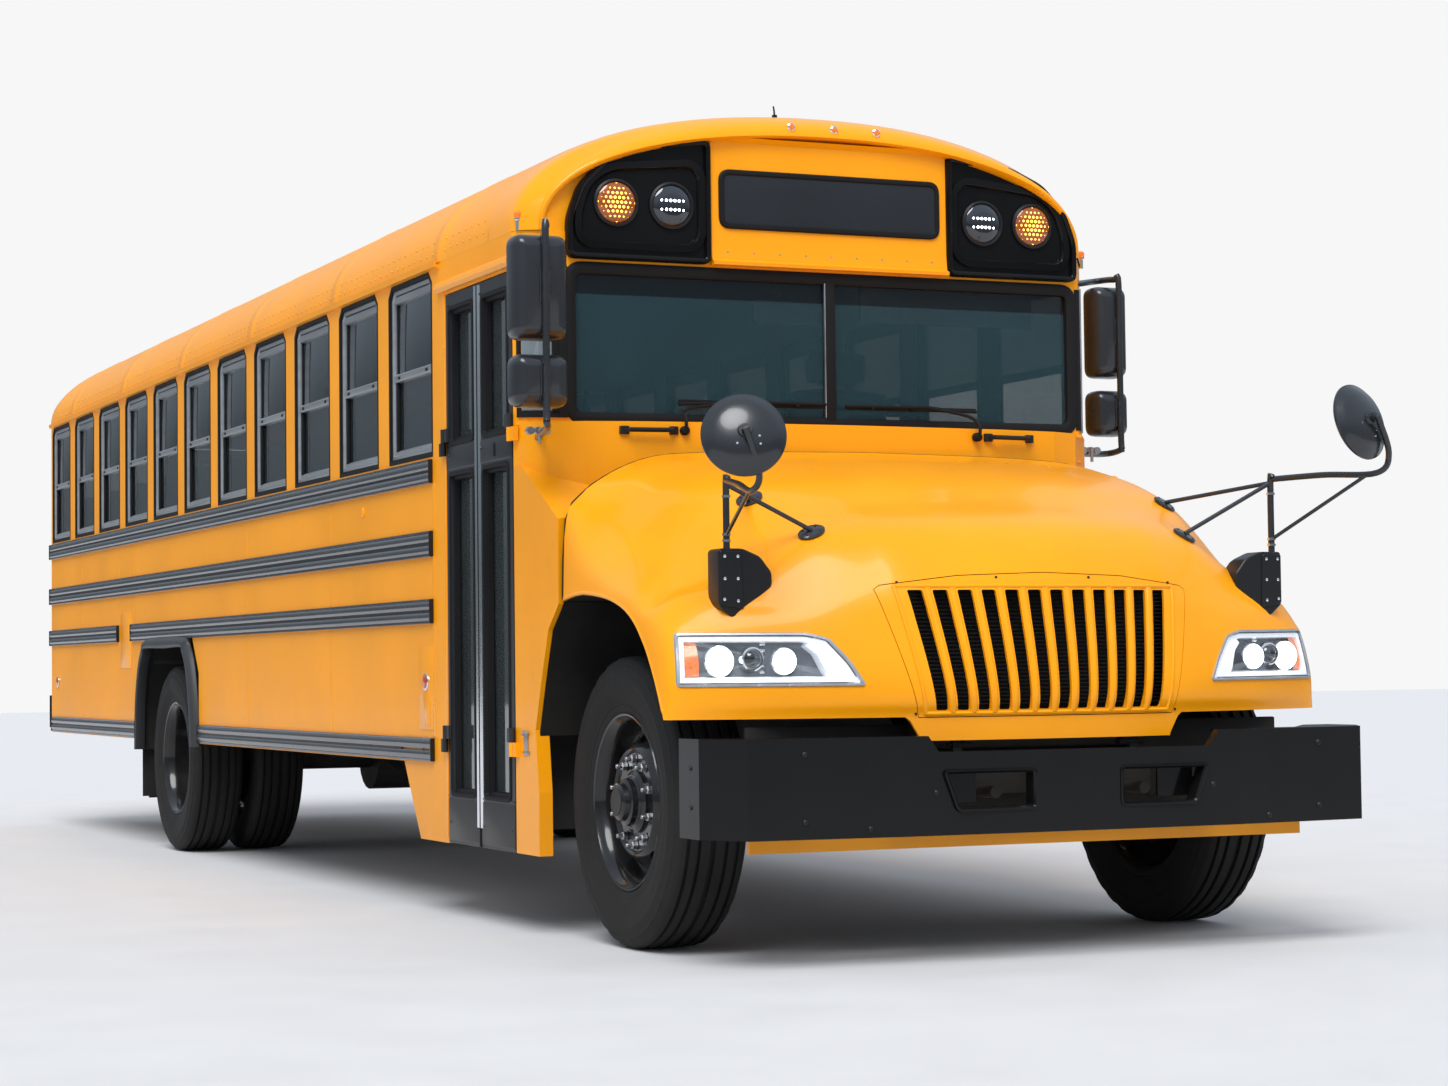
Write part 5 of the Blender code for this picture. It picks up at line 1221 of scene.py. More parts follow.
def makeSashes():
    row = [(windows["firstY"] + windows["pitch"] * i, windows["width"]) for i in range(windows["count"])]
    low, high = windows["z"]
    meeting = windows["meetingZ"]
    x = windows["glassX"]
    for name, side in sides:
        metal, rubber, glass, shade = (bmesh.new() for k in range(4))
        for start, width in row + ([windows["driver"]] if side > 0 else []):
            end = start + width
            outline = windowOutline(start, width)
            addFrame(
                rubber, outline,
                [(0.0, side * 1.2185), (0.006, side * 1.2185), (0.008, side * 1.196), (0.0, side * 1.196)],
                "x"
            )
            section = [
                (0.006, 1.196), (0.006, 1.212), (0.010, 1.214), (0.020, 1.214), (0.024, 1.208), (0.024, 1.196)
            ]
            addFrame(metal, outline, [(a, side * b) for a, b in section], "x")
            # dark flange round the opening: partly the window's rubber seal, partly painted shade along the
            # glass edge
            flange = [(-0.015, 1.219), (-0.014, 1.2218), (-0.004, 1.2222), (0.001, 1.2200), (0.001, 1.2150)]
            addFrame(rubber, outline, [(a, side * b) for a, b in flange], "x")
            rails = [
                (x + 0.001, low + 0.02), (x + 0.014, low + 0.02), (x + 0.016, low + 0.036),
                (x + 0.001, low + 0.046)
            ]
            addPrism(metal, [(side * a, b) for a, b in rails], "y", start + 0.02, end - 0.02)
            bar = [
                (x, meeting - 0.018), (x + 0.017, meeting - 0.016), (x + 0.020, meeting - 0.006),
                (x + 0.020, meeting + 0.010), (x + 0.014, meeting + 0.016), (x, meeting + 0.016)
            ]
            addPrism(metal, [(side * a, b) for a, b in bar], "y", start + 0.02, end - 0.02)
            top = [(x, high - 0.060), (x + 0.017, high - 0.056), (x + 0.019, high - 0.030), (x, high - 0.028)]
            addPrism(metal, [(side * a, b) for a, b in top], "y", start + 0.03, end - 0.03)
            # dark strips at both ends of each pane: partly gasket, partly painted shade where the panes sit
            # deeper
            for at in (start + 0.020, end - 0.044):
                back = side * (x + 0.0005)
                addBox(
                    rubber, (back, at, low + 0.04), (side * (x + 0.013), at + 0.024, meeting - 0.016), 0.003
                )
                front = (side * (x + 0.009), at + 0.016, high - 0.056)
                addBox(rubber, (back, at + 0.004, meeting + 0.012), front, 0.002)
            corner = (side * (x + 0.007), end - 0.03, high - 0.045)
            addBox(glass, (side * (x + 0.003), start + 0.03, meeting), corner, 0.001)
            for at in (start + 0.08, end - 0.10):
                corner = (side * (x + 0.024), at + 0.022, meeting + 0.004)
                addBox(shade, (side * (x + 0.016), at, meeting - 0.008), corner, 0.002)
        finishPiece("sashFrames." + name, metal, "sash")
        # real seals together with the painted shade strips and the dark flange
        finishPiece("sashSealsAndShade." + name, rubber, "gasket")
        finishPiece("upperPanes." + name, glass, "sideGlass")
        finishPiece("sashLatches." + name, shade, "satinBlack")
    print("window sashes made")


# Rub rails and side panels
rails = {
    "bands": [(1.649, 1.741), (1.366, 1.465), (1.109, 1.203), (0.580, 0.669)],
    "proudX": 1.234,
    "ridge": 0.005,
    "frontY": 1.69,
    "backY": 9.416,
}


def railRuns(index, side):
    front = rails["frontY"]
    if index == 2:
        return [(front, 7.06), (7.41, rails["backY"])] if side < 0 else [(front, rails["backY"])]
    if index == 3:
        return [(front, 5.50), (6.95, rails["backY"] - 0.056)]
    return [(front, rails["backY"])]


def makeRails():
    for name, side in sides:
        bm, ends, screws = bmesh.new(), bmesh.new(), bmesh.new()
        for index, (low, high) in enumerate(rails["bands"]):
            for start, end in railRuns(index, side):
                tall = high - low
                # two ridges on each band, in the paler finish that paints their highlight
                for share in (0.27, 0.73):
                    z = low + tall * share
                    section = [
                        (-0.017, 0.0), (-0.013, 0.7), (-0.005, 1.0), (0.005, 1.0), (0.013, 0.7), (0.017, 0.0)
                    ]
                    outline = [
                        (side * (rails["proudX"] - 0.0015 + rails["ridge"] * rise), z + dz)
                        for dz, rise in section
                    ]
                    addPrism(bm, outline, "y", start + 0.002, end - 0.002)
                for z in (low + 0.004, high - 0.004):
                    corner = (side * (rails["proudX"] + 0.001), end, z + 0.0045)
                    addBox(bm, (side * 1.2205, start, z - 0.0045), corner, 0.002, 1)
                for at in (start - 0.001, end - 0.007):
                    corner = (side * (rails["proudX"] + 0.0045), at + 0.008, high - 0.001)
                    addBox(ends, (side * 1.2205, at, low + 0.001), corner, 0.002)
                at = start + 0.10
                while at < end - 0.05:
                    profile = [(0.006, -0.002), (0.005, 0.0012), (0.0, 0.002)]
                    addTurned(screws, profile, (side * rails["proudX"], at, (low + high) / 2), "x", 8, side)
                    at += 0.35625
        finishPiece("railRidges." + name, bm, "ridge")
        finishPiece("railEnds." + name, ends, "satinBlack")
        finishPiece("railScrews." + name, screws, "satinBlack")
    print("rub rails made")


panels = {
    "seamsY": [1.6875, 3.115, 4.54, 7.06, 7.41, 8.48],
    "rivetPitch": 0.0712,
    "rivetZ": (1.758, 1.64, 1.475, 1.357, 1.212, 1.10, 0.678),
}


def makePanels():
    for name, side in sides:
        rivets, seams = bmesh.new(), bmesh.new()
        face = 1.22
        profile = [(0.0042, side * -0.001), (0.0036, side * 0.0014), (0.0, side * 0.0021)]
        for z in panels["rivetZ"]:
            y = 1.64
            while y < 9.36:
                y += panels["rivetPitch"]
                if z < 1.15 and 5.48 < y < 6.92:
                    continue
                addTurned(rivets, profile, (side * face, y, z), "x", 6)
        for z in [0.70 + 0.055 * k for k in range(20)]:
            if all(not low - 0.01 < z < high + 0.01 for low, high in rails["bands"]):
                addTurned(rivets, profile, (side * face, 1.665, z), "x", 6)
        for y in panels["seamsY"]:
            for low, high in ((0.675, 1.105), (1.207, 1.362), (1.469, 1.645)):
                corner = (side * (face + 0.0016), y + 0.012, high)
                addBox(seams, (side * (face - 0.001), y - 0.012, low), corner, 0.0006, 1)
        finishPiece("panelRivets." + name, rivets, "paint")
        finishPiece("panelSeams." + name, seams, "paint")

    bm = bmesh.new()  # small hatch with the round reflector, door side
    addBox(bm, (-1.2225, 1.70, 0.70), (-1.2195, 1.87, 1.02), 0.001)
    addBox(bm, (-1.2245, 1.735, 0.718), (-1.2215, 1.815, 0.845), 0.001)
    addBox(bm, (-1.2225, 7.10, 0.96), (-1.2195, 7.37, 1.27), 0.001)
    finishPiece("sideHatches", bm, "paint")
    red, base = bmesh.new(), bmesh.new()
    for name, side in sides:
        for y, z in ((1.783, 0.884), (9.20, 0.884)):
            centre = (side * 1.222, y, z)
            addTurned(base, [(0.034, 0.0), (0.034, 0.005), (0.030, 0.007)], centre, "x", 24, side)
            addTurned(red, [(0.029, 0.005), (0.024, 0.009), (0.0, 0.011)], centre, "x", 24, side)
    finishPiece("reflectorRims", base, "chrome")
    finishPiece("reflectors", red, "redLens")
    bm = bmesh.new()  # fuel door and small round cap
    addTurned(
        bm, [(0.022, 0.0), (0.022, -0.004), (0.016, -0.008), (0.0, -0.009)], (-1.219, 2.62, 1.585), "x", 20
    )
    addBox(bm, (1.2195, 7.55, 0.74), (1.2235, 7.83, 1.02), 0.0015)
    addBox(bm, (1.2225, 7.60, 0.86), (1.2285, 7.63, 0.90), 0.002)
    finishPiece("fillerCaps", bm, "paint")
    bm = bmesh.new()  # T-latch on the door's front post and the two hood straps
    for name, side in sides:
        y = 0.650 if side < 0 else 0.80
        for half, low, high in ((0.030, 0.628, 0.642), (0.016, 0.640, 0.712)):
            addBox(bm, (side * 1.2185, y - half, low), (side * 1.226, y + half, high), 0.003)
        addTube(
            bm, [(side * 1.226, y - 0.028, 0.70), (side * 1.232, y, 0.71), (side * 1.226, y + 0.028, 0.70)],
            0.006, 8, 4
        )
    finishPiece("hoodLatches", bm, "steel")
    print("side panels made")


# Entry doors
leaves = {
    "entry_door_front": (0.768, 1.1355),
    "entry_door_rear": (1.1495, 1.517),
}
leafTrim = {
    "faceX": -1.222,
    "panes": ((0.47, 1.66), (1.79, 2.289)),
    "edges": (0.055, 0.050),
    "stripZ": (0.352, 2.343),
}


def makeDoors():
    for body, (start, end) in leaves.items():
        front = body.endswith("front")
        rubber, grey, bright = bmesh.new(), bmesh.new(), bmesh.new()
        x = leafTrim["faceX"]
        for low, high in leafTrim["panes"]:
            hole = rectangle((start + leafTrim["edges"][0], end - leafTrim["edges"][1]), (low, high))
            outline = filleted(hole, 0.014, 3)
            addFrame(
                rubber, outline,
                [
                    (-0.016, x), (-0.015, x - 0.004), (-0.006, x - 0.006), (0.0, x - 0.004),
                    (0.003, x + 0.010), (0.014, x + 0.012), (0.015, x + 0.030), (0.002, x + 0.034),
                    (-0.001, x + 0.002)
                ],
                "x"
            )
        low, high = 0.282, 2.346  # pressed face sheets around the panes
        outer = rectangle((start + 0.004, end - 0.004), (low + 0.008, leafTrim["panes"][0][0] - 0.022))
        addLoft(
            grey,
            roundedSteps(outer, [(0.0, x + 0.001), (0.0, x - 0.0015), (0.003, x - 0.0025)], "x", 0.010, 2)
        )
        middle = rectangle((start + 0.004, end - 0.004), (1.682, 1.768))
        addLoft(
            grey,
            roundedSteps(middle, [(0.0, x + 0.001), (0.0, x - 0.0015), (0.003, x - 0.0025)], "x", 0.010, 2)
        )
        addBox(grey, (x - 0.003, start + 0.004, 0.455), (x + 0.001, end - 0.004, 0.461), 0.001)
        stripY = (end - 0.021, end - 0.003) if front else (start + 0.003, start + 0.021)
        section = [
            (x + 0.001, stripY[0]), (x - 0.006, stripY[0] + 0.002), (x - 0.009, sum(stripY) / 2),
            (x - 0.006, stripY[1] - 0.002), (x + 0.001, stripY[1])
        ]
        addPrism(bright, section, "z", *leafTrim["stripZ"])
        seal = end if front else start
        way = 1 if front else -1
        addBox(rubber, (x - 0.004, seal - way * 0.002, low), (x + 0.030, seal + way * 0.0035, high), 0.001)
        if front:  # oval pull in the middle rail
            slot = filleted(rectangle((0.948, 0.970), (1.700, 1.750)), 0.011, 4)
            addDome(rubber, slot, [(0.0, x - 0.002), (0.0, x - 0.005), (0.003, x - 0.006)], "x")
        for z in (0.36, 1.74, 2.31):
            for y in (start + 0.03, end - 0.03):
                addTurned(grey, [(0.006, 0.0), (0.005, -0.003), (0.0, -0.004)], (x - 0.002, y, z), "x", 8)
        finishPiece(body + "Gaskets", rubber, "gasket", body)
        finishPiece(body + "Sheets", grey, "doorGrey", body)
        finishPiece(body + "Strip", bright, "chrome", body)
    bm = bmesh.new()  # header lip over the doors and the yellow jamb beads
    lip = [
        (-1.218, 2.362), (-1.236, 2.366), (-1.244, 2.380), (-1.240, 2.398), (-1.222, 2.412), (-1.218, 2.412)
    ]
    addPrism(bm, lip, "y", 0.77, 1.60)
    addBox(bm, (-1.2235, 1.524, 0.30), (-1.2190, 1.545, 2.36), 0.0015)
    finishPiece("doorHeader", bm, "paint")
    bm = bmesh.new()  # yellow grab rails just inside the doors
    for y in (0.86, 1.44):
        addTube(
            bm,
            [
                (-1.10, y, 0.78), (-1.10, y, 1.30), (-1.09, y + 0.03, 1.40), (-1.02, y + 0.10, 1.44),
                (-0.98, y + 0.12, 1.44)
            ],
            0.014, 12, 6
        )
    addTube(
        bm, [(-0.62, 1.56, 1.04), (-0.62, 1.56, 1.80), (-0.66, 1.56, 1.86), (-1.12, 1.56, 1.86)], 0.015, 12, 5
    )
    finishPiece("grabRails", bm, "rail")
    print("entry doors made")


# Windscreen, cowl and wipers
screen = {
    "half": 1.030,
    "z": (1.822, 2.363),
    "y": 0.690,
    "wiperPivots": {-1: -0.673, 1: 0.494},
    "handles": ((-0.891, -0.712), (0.545, 0.731)),
    "handleZ": 1.768,
}


def makeScreen():
    y = screen["y"]
    bm = bmesh.new()
    opening = filleted(rectangle((-screen["half"], screen["half"]), screen["z"]), 0.05, 5)
    addFrame(
        bm, opening,
        [
            (-0.022, y + 0.002), (-0.020, y - 0.006), (-0.008, y - 0.011), (0.008, y - 0.011),
            (0.022, y - 0.004), (0.024, y + 0.018), (-0.002, y + 0.022)
        ],
        "y"
    )
    addBox(bm, (-0.019, y - 0.009, 1.83), (0.019, y + 0.03, 2.36), 0.006)
    finishPiece("screenGasket", bm, "gasket")
    bm = bmesh.new()
    addBox(bm, (-0.0245, y - 0.006, 1.845), (-0.019, y + 0.006, 2.345), 0.002)
    finishPiece("screenPostTrim", bm, "steel")

    bm = bmesh.new()  # folded rain lip and band across the cowl's top
    plan = [
        (-1.212, 0.745), (-1.185, 0.718), (-1.13, 0.700), (-1.06, 0.690), (-0.5, 0.690), (0, 0.690),
        (0.5, 0.690), (1.06, 0.690), (1.19, 0.895)
    ]
    for low, high, proud in ((1.795, 1.806, 0.012), (1.700, 1.707, 0.005)):
        rings = []
        for i, (x, yy) in enumerate(plan):
            before, after = plan[max(0, i - 1)], plan[min(len(plan) - 1, i + 1)]
            along = Vector((after[0] - before[0], after[1] - before[1])).normalized()
            out = Vector((along.y, -along.x))
            inner, outer = Vector((x, yy)) - out * 0.004, Vector((x, yy)) + out * proud
            rings.append([
                (inner.x, inner.y, low), (outer.x, outer.y, low), (outer.x, outer.y, high),
                (inner.x, inner.y, high)
            ])
        addLoft(bm, rings)
    finishPiece("cowlLips", bm, "paint")

    bm = bmesh.new()  # grab handles below the windscreen
    for ends in screen["handles"]:
        wall = [0.482 + 0.12 * (abs(x) - 0.55) for x in ends]
        z = screen["handleZ"]
        line = [
            (ends[0], wall[0], z - 0.002), (ends[0] + 0.012, wall[0] - 0.028, z),
            (ends[1] - 0.012, wall[1] - 0.028, z), (ends[1], wall[1], z - 0.002)
        ]
        addTube(bm, line, 0.0085, 10, 1)
        for x, face in zip(ends, wall):
            addBox(bm, (x - 0.016, face - 0.010, z - 0.015), (x + 0.016, face + 0.014, z + 0.015), 0.004)
    finishPiece("cowlHandles", bm, "satinBlack")

    bm = bmesh.new()
    blades = {-1: ((-0.62, 1.880), (-0.03, 1.893)), 1: ((0.05, 1.889), (0.60, 1.880))}
    for side in (-1, 1):
        x = screen["wiperPivots"][side]
        face, z = 0.482 + 0.12 * (abs(x) - 0.55), screen["handleZ"]
        addTurned(
            bm, [(0.0, 0.006), (0.017, 0.006), (0.017, -0.014), (0.011, -0.022), (0.0, -0.024)], (x, face, z),
            "y", 16
        )
        (x0, z0), (x1, z1) = blades[side]
        middle = ((x0 + x1) / 2 + side * 0.06, y - 0.034, (z0 + z1) / 2 + 0.006)
        arm = [(x, face - 0.020, z), (x, face - 0.022, z + 0.040), (x * 0.96, face + 0.030, 1.848), middle]
        addTube(bm, arm, 0.0065, 8, 4)
        line = [
            (x0, y - 0.020, z0), ((x0 * 3 + x1) / 4, y - 0.026, (z0 * 3 + z1) / 4 + 0.003), middle,
            ((x0 + 3 * x1) / 4, y - 0.026, (z0 + 3 * z1) / 4 + 0.003), (x1, y - 0.020, z1)
        ]
        addTube(bm, line, 0.006, 8, 4)
        addBox(bm, (x0, y - 0.018, min(z0, z1) - 0.004), (x1, y - 0.0145, max(z0, z1) + 0.004), 0.001, 1)
        for share in (0.2, 0.5, 0.8):
            at = x0 + (x1 - x0) * share
            addBox(
                bm, (at - 0.008, y - 0.030, z0 + (z1 - z0) * share - 0.010),
                (at + 0.008, y - 0.016, z0 + (z1 - z0) * share + 0.008), 0.002, 1
            )
    finishPiece("wipers", bm, "gasket")

    # quarter window on the door side and the flat corner post on the driver's side
    def corner(angle, grow):
        t = math.radians(angle)
        return (-1.06 - (0.16 + grow) * math.sin(t), 0.765 - (0.075 + grow) * math.cos(t))

    def band(bm, angles, low, high, grow):
        rings = []
        for angle in angles:
            near, far = corner(angle, 0.0), corner(angle, grow)
            rings.append([(*near, low), (*far, low), (*far, high), (*near, high)])
        addLoft(bm, rings)

    bm = bmesh.new()
    band(bm, range(2, 71, 4), 1.822, 1.846, 0.007)
    band(bm, range(2, 71, 4), 2.330, 2.366, 0.007)
    band(bm, (2, 6, 10, 14), 1.835, 2.345, 0.007)
    band(bm, (62, 65, 68, 70), 1.835, 2.345, 0.007)
    addBox(bm, (-1.075, y - 0.010, 1.822), (-1.040, y + 0.004, 2.366), 0.004)
    finishPiece("quarterFrame", bm, "gasket")
    bm = bmesh.new()
    band(bm, range(12, 66, 6), 1.840, 2.340, 0.0035)
    finishPiece("quarterGlass", bm, "quarterGlass")
    bm = bmesh.new()
    plan = [(1.045, 0.688), (1.062, 0.684), (1.085, 0.715), (1.080, 0.722)]
    addPrism(bm, plan, "z", 1.822, 2.366)
    finishPiece("cornerTrim", bm, "gasket")
    bm = bmesh.new()
    plan = [(1.0855, 0.722), (1.0935, 0.718), (1.0975, 0.7255), (1.0895, 0.7295)]
    addPrism(bm, plan, "z", 1.815, 2.375)
    finishPiece("cornerStrip", bm, "steel")
    print("windscreen trim made")


# Mirrors
hoodMirrors = {
    "right": {
        "post": 1.005,
        "knee": 1.515,
        "elbow": (1.065, -0.950, 1.462),
        "bend": (1.066, -1.010, 1.510),
        "middle": (1.104, -0.985, 1.631),
    },
    "left": {
        "post": 1.035,
        "knee": 1.550,
        "elbow": (1.225, -0.965, 1.553),
        "bend": (1.249, -1.000, 1.618),
        "middle": (1.152, -0.985, 1.723),
    },
    "postY": -0.62,
    "bracket": [
        (1.048, 1.120), (1.048, 1.300), (0.965, 1.300), (0.905, 1.275), (0.865, 1.225), (0.865, 1.18),
        (0.95, 1.11), (1.0, 1.08)
    ],
    "bracketY": (-0.655, -0.575),
}


def addOval(bm, centre, normal, radii, thickness, steps=28):
    turn = Vector((0, 0, 1)).rotation_difference(Vector(normal).normalized())
    rings = []
    for share, rise in ((0.0, 0.0), (1.0, 0.0), (1.0, 0.5), (0.86, 1.0), (0.0, 1.0)):
        ring = []
        for k in range(steps):
            t = 2 * math.pi * k / steps
            point = Vector((radii[0] * share * math.cos(t), radii[1] * share * math.sin(t), thickness * rise))
            ring.append(bm.verts.new(Vector(centre) + turn @ point))
        rings.append(ring)
    for ring, after in zip(rings, rings[1:]):
        for k in range(steps):
            m = (k + 1) % steps
            bm.faces.new((ring[k], ring[m], after[m], after[k]))
    bmesh.ops.remove_doubles(bm, verts=[v for ring in rings for v in ring], dist=0.00002)


def addTilted(bm, profile, middle, turn, steps):  # an open profile turned about a tilted axis
    rings = []
    for k in range(steps):
        t = 2 * math.pi * k / steps
        spots = [turn @ Vector((r * math.cos(t), r * math.sin(t), along)) for r, along in profile]
        rings.append([bm.verts.new(middle + spot) for spot in spots])
    for k in range(steps):
        ring, after = rings[k], rings[(k + 1) % steps]
        for j in range(len(profile) - 1):
            bm.faces.new((ring[j], ring[j + 1], after[j + 1], after[j]))
    bmesh.ops.remove_doubles(bm, verts=bm.verts, dist=0.00002)


def makeHoodMirrors():
    for name, side in sides:
        place = hoodMirrors[name]

        def at(point):
            return Vector((side * point[0], point[1], point[2]))

        y = hoodMirrors["postY"]
        post = side * place["post"]
        knee = Vector((post, y, place["knee"]))
        elbow, bend, middle = at(place["elbow"]), at(place["bend"]), at(place["middle"])
        facing = Vector((side * 0.31, -0.915, 0.25)).normalized()
        turn = Vector((0, 0, 1)).rotation_difference(facing)

        bm = bmesh.new()  # head: a shallow dish with a rolled rim, its back to the front
        profile = [
            (0.0, 0.036), (0.045, 0.034), (0.085, 0.024), (0.112, 0.010), (0.124, -0.002), (0.131, -0.006),
            (0.1315, -0.012), (0.127, -0.017), (0.120, -0.014), (0.0, -0.012)
        ]
        addTilted(bm, profile, middle, turn, 56)
        hub = middle + turn @ Vector((0, 0, 0.034))
        knuckle = hub + facing * 0.026
        addTube(bm, [hub - facing * 0.006, hub + facing * 0.010], (0.026, 0.020), 20, 1)
        addTube(bm, [hub + facing * 0.004, knuckle], 0.012, 14, 1)
        path = [knee, (knee + elbow) / 2 + Vector((0, 0, 0.004)), elbow, bend, knuckle + facing * 0.004]
        addTube(bm, path, 0.0105, 14, 7)
        addTube(
            bm, [(post, y, 1.26), (post, y, place["knee"] - 0.006), knee + Vector((0, -0.012, 0.004))], 0.011,
            14, 3
        )
        addTube(bm, [(post, y - 0.004, 1.345), knee.lerp(elbow, 0.93)], 0.0065, 10, 1)
        feet = [Vector((side * 0.795, -0.329, 1.480)), Vector((side * 0.70, -0.60, 1.358))]
        for foot in feet:
            addTube(bm, [foot + Vector((0, 0, 0.004)), knee + Vector((0, 0, -0.012))], 0.0075, 10, 1)
        normals = ((side * 0.39, -0.53, 0.75), (side * 0.36, -0.50, 0.79))
        for foot, normal in zip(feet, normals):
            addOval(bm, foot - Vector(normal).normalized() * 0.005, normal, (0.046, 0.034), 0.009)
            for k in range(4):
                t = math.pi / 4 + k * math.pi / 2
                turnFoot = Vector((0, 0, 1)).rotation_difference(Vector(normal).normalized())
                spot = foot + turnFoot @ Vector((0.034 * math.cos(t), 0.024 * math.sin(t), 0.003))
                addOval(bm, spot, normal, (0.004, 0.004), 0.003, 8)
        head = finishPiece("hoodMirror." + name, bm, "mirrorBlack", "hood", 40)
        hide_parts("hood_mirror_" + name)

        bm = bmesh.new()  # housing on the fender with its face plate
        outline = filleted([(side * x, z) for x, z in hoodMirrors["bracket"]], 0.012, 3)
        near, far = hoodMirrors["bracketY"]
        addDome(bm, outline, [(0.004, near), (0.0, near + 0.004), (0.0, far), (0.006, far + 0.020)], "y")
        plate = [(side * x, z) for x, z in ((1.045, 1.125), (1.045, 1.292), (0.972, 1.292), (0.965, 1.108))]
        addDome(
            bm, filleted(plate, 0.008, 3), [(0.0, near + 0.002), (0.0, near - 0.003), (0.002, near - 0.005)],
            "y"
        )
        finishPiece("mirrorHousing." + name, bm, "satinBlack", "hood", 40)

        bm = bmesh.new()  # bright screws and clamps
        for x, z in (
            (0.985, 1.275), (1.030, 1.275), (0.985, 1.205), (1.030, 1.205), (0.985, 1.135), (1.032, 1.140)
        ):
            addTurned(
                bm, [(0.0055, 0.001), (0.005, -0.003), (0.0, -0.005)], (side * x, near - 0.004, z), "y", 10
            )
        for z in (1.325, 1.345, place["knee"] - 0.05):
            addTurned(
                bm, [(0.0105, -0.004), (0.0145, -0.004), (0.0145, 0.004), (0.0105, 0.004)], (post, y, z), "z",
                16, closed=True
            )
        for u, v in ((-0.036, -0.030), (0.036, -0.030), (0.030, -0.055)):
            spot = middle + turn @ Vector((u, v, 0.030))
            addOval(bm, spot, facing, (0.0042, 0.0042), 0.005, 8)
        finishPiece("mirrorScrews." + name, bm, "chrome", "hood")

        bm = bmesh.new()  # convex glass on the driver's side of the head
        profile = [(0.0, -0.046), (0.040, -0.043), (0.080, -0.034), (0.108, -0.022), (0.118, -0.0135)]
        addTilted(bm, profile, middle, turn, 48)
        finishPiece("mirrorDome." + name, bm, "mirror", "hood")
    print("hood mirrors made")


sideMirrors = {
    "right": {"x": 1.280, "y": 0.32, "inner": 1.185, "feet": ((1.120, 0.735, 2.42), (1.150, 0.720, 1.745))},
    "left": {"x": 1.330, "y": 0.89, "inner": 1.230, "feet": ((1.090, 0.800, 2.40), (1.060, 0.760, 1.740))},
    "outer": 1.385,
    "heads": [(2.05, 2.41), (1.82, 2.00)],
}


def makeSideMirrors():
    for name, side in sides:
        place = sideMirrors[name]
        y = place["y"]
        bm, plates = bmesh.new(), bmesh.new()
        post = side * place["x"]
        xs = sorted((side * place["inner"], side * sideMirrors["outer"]))
        for low, high in sideMirrors["heads"]:
            corners = rectangle(xs, (low, high))
            section = [
                (0.002, y + 0.042), (0.0, y + 0.030), (0.0, y - 0.010), (0.005, y - 0.028),
                (0.014, y - 0.043), (0.026, y - 0.051), (0.042, y - 0.056)
            ]
            addLoft(bm, roundedSteps(corners, section, "y", 0.040))
            glassCorners = rectangle((xs[0] + 0.010, xs[1] - 0.010), (low + 0.010, high - 0.010))
            addLoft(
                plates,
                roundedSteps(
                    glassCorners, ((0.0, y + 0.040), (0.0, y + 0.044), (0.003, y + 0.0455)), "y", 0.030
                )
            )
            middle = (low + high) / 2
            for x in (post - 0.016, post + 0.016):
                addBox(
                    bm, (x - 0.004, y - 0.061, middle - 0.055), (x + 0.004, y - 0.040, middle + 0.055), 0.003
                )
            corner = (post + 0.013, y - 0.040, middle + 0.045)
            addBox(bm, (post - 0.013, y - 0.074, middle - 0.045), corner, 0.006)
        high, low = [Vector((side * fx, fy, fz)) for fx, fy, fz in place["feet"]]
        front = y - 0.064
        stalk = [low, (post - side * 0.03, y + 0.02, 1.752)]
        stalk += [(post, front, z) for z in (1.765, 1.80, 2.10, 2.42)]
        stalk += [(post - side * 0.01, front + 0.02, 2.437), (post - side * 0.04, y + 0.05, 2.44), high]
        addTube(bm, stalk, 0.0125, 14, 5)
        for foot in (high, low):
            addTube(bm, [foot + Vector((0, 0.004, -0.030)), foot + Vector((0, 0.004, 0.030))], 0.018, 14, 1)
        body = finishPiece("sideMirror." + name, bm, "mirrorBlack", angle=50)
        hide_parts("side_mirror_" + name)
        finishPiece("sideMirrorGlass." + name, plates, "mirror")
        bm = bmesh.new()
        spot = low.lerp(Vector((post, y, 1.755)), 0.45)
        for shift in (-0.030, 0.0, 0.030):
            addTube(
                bm,
                [spot + Vector((side * shift, -0.012, 0.010)), spot + Vector((side * shift, 0.012, 0.010))],
                0.014, 12, 1
            )
        addTube(bm, [spot + Vector((0, -0.016, -0.035)), spot + Vector((0, -0.016, 0.022))], 0.006, 10, 1)
        finishPiece("mirrorClamps." + name, bm, "steel")
    print("side mirrors made")


# Wheels
tyre = {
    "radius": 0.485,
    "steps": 96,
    "profile": [  # (radius, along) from the outer bead over the crown, half of it
        (0.289, 0.098), (0.296, 0.112), (0.310, 0.118), (
            0.322, 0.1175
        ), (0.326, 0.1205), (0.331, 0.1205), (0.336, 0.122),
        (0.352, 0.128), (
            0.372, 0.1325
        ), (0.392, 0.1350), (0.410, 0.1345), (0.414, 0.1362), (0.419, 0.1355), (0.432, 0.1325),
        (0.446, 0.127), (
            0.450, 0.1275
        ), (0.454, 0.1245), (0.466, 0.119), (0.475, 0.112), (0.480, 0.104), (0.482, 0.092),
        (0.470, 0.090), (0.470, 0.080), (0.483, 0.078), (0.484, 0.054), (0.470, 0.052), (0.470, 0.042), (
            0.4845, 0.040
        ),
        (0.485, 0.010), (0.471, 0.008), (0.471, 0.0),
    ],
}


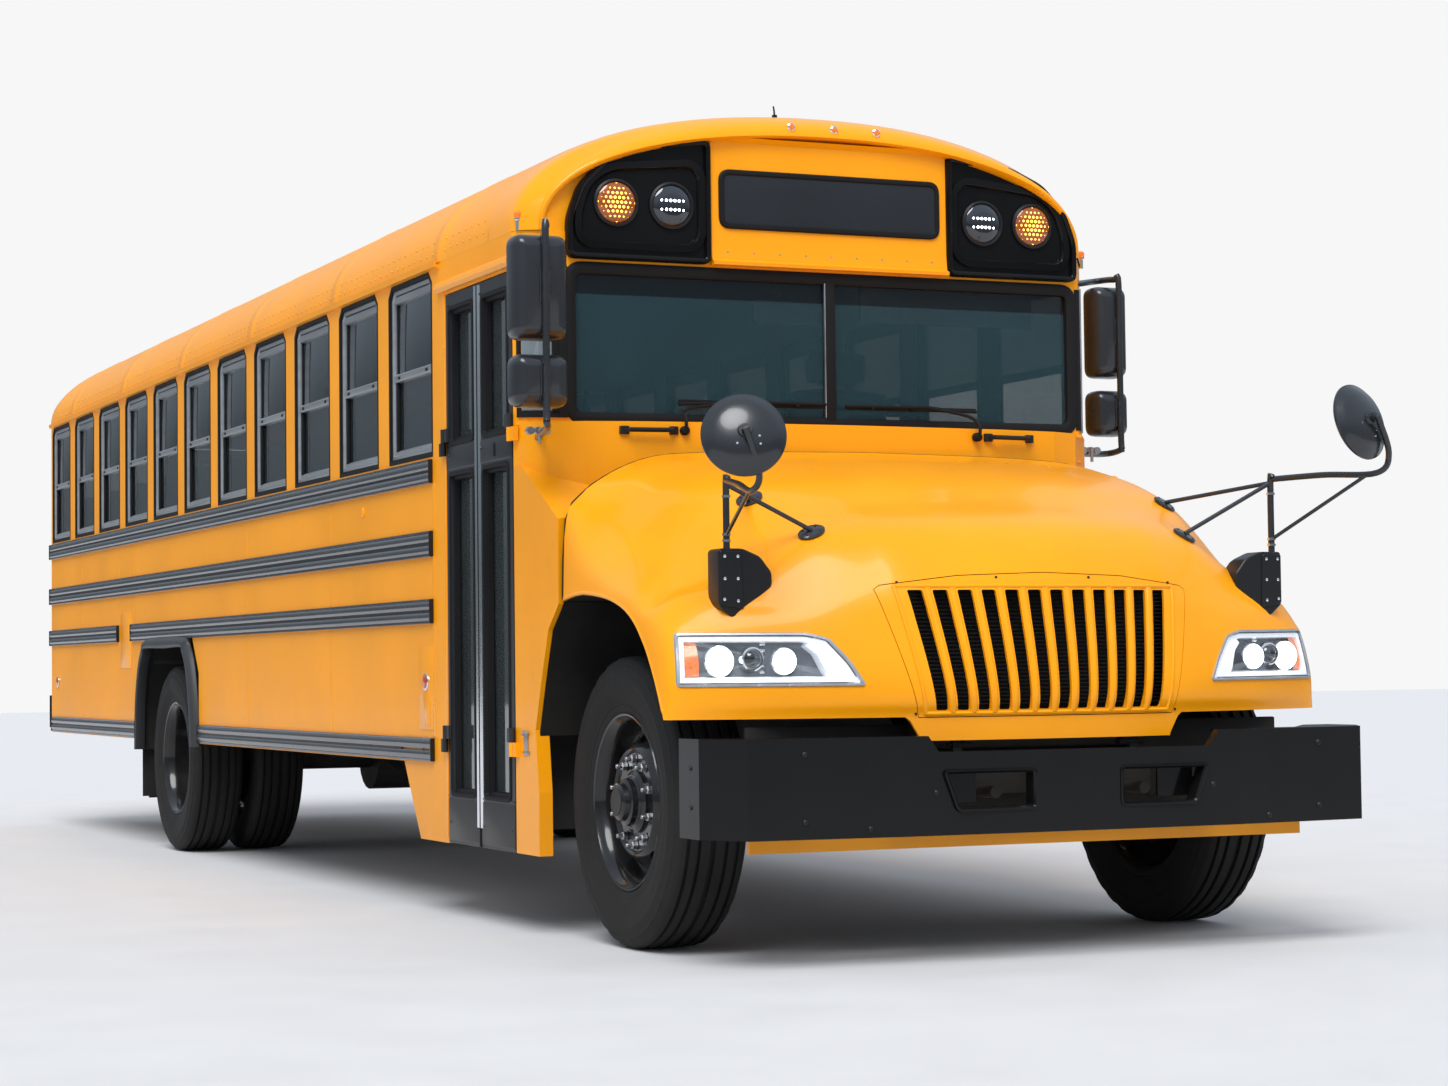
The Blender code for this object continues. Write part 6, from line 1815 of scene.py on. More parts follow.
def makeTyre(node, centreX, centreY, body):
    half = tyre["profile"]
    profile = half + [(r, -along) for r, along in reversed(half[:-1])]
    last = len(profile) - 1

    def notch(j, k):
        shoulder = min(j, last - j)
        if 16 <= shoulder <= 19 and k % 3 == 0:
            return 0.004
        return 0.0

    bm = bmesh.new()
    side = 1 if centreX > 0 else -1
    section = profile + [(0.300, -0.060), (0.300, 0.060)]
    centre = (centreX, centreY, tyre["radius"])
    addTurned(bm, section, centre, "x", tyre["steps"], side, closed=True, notch=notch)
    piece = finishPiece(node + "Tread", bm, "tyre", body, 30)
    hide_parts(node)


rim = {
    "frontX": 0.995,
    "outerX": 1.065,
    "innerX": 0.745,
    "rearY": 6.20,
    "frontNutBase": 0.074,
    "rearNutBase": -0.148,
    "boltCircle": 0.080,
    "frontHub": [
        (0.104, 0.060), (0.104, 0.084), (0.094, 0.090), (0.090, 0.094), (0.086, 0.094), (0.080, 0.100),
        (0.078, 0.118), (0.064, 0.123), (0.060, 0.139), (0.050, 0.146), (0.040, 0.148), (0.0, 0.150)
    ],
    "rearHub": [
        (0.115, -0.160), (0.115, -0.130), (0.098, -0.120), (0.095, -0.020), (0.086, -0.010), (0.070, -0.008),
        (0.066, 0.004), (0.0, 0.006)
    ],
    "front": [  # closed section of the front rim and its disc, (radius, along outward)
        (
            0.286, 0.092
        ), (0.292, 0.100), (0.296, 0.110), (0.293, 0.115), (0.286, 0.113), (0.281, 0.104), (0.275, 0.098),
        (
            0.268, 0.088
        ), (0.262, 0.060), (0.259, 0.024), (0.252, 0.014), (0.240, 0.016), (0.212, 0.048), (0.192, 0.070),
        (
            0.184, 0.082
        ), (0.176, 0.087), (0.168, 0.083), (0.163, 0.076), (0.090, 0.074), (0.090, 0.062), (0.160, 0.062),
        (0.180, 0.058), (0.204, 0.036), (0.232, 0.002), (
            0.252, -0.010
        ), (0.262, -0.050), (0.276, -0.092), (0.290, -0.104),
        (0.288, -0.094), (0.272, -0.060), (0.270, 0.050), (0.276, 0.080),
    ],
    "rear": [  # the same for a dual wheel, whose disc lies at its inner side
        (
            0.286, 0.092
        ), (0.292, 0.100), (0.296, 0.110), (0.293, 0.115), (0.286, 0.113), (0.281, 0.104), (0.275, 0.098),
        (0.268, 0.088), (0.262, 0.050), (
            0.258, -0.040
        ), (0.246, -0.078), (0.215, -0.112), (0.190, -0.138), (0.170, -0.147),
        (0.090, -0.148), (
            0.090, -0.158
        ), (0.172, -0.158), (0.196, -0.149), (0.224, -0.122), (0.252, -0.092), (0.266, -0.088),
        (0.276, -0.100), (0.290, -0.106), (0.288, -0.094), (0.272, -0.060), (0.270, 0.050), (0.276, 0.080),
    ],
    "nutCircle": 0.1430,
    "nuts": 10,
    "holes": 5,
    "holeRadius": 0.2160,
}


def discCutters(x, y, side, radius, low, high):
    shapes = []
    for k in range(rim["holes"]):
        t = 2 * math.pi * k / rim["holes"] + math.radians(22)
        bm = bmesh.new()
        across = Vector((0, math.cos(t), math.sin(t)))
        around = Vector((0, -math.sin(t), math.cos(t)))
        centre = Vector((x, y, tyre["radius"])) + across * radius
        rings = []
        for along in (low, high):
            ring = []
            for i in range(20):
                a = 2 * math.pi * i / 20
                spoke = across * (0.023 * math.cos(a)) + around * (0.036 * math.sin(a))
                ring.append(centre + spoke + Vector((side * along, 0, 0)))
            rings.append(ring)
        addLoft(bm, rings)
        shapes.append(cutter(bm))
    return shapes


def makeHub(dark, bright, x, y, side, base, hubProfile):
    z = tyre["radius"]
    addTurned(dark, hubProfile, (x, y, z), "x", 40, side)
    washer = [(0.0175, base), (0.0175, base + 0.004), (0.0, base + 0.004)]
    nut = [(0.0150, base + 0.003), (0.0150, base + 0.018), (0.0125, base + 0.021), (0.0, base + 0.021)]
    stud = [(0.0080, base + 0.018), (0.0080, base + 0.036), (0.0065, base + 0.039), (0.0, base + 0.039)]
    for k in range(rim["nuts"]):
        t = 2 * math.pi * (k + 0.5) / rim["nuts"]
        at = (x, y + rim["nutCircle"] * math.cos(t), z + rim["nutCircle"] * math.sin(t))
        addTurned(dark, washer, at, "x", 18, side)
        addTurned(bright, nut, at, "x", 6, side)
        addTurned(bright, stud, at, "x", 12, side)


def makeWheels():
    for name, side in sides:
        body = "front_wheel_" + name
        x, y = side * rim["frontX"], 0.0
        makeTyre("front_tyre_" + name, x, y, body)
        bm = bmesh.new()
        addTurned(bm, rim["front"], (x, y, tyre["radius"]), "x", 72, side, closed=True)
        disc = finishPiece("frontRim." + name, bm, "wheel", body, 30)
        solved(disc, discCutters(x, y, side, rim["holeRadius"], -0.02, 0.12))
        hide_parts("front_rim_" + name)
        dark, bright = bmesh.new(), bmesh.new()
        makeHub(dark, bright, x, y, side, rim["frontNutBase"], rim["frontHub"])
        finishPiece("frontHub." + name, dark, "wheel", body)
        finishPiece("frontNuts." + name, bright, "nutSteel", body)

        body = "rear_wheel_" + name
        y = rim["rearY"]
        makeTyre("rear_tyre_outer_" + name, side * rim["outerX"], y, body)
        makeTyre("rear_tyre_inner_" + name, side * rim["innerX"], y, body)
        for part, x, way in (("Outer", side * rim["outerX"], side), ("Inner", side * rim["innerX"], -side)):
            bm = bmesh.new()
            addTurned(bm, rim["rear"], (x, y, tyre["radius"]), "x", 72, way, closed=True)
            disc = finishPiece("rearRim" + part + "." + name, bm, "wheel", body, 30)
            solved(disc, discCutters(x, y, way, rim["holeRadius"], -0.18, -0.04))
        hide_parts("rear_rims_" + name)
        dark, bright = bmesh.new(), bmesh.new()
        makeHub(dark, bright, side * rim["outerX"], y, side, rim["rearNutBase"], rim["rearHub"])
        finishPiece("rearHub." + name, dark, "wheel", body)
        finishPiece("rearNuts." + name, bright, "nutSteel", body)
        bm = bmesh.new()
        for k in range(8):
            t = 2 * math.pi * k / 8
            up, ahead = rim["boltCircle"] * math.sin(t), rim["boltCircle"] * math.cos(t)
            at = (side * rim["outerX"], y + ahead, tyre["radius"] + up)
            addTurned(bm, [(0.009, -0.012), (0.009, -0.002), (0.0, 0.0)], at, "x", 6, side)
        finishPiece("axleBolts." + name, bm, "steel", body)
    print("wheels made")


# Bumpers
bumperTrim = {
    "bolts": [(0.50, 0.535), (0.93, 0.66), (0.93, 0.455), (0.72, 0.43)],
}


def makeBumperTrim():
    softenEdges("front_bumper", 0.009, 3, 12)
    softenEdges("rear_bumper", 0.010, 3, 20)
    bm = bmesh.new()
    for side in (-1, 1):
        for x, z in bumperTrim["bolts"]:
            y = -1.06 + 0.010 * min(1, x / 0.6) + 0.05 * max(0.0, (x - 0.6) / 0.51)
            addTurned(
                bm, [(0.010, 0.002), (0.010, -0.002), (0.006, -0.006), (0.0, -0.007)], (side * x, y, z), "y",
                14
            )
        for z in (0.50, 0.62):
            centre = (side * 1.204, -0.78, z)
            addTurned(bm, [(0.009, 0.0), (0.007, 0.005), (0.0, 0.006)], centre, "x", 12, side)
    finishPiece("bumperBolts", bm, "satinBlack")
    bm = bmesh.new()  # rolled lips around the two tow openings
    for side in (-1, 1):
        hole = [(0.475, 0.60), (0.155, 0.60), (0.155, 0.48), (0.43, 0.48)]
        outline = filleted([(side * x, z) for x, z in hole], 0.014, 4)
        addFrame(
            bm, outline,
            [
                (-0.006, -1.058), (-0.005, -1.0635), (0.002, -1.0645), (0.008, -1.058), (0.008, -1.010),
                (0.002, -1.010), (0.002, -1.050)
            ],
            "y"
        )
    finishPiece("towLips", bm, "glossBlack")
    bm = bmesh.new()  # dark ducting behind the bumper and below the nose
    addBox(bm, (-0.98, -0.70, 0.44), (0.98, -0.675, 0.74), 0.006)
    addBox(bm, (-0.60, -0.86, 0.46), (0.60, -0.84, 0.64), 0.006)
    for x in (-0.27, 0.27):
        addTube(bm, [(x, -1.01, 0.53), (x, -0.97, 0.53), (x, -0.90, 0.53)], 0.020, 12, 1)
    finishPiece("noseDucting", bm, "chassis")
    print("bumper trim made")


# Stop arm, rear of the body and its lamps
stopArm = {
    "x": 1.256,
    "hinge": (1.90, 1.50),  # y and z
    "reach": 0.30,
    "radius": 0.235,
    "lampRise": 0.13,
    "hornRise": 0.048,
}


def makeStopArm():
    x = stopArm["x"]
    hingeY, hingeZ = stopArm["hinge"]
    middleY = stopArm["reach"] + hingeY
    turns = [math.radians(22.5 + 45 * k) for k in range(8)]
    radius = stopArm["radius"]
    points = [(middleY + radius * math.cos(t), hingeZ + radius * math.sin(t)) for t in turns]
    bm = bmesh.new()
    section = [(0.004, x - 0.006), (0.0, x - 0.004), (0.0, x + 0.004), (0.004, x + 0.006)]
    addDome(bm, filleted(points, 0.012, 3), section, "x")
    for z in (hingeZ - stopArm["hornRise"], hingeZ + stopArm["hornRise"]):
        addBox(bm, (x - 0.011, hingeY + 0.005, z - 0.012), (x + 0.011, hingeY + 0.16, z + 0.012), 0.004)
    addTurned(bm, [(0.012, -0.058), (0.012, 0.058)], (x, hingeY, hingeZ), "z", 20)
    arm = finishPiece("stopArmBlade", bm, "redPaint", "stop_arm")
    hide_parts("stop_arm")
    bm = bmesh.new()
    for way in (-1, 1):
        near, far = x + way * 0.005, x + way * 0.0072
        addFrame(bm, points, [(0.008, near), (0.008, far), (0.022, far), (0.022, near)], "x")
    finishPiece("stopArmBorder", bm, "whitePaint", "stop_arm")
    bm, base = bmesh.new(), bmesh.new()
    for way in (-1, 1):
        for z in (hingeZ + stopArm["lampRise"], hingeZ - stopArm["lampRise"]):
            addTurned(base, [(0.034, 0.005), (0.034, 0.010), (0.030, 0.011)], (x, middleY, z), "x", 24, way)
            addTurned(bm, [(0.030, 0.009), (0.024, 0.014), (0.0, 0.016)], (x, middleY, z), "x", 24, way)
    finishPiece("stopArmLampRims", base, "satinBlack", "stop_arm")
    finishPiece("stopArmLamps", bm, "redLens", "stop_arm")
    print("stop arm made")


rear = {
    "y": 9.495,
    "lamps": [  # x, z, radius and lens
        (0.80, 1.30, 0.085, "redLens"),
        (1.00, 1.30, 0.055, "amberLens"),
        (0.80, 1.08, 0.055, "redLens"),
        (1.00, 1.08, 0.045, "clearRear"),
    ],
    "warning": [(0.639, "redLens"), (0.855, "amberLens")],
    "warningZ": 2.56,
    "warningPanel": ((0.52, 0.98), (2.455, 2.665)),
    "markerX": (-0.17, 0.0, 0.17),
    "markerZ": 2.80,
    "windows": ((0.47, 1.02), (1.78, 2.36)),
    "doorPanes": ((1.16, 1.66), (1.80, 2.28)),
    "doorHalf": 0.333,
    "doorZ": (1.04, 2.36),
    "handleZ": 1.725,
    "railX": (0.40, 1.10),
}


def makeRear():
    y = rear["y"]
    lenses = {finish: bmesh.new() for finish in ("redLens", "amberLens", "clearRear")}
    rims = bmesh.new()
    for side in (-1, 1):
        for x, z, radius, finish in rear["lamps"]:
            rimProfile = [(radius + 0.006, 0.0), (radius + 0.006, 0.012), (radius - 0.001, 0.015)]
            addTurned(rims, rimProfile, (side * x, y, z), "y", 32)
            profile = [(radius, 0.011), (radius * 0.93, 0.019), (radius * 0.6, 0.024), (0.0, 0.026)]
            addTurned(lenses[finish], profile, (side * x, y, z), "y", 32)
        for x, finish in rear["warning"]:
            centre = (side * x, y, rear["warningZ"])
            addTurned(rims, [(0.086, 0.010), (0.086, 0.036), (0.080, 0.038)], centre, "y", 32)
            addTurned(lenses[finish], [(0.080, 0.024), (0.072, 0.034), (0.0, 0.040)], centre, "y", 32)
    for x in rear["markerX"]:
        centre = (x, y + 0.004, rear["markerZ"])
        addTurned(lenses["redLens"], [(0.016, 0.0), (0.013, 0.012), (0.0, 0.016)], centre, "y", 16)
    finishPiece("rearLampRims", rims, "satinBlack")
    for finish, bm in lenses.items():
        finishPiece("rearLenses." + finish, bm, finish)
    bm = bmesh.new()
    for side in (-1, 1):
        xs, zs = rear["warningPanel"]
        outline = filleted(rectangle(sorted(side * x for x in xs), zs), 0.04, 5)
        addDome(bm, outline, [(0.0, y - 0.001), (0.0, y + 0.010), (0.006, y + 0.014), (0.02, y + 0.014)], "y")
    finishPiece("rearLampPanels", bm, "glossBlack")

    def addSeal(bm, xs, zs, proud, depth):
        outline = filleted(rectangle(xs, zs), 0.03, 4)
        section = [(-0.014, y + proud), (-0.012, y + proud + 0.006), (0.004, y + proud + 0.006)]
        addFrame(bm, outline, section + [(0.008, y - depth), (0.0, y - depth - 0.002)], "y")

    bm = bmesh.new()  # seals around the rear windows and the emergency door's panes
    for side in (-1, 1):
        addSeal(bm, sorted(side * x for x in rear["windows"][0]), rear["windows"][1], 0.0, 0.016)
    finishPiece("rearSeals", bm, "gasket")
    bm = bmesh.new()
    for zs in rear["doorPanes"]:
        addSeal(bm, (-0.25, 0.25), zs, 0.003, 0.030)
    finishPiece("emergencySeals", bm, "gasket", "emergency_door")
    bm = bmesh.new()
    z = rear["handleZ"]
    addBox(bm, (0.20, y + 0.002, z - 0.03), (0.30, y + 0.012, z + 0.03), 0.004)
    grip = [(0.28, y + 0.010, z), (0.28, y + 0.040, z), (0.20, y + 0.045, z), (0.12, y + 0.045, z - 0.003)]
    addTube(bm, grip, 0.009, 12, 3)
    finishPiece("emergencyHandle", bm, "chrome", "emergency_door")
    bm = bmesh.new()
    low, high = rear["doorZ"]
    half = rear["doorHalf"]
    for foot, top in ((low + 0.012, low + 0.030), (high - 0.024, high - 0.006)):
        addBox(bm, (-half, y + 0.003, foot), (half, y + 0.0065, top), 0.0015)
    for x in (-0.325, 0.309):
        addBox(bm, (x, y + 0.003, low + 0.03), (x + 0.016, y + 0.0065, high - 0.024), 0.0015)
    finishPiece("emergencyBeads", bm, "paint", "emergency_door")
    bm = bmesh.new()  # the top rub rail goes on across the back
    low, high = rails["bands"][0]
    section = [
        (y - 0.001, low), (y + 0.012, low + 0.002), (y + 0.013, low + 0.02), (y + 0.008, (low + high) / 2),
        (y + 0.013, high - 0.02), (y + 0.012, high - 0.002), (y - 0.001, high),
    ]
    for side in (-1, 1):
        addPrism(bm, section, "x", *sorted(side * x for x in rear["railX"]))
    finishPiece("rearRails", bm, "ribBlack")
    print("rear of the body made")


# Seats and inside
bench = {
    "x": (0.30, 1.15),
    "depth": 0.42,
    "firstY": 2.20,
    "rows": 10,
    "pitch": 0.7125,
    "seatZ": 1.46,
    "backZ": 2.03,
    "seatThick": 0.13,
    "backThick": 0.085,
    "puff": 0.014,
    "legX": 0.42,
    "floorZ": 1.035,
}
driverSeat = {
    "pads": {
        "Cushion": ((0.36, 1.42, 1.50), (0.84, 1.90, 1.62)),
        "Back": ((0.37, 1.82, 1.58), (0.83, 1.94, 2.08)),
        "Head": ((0.46, 1.835, 2.09), (0.74, 1.925, 2.24)),
    },
    "puff": 0.018,
    "post": (0.60, 1.66, 0.0),
    "bellows": [1.16 + 0.055 * k for k in range(5)],
}


def softPad(name, low, high, puff):  # a rounded box with a bulge on each face and a few soft creases
    bm = bmesh.new()
    size = [b - a for a, b in zip(low, high)]
    middle = Vector([(a + b) / 2 for a, b in zip(low, high)])
    bmesh.ops.create_cube(bm, size=1)
    bmesh.ops.subdivide_edges(bm, edges=bm.edges, cuts=9, use_grid_fill=True)
    for vert in bm.verts:
        u = Vector(vert.co) * 2
        square = Vector([math.copysign(min(1.0, abs(c)), c) for c in u])
        rounding = []
        for i in range(3):
            others = [square[j] for j in range(3) if j != i]
            bulge = (1 - others[0] ** 2) * (1 - others[1] ** 2)
            near = max(abs(others[0]), abs(others[1]))
            pulledIn = 1 - 0.72 * max(0.0, near - 0.86) ** 2
            rounding.append(square[i] * (size[i] / 2 - puff) * pulledIn + square[i] * puff * bulge)
        crease = math.sin(u.x * 9 + u.z * 3) * math.sin(u.z * 7 - u.x * 2) * 0.0012
        vert.co = middle + Vector(rounding) * (1 + crease)
    pad = objectFrom(bm, name)
    pad.data.materials.append(finishes["vinyl"])
    pad.data.shade_smooth()
    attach(pad, "chassis")
    return pad


def makeSeats():
    count = 0
    depth, low = bench["depth"], bench["seatZ"] - bench["seatThick"]
    for name, side in sides:
        legs = bmesh.new()
        xs = sorted(side * x for x in bench["x"])
        for row in range(bench["rows"]):
            y = bench["firstY"] + bench["pitch"] * row
            backY = y + depth - bench["backThick"] - 0.01
            parts = {
                "Cushion": ((xs[0], y, low), (xs[1], y + depth - 0.05, bench["seatZ"])),
                "Back": ((xs[0], backY, bench["seatZ"] - 0.06), (xs[1], y + depth, bench["backZ"])),
            }
            for part, corners in parts.items():
                pad = softPad("bench" + part + "." + name + str(row), *corners, bench["puff"])
                count += 1
                if row == 0 and part == "Cushion":
                    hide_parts("seats_" + name)
            x, foot = side * bench["legX"], bench["floorZ"]
            for along in (y + 0.06, y + depth - 0.06):
                addTube(legs, [(x, along, foot), (x, along, low + 0.01)], 0.014, 10, 1)
            addBox(
                legs, (x - 0.03, y + 0.02, foot - 0.004), (x + 0.03, y + depth - 0.02, foot + 0.004), 0.002
            )
            for along in (y + 0.03, y + depth - 0.10):
                addBox(
                    legs, (xs[0] + 0.03, along, low - 0.022), (xs[1] - 0.03, along + 0.02, low + 0.004), 0.004
                )
        finishPiece("benchFrames." + name, legs, "satinBlack")
    for part, corners in driverSeat["pads"].items():
        pad = softPad("driver" + part, *corners, driverSeat["puff"])
        if part == "Cushion":
            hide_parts("driver_seat")
    bm = bmesh.new()
    post = driverSeat["post"]
    addBox(bm, (0.48, 1.50, 1.035), (0.72, 1.80, 1.10), 0.01)
    addTurned(bm, [(0.07, 1.09), (0.07, 1.45), (0.10, 1.48), (0.10, 1.50)], post, "z", 24)
    for z in driverSeat["bellows"]:
        profile = [(0.072, z - 0.02), (0.095, z - 0.01), (0.095, z + 0.01), (0.072, z + 0.02)]
        addTurned(bm, profile, post, "z", 24)
    addBox(bm, (0.40, 1.46, 1.475), (0.80, 1.86, 1.503), 0.006)
    finishPiece("driverSeatBase", bm, "satinBlack")
    print("seats made:", count, "bench pads")


inside = {
    "liningX": (1.1675, 1.1695),
    "liningFrontY": {"right": 1.60, "left": 1.00},
    "liningBackY": 9.40,
    "ceilingHalf": 1.165,
    "ceilingDrop": 0.060,
    "lampY": [1.9 + 1.425 * k for k in range(6)],
    "dash": [
        (0.775, 1.43), (1.010, 1.43), (1.012, 1.60), (0.985, 1.66), (0.94, 1.700), (0.84, 1.705),
        (0.775, 1.66)
    ],
    "dashX": (0.13, 0.99),
    "dialHood": [(0.86, 1.69), (1.00, 1.69), (1.02, 1.725), (0.96, 1.765), (0.87, 1.755)],
    "dialHoodX": (0.40, 0.82),
    "dials": ((0.50, 1.665, 0.040), (0.61, 1.675, 0.052), (0.72, 1.665, 0.040)),
    "dialY": 1.004,
    "barrierZ": (1.04, 1.12),  # foot of the rails and of the panels
}
steering = {
    "middle": (0.60, 1.20, 1.74),
    "tilt": 30.0,
    "radius": 0.225,
    "thick": 0.014,
    "spokes": (90, 210, 330),
    "grips": 28,
}


def makeInside():
    bm = bmesh.new()  # side and ceiling linings
    near, far = inside["liningX"]
    back = inside["liningBackY"]
    for name, side in sides:
        front = inside["liningFrontY"][name]
        y = windows["firstY"] + windows["width"]
        strips = [
            (y + windows["pitch"] * i + 0.01, y + windows["pitch"] * i + 0.167)
            for i in range(windows["count"] - 1)
        ]
        spans = [(front, back, 1.125, 1.755), (front, back, 2.462, 2.50)]
        spans += [(start, end, 1.75, 2.47) for start, end in strips]
        for start, end, low, high in spans:
            addBox(bm, (side * near, start, low), (side * far, end, high), 0.0005, 1)
    widths = [inside["ceilingHalf"]] * 2
    addSheet(bm, [roofArch(y, widths, roof["rise"] - inside["ceilingDrop"]) for y in (1.05, 9.15)])
    finishPiece("linings", bm, "lining")
    bm = bmesh.new()  # overhead lights
    for y in inside["lampY"]:
        addBox(bm, (-0.06, y, 2.905), (0.06, y + 0.35, 2.925), 0.006)
    finishPiece("ceilingLamps", bm, "whitePaint")

    bm = bmesh.new()  # dash with a hood over the dials, and its lower panel
    addPrism(bm, inside["dash"], "x", *inside["dashX"])
    addPrism(bm, inside["dialHood"], "x", *inside["dialHoodX"])
    addBox(bm, (0.22, 0.80, 1.04), (0.98, 0.86, 1.44), 0.012)
    body = finishPiece("dashBody", bm, "dash")
    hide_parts("dashboard")
    softened = body.modifiers.new("softEdges", "BEVEL")
    softened.width = 0.008
    softened.segments = 3
    dials, needles = bmesh.new(), bmesh.new()
    for x, z, r in inside["dials"]:
        y = inside["dialY"]
        profile = [(r, 0.002), (r, 0.008), (r - 0.006, 0.008), (r - 0.008, 0.003), (0.0, 0.003)]
        addTurned(dials, profile, (x, y, z), "y", 28)
        addBox(needles, (x - 0.0015, y + 0.003, z), (x + 0.0015, y + 0.005, z + r * 0.7))
    for k in range(8):
        addBox(needles, (0.17 + 0.026 * k, 1.010, 1.52), (0.187 + 0.026 * k, 1.017, 1.55), 0.002)
    finishPiece("dials", dials, "chrome")
    finishPiece("switches", needles, "whitePaint")

    bm = bmesh.new()  # heater box with its grille on the door side
    addBox(bm, (-0.50, 0.62, 1.04), (0.10, 0.86, 1.50), 0.03, 3)
    addBox(bm, (-0.46, 0.86, 1.12), (0.06, 0.866, 1.42), 0.002)
    for k in range(9):
        addBox(bm, (-0.44, 0.864, 1.15 + 0.028 * k), (0.04, 0.872, 1.160 + 0.028 * k), 0.001)
    finishPiece("heaterBox", bm, "dash")

    tilt = math.radians(steering["tilt"])
    middle = Vector(steering["middle"])
    turn = Vector((0, 0, 1)).rotation_difference(Vector((0, math.sin(tilt), math.cos(tilt))))

    def onWheel(reach, angle, rise):
        return middle + turn @ Vector((reach * math.cos(angle), reach * math.sin(angle), rise))

    bm = bmesh.new()
    rings = []
    for k in range(56):
        t = 2 * math.pi * k / 56
        grip = 0.0012 * math.cos(t * steering["grips"])
        ring = []
        for j in range(12):
            a = 2 * math.pi * j / 12
            reach = steering["radius"] + steering["thick"] * math.cos(a) + grip
            ring.append(onWheel(reach, t, (steering["thick"] + grip) * math.sin(a)))
        rings.append(ring)
    addLoft(bm, rings + rings[:1], closedEnds=False)
    for angle in steering["spokes"]:
        t = math.radians(angle)
        tip, root = onWheel(0.222, t, 0.0), onWheel(0.03, t, -0.020)
        addTube(bm, [root, root.lerp(tip, 0.5), tip], (0.016, 0.010), 10, 3)
    for rises, radii in (((-0.038, -0.012), (0.050, 0.056)), ((-0.014, 0.010), (0.052, 0.036))):
        addTube(bm, [onWheel(0.0, 0.0, rise) for rise in rises], radii, 24, 1)
    bmesh.ops.remove_doubles(bm, verts=bm.verts, dist=0.00002)
    wheel = finishPiece("steeringRim", bm, "dash", "steering_wheel")
    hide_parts("steering_wheel")

    foot, low = inside["barrierZ"]
    bm = bmesh.new()  # rails and panels of the barriers behind the driver and the step, sun visor
    addTube(bm, [(0.28, 2.06, foot), (0.28, 2.06, 1.95), (0.32, 2.06, 2.0), (1.10, 2.06, 2.0)], 0.015, 12, 5)
    addTube(
        bm, [(-0.62, 1.60, foot), (-0.62, 1.60, 1.92), (-0.66, 1.60, 1.98), (-1.14, 1.60, 1.98)], 0.015, 12, 5
    )
    finishPiece("barrierRails", bm, "satinBlack")
    bm = bmesh.new()
    addBox(bm, (0.32, 2.052, low), (1.14, 2.068, 1.86), 0.005)
    addBox(bm, (-1.14, 1.592, low), (-0.66, 1.608, 1.84), 0.005)
    finishPiece("barrierPanels", bm, "lining")
    bm = bmesh.new()
    addBox(bm, (0.18, 0.80, 2.22), (0.92, 0.812, 2.36), 0.005)
    addTube(bm, [(0.20, 0.80, 2.36), (0.90, 0.80, 2.36)], 0.007, 10, 1)
    addTube(bm, [(-0.16, 0.79, 2.30), (-0.16, 0.80, 2.38)], 0.006, 8, 1)
    mirrorOutline = filleted(rectangle((-0.26, 0.04), (2.20, 2.29)), 0.02, 3)
    addDome(bm, mirrorOutline, [(0.0, 0.80), (0.0, 0.82), (0.006, 0.826)], "y")
    finishPiece("sunVisor", bm, "dash")
    print("inside made")


# Underbody
wheelHouse = {
    "frontArch": [(0.566, 0.700), (0.50, 0.880), (0.423, 1.066), (0.342, 1.131), (0.306, 1.165)],
    "flare": [
        (5.500, 0.56), (5.530, 0.78), (5.600, 0.97), (5.690, 1.075), (5.80, 1.118),
        (6.60, 1.118), (6.71, 1.075), (6.80, 0.97), (6.868, 0.78), (6.890, 0.52),
    ],
    "band": 0.062,
    "flareSection": (  # share of the band inwards, and x
        (0.0, 1.2215), (
            0.04, 1.236
        ), (0.35, 1.256), (0.8, 1.262), (1.0, 1.256), (1.02, 1.235), (0.85, 1.205), (0.25, 1.205),
    ),
    "middle": (6.195, 0.50),
    "frontMiddle": (0.0, 0.485),
    "frontX": (0.66, 1.205),
    "rearX": (0.47, 1.215),
    "flapX": (0.60, 1.20),
}


def makeWheelHouses():
    outer = spline([Vector((0, y, z)) for y, z in wheelHouse["flare"]], 4)
    middle = Vector((0, *wheelHouse["middle"]))
    front = Vector((0, *wheelHouse["frontMiddle"]))
    for name, side in sides:
        bm = bmesh.new()
        rings = []
        for point in outer:
            inward = (middle - point).normalized() * wheelHouse["band"]
            spots = [(x, point + inward * share) for share, x in wheelHouse["flareSection"]]
            rings.append([(side * x, spot.y, spot.z) for x, spot in spots])
        addLoft(bm, rings)
        finishPiece("archFlare." + name, bm, "flareRubber", angle=50)
        bm = bmesh.new()  # liner of the front arch on the cowl
        line = [Vector((0, y, z)) for y, z in wheelHouse["frontArch"]]
        for thick in (0.006, 0.010):
            points = [p + (front - p).normalized() * thick for p in line]
            addSheet(bm, [[(side * x, p.y, p.z) for p in points] for x in wheelHouse["frontX"]])
        finishPiece("cowlLiner." + name, bm, "chassis")
        bm = bmesh.new()  # dark housing over the rear wheels
        line = [(y + (0.02 if y < 6.2 else -0.02), z - 0.004) for y, z in wheelHouse["flare"]]
        near, far = wheelHouse["rearX"]
        addSheet(bm, [[(side * x, y, z) for y, z in line] for x in (near, far)])
        addSheet(bm, [[(side * x, y, z + 0.006) for y, z in line] for x in (far, near)])
        finishPiece("wheelHousing." + name, bm, "chassis")
        bm = bmesh.new()  # mud flap behind the rear wheels
        near, far = (side * x for x in wheelHouse["flapX"])
        addBox(bm, (near, 6.905, 0.26), (far, 6.915, 0.74), 0.003)
        addBox(bm, (near, 6.900, 0.72), (far, 6.922, 0.76), 0.003)
        finishPiece("mudFlap." + name, bm, "tyre")
    print("wheel housings made")


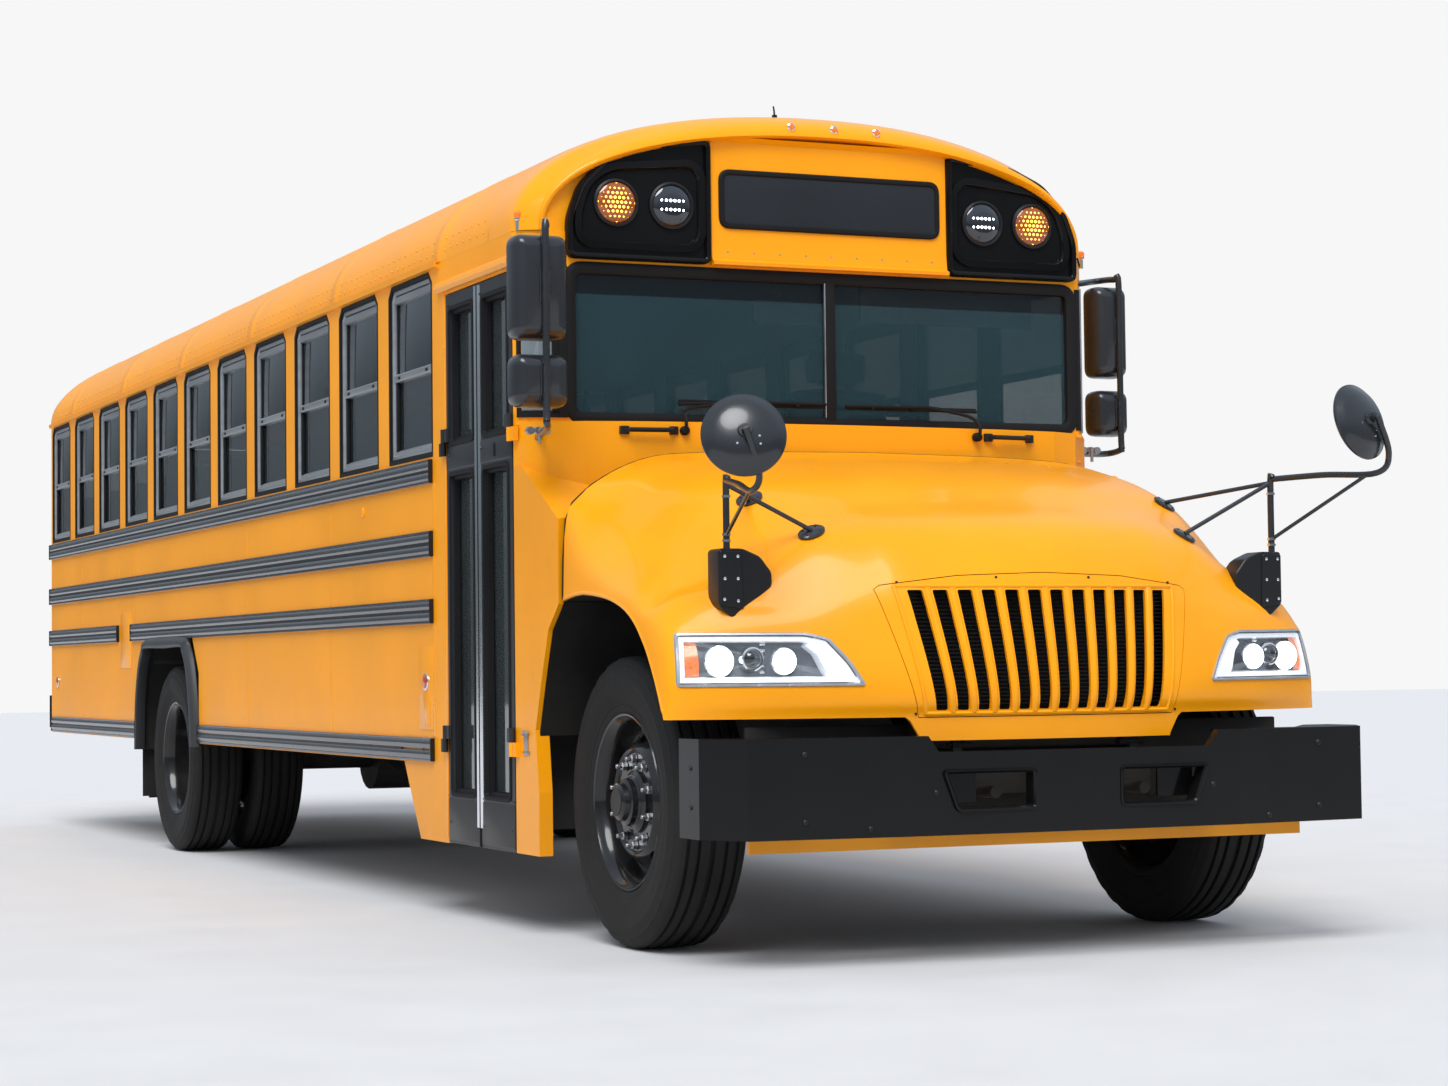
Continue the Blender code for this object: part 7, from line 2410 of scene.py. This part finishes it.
underbody = {
    "softened": {  # bevel width, segments
        "frame_rails": (0.004, 2),
        "fuel_tank": (0.025, 4),
        "engine": (0.020, 3),
        "step_well": (0.004, 2),
        "front_axle": (0.004, 2),
        "rear_axle": (0.004, 2),
        "front_valance": (0.002, 2),
    },
    "injectorY": [-0.30 + 0.115 * k for k in range(6)],
    "hoses": (
        [(0.30, -0.30, 1.12), (0.44, -0.30, 1.10), (0.46, -0.10, 1.02), (0.42, 0.10, 0.90)],
        [(-0.30, -0.20, 1.15), (-0.45, -0.25, 1.18), (-0.45, -0.60, 1.12), (-0.40, -0.76, 1.05)],
    ),
    "railBoltY": [0.2 + 0.45 * k for k in range(20)],
    "railBoltZ": (0.76, 0.90),
    "fuelStrapY": (7.55, 8.00),
    "tankStraps": (  # centre x, radius and y of the straps
        (-0.60, 0.1215, (2.7, 3.25)),
        (0.60, 0.1315, (3.0, 3.9)),
    ),
    "lines": (  # route and radius
        ([(-0.46, 1.2, 0.86), (-0.46, 3.0, 0.86), (-0.47, 4.5, 0.85), (-0.46, 5.6, 0.80)], 0.008),
        ([(0.46, 1.2, 0.86), (0.46, 3.0, 0.84), (0.47, 4.5, 0.85), (0.46, 5.6, 0.80)], 0.010),
        ([(-0.60, 2.58, 0.745), (-0.56, 2.5, 0.80), (-0.47, 2.4, 0.85)], 0.008),
    ),
}


def makeUnderbody():
    for node, (width, segments) in underbody["softened"].items():
        softenEdges(node, width, segments, 30)
    bm = bmesh.new()  # engine details that show through the arches and with the hood up
    addBox(bm, (-0.20, -0.36, 1.195), (0.20, 0.34, 1.27), 0.02, 3)
    for y in underbody["injectorY"]:
        addTurned(bm, [(0.026, 0.0), (0.026, 0.018), (0.016, 0.026), (0.0, 0.028)], (0.0, y, 1.268), "z", 16)
    addTurned(bm, [(0.15, -0.05), (0.15, -0.02), (0.10, -0.01), (0.0, -0.01)], (0.0, -0.42, 0.90), "y", 28)
    for hose in underbody["hoses"]:
        addTube(bm, hose, 0.035, 14, 6)
    for x, z in ((-0.20, 0.72), (0.20, 0.84)):
        addTurned(bm, [(0.06, -0.04), (0.075, -0.03), (0.075, 0.03), (0.06, 0.04)], (x, -0.46, z), "y", 20)
    finishPiece("engineDetails", bm, "castIron")
    bm = bmesh.new()
    addBox(bm, (-0.42, -0.775, 0.66), (0.42, -0.70, 1.16), 0.01)
    for x in [-0.40 + 0.0237 * k for k in range(34)]:
        addBox(bm, (x, -0.698, 0.68), (x + 0.005, -0.690, 1.14))
    finishPiece("radiator", bm, "chassis")
    bm = bmesh.new()
    for side in (-1, 1):
        for y in underbody["railBoltY"]:
            for z in underbody["railBoltZ"]:
                addTurned(
                    bm, [(0.010, 0.0), (0.010, 0.008), (0.0, 0.009)], (side * 0.4305, y, z), "x", 6, side
                )
    finishPiece("railBolts", bm, "steel")
    bm = bmesh.new()
    for y in underbody["fuelStrapY"]:
        addBox(bm, (-0.333, y - 0.004, 0.450), (0.333, y + 0.054, 0.462), 0.003)
    for x, r, places in underbody["tankStraps"]:
        for y in places:
            profile = [(r, y), (r + 0.003, y + 0.004), (r + 0.003, y + 0.046), (r, y + 0.05)]
            addTurned(bm, profile, (x, 0.0, 0.62), "y", 28)
    finishPiece("tankStraps", bm, "steel")
    bm = bmesh.new()  # air and brake lines
    for route, radius in underbody["lines"]:
        addTube(bm, route, radius, 8, 5)
    finishPiece("brakeLines", bm, "gasket")
    bm = bmesh.new()  # brake drums and chambers
    for side in (-1, 1):
        drum = [(0.205, 0.0), (0.21, 0.01), (0.21, 0.14), (0.19, 0.16)]
        addTurned(bm, drum, (side * 0.62, 6.20, 0.485), "x", 40, side)
    for side in (-1, 1):
        chamber = [(0.06, -0.06), (0.085, -0.045), (0.085, 0.045), (0.06, 0.06)]
        addTurned(bm, chamber, (side * 0.40, 5.85, 0.56), "y", 24)
    finishPiece("brakeDrums", bm, "castIron")
    print("underbody made")


makeHood()
makeGrille()
makeHeadlights()
makeRoof()
makeCaps()
makeFrontLamps()
makeSign()
makeSashes()
makeRails()
makePanels()
makeDoors()
makeScreen()
makeHoodMirrors()
makeSideMirrors()
makeWheels()
makeBumperTrim()
makeStopArm()
makeRear()
makeSeats()
makeInside()
makeWheelHouses()
makeUnderbody()
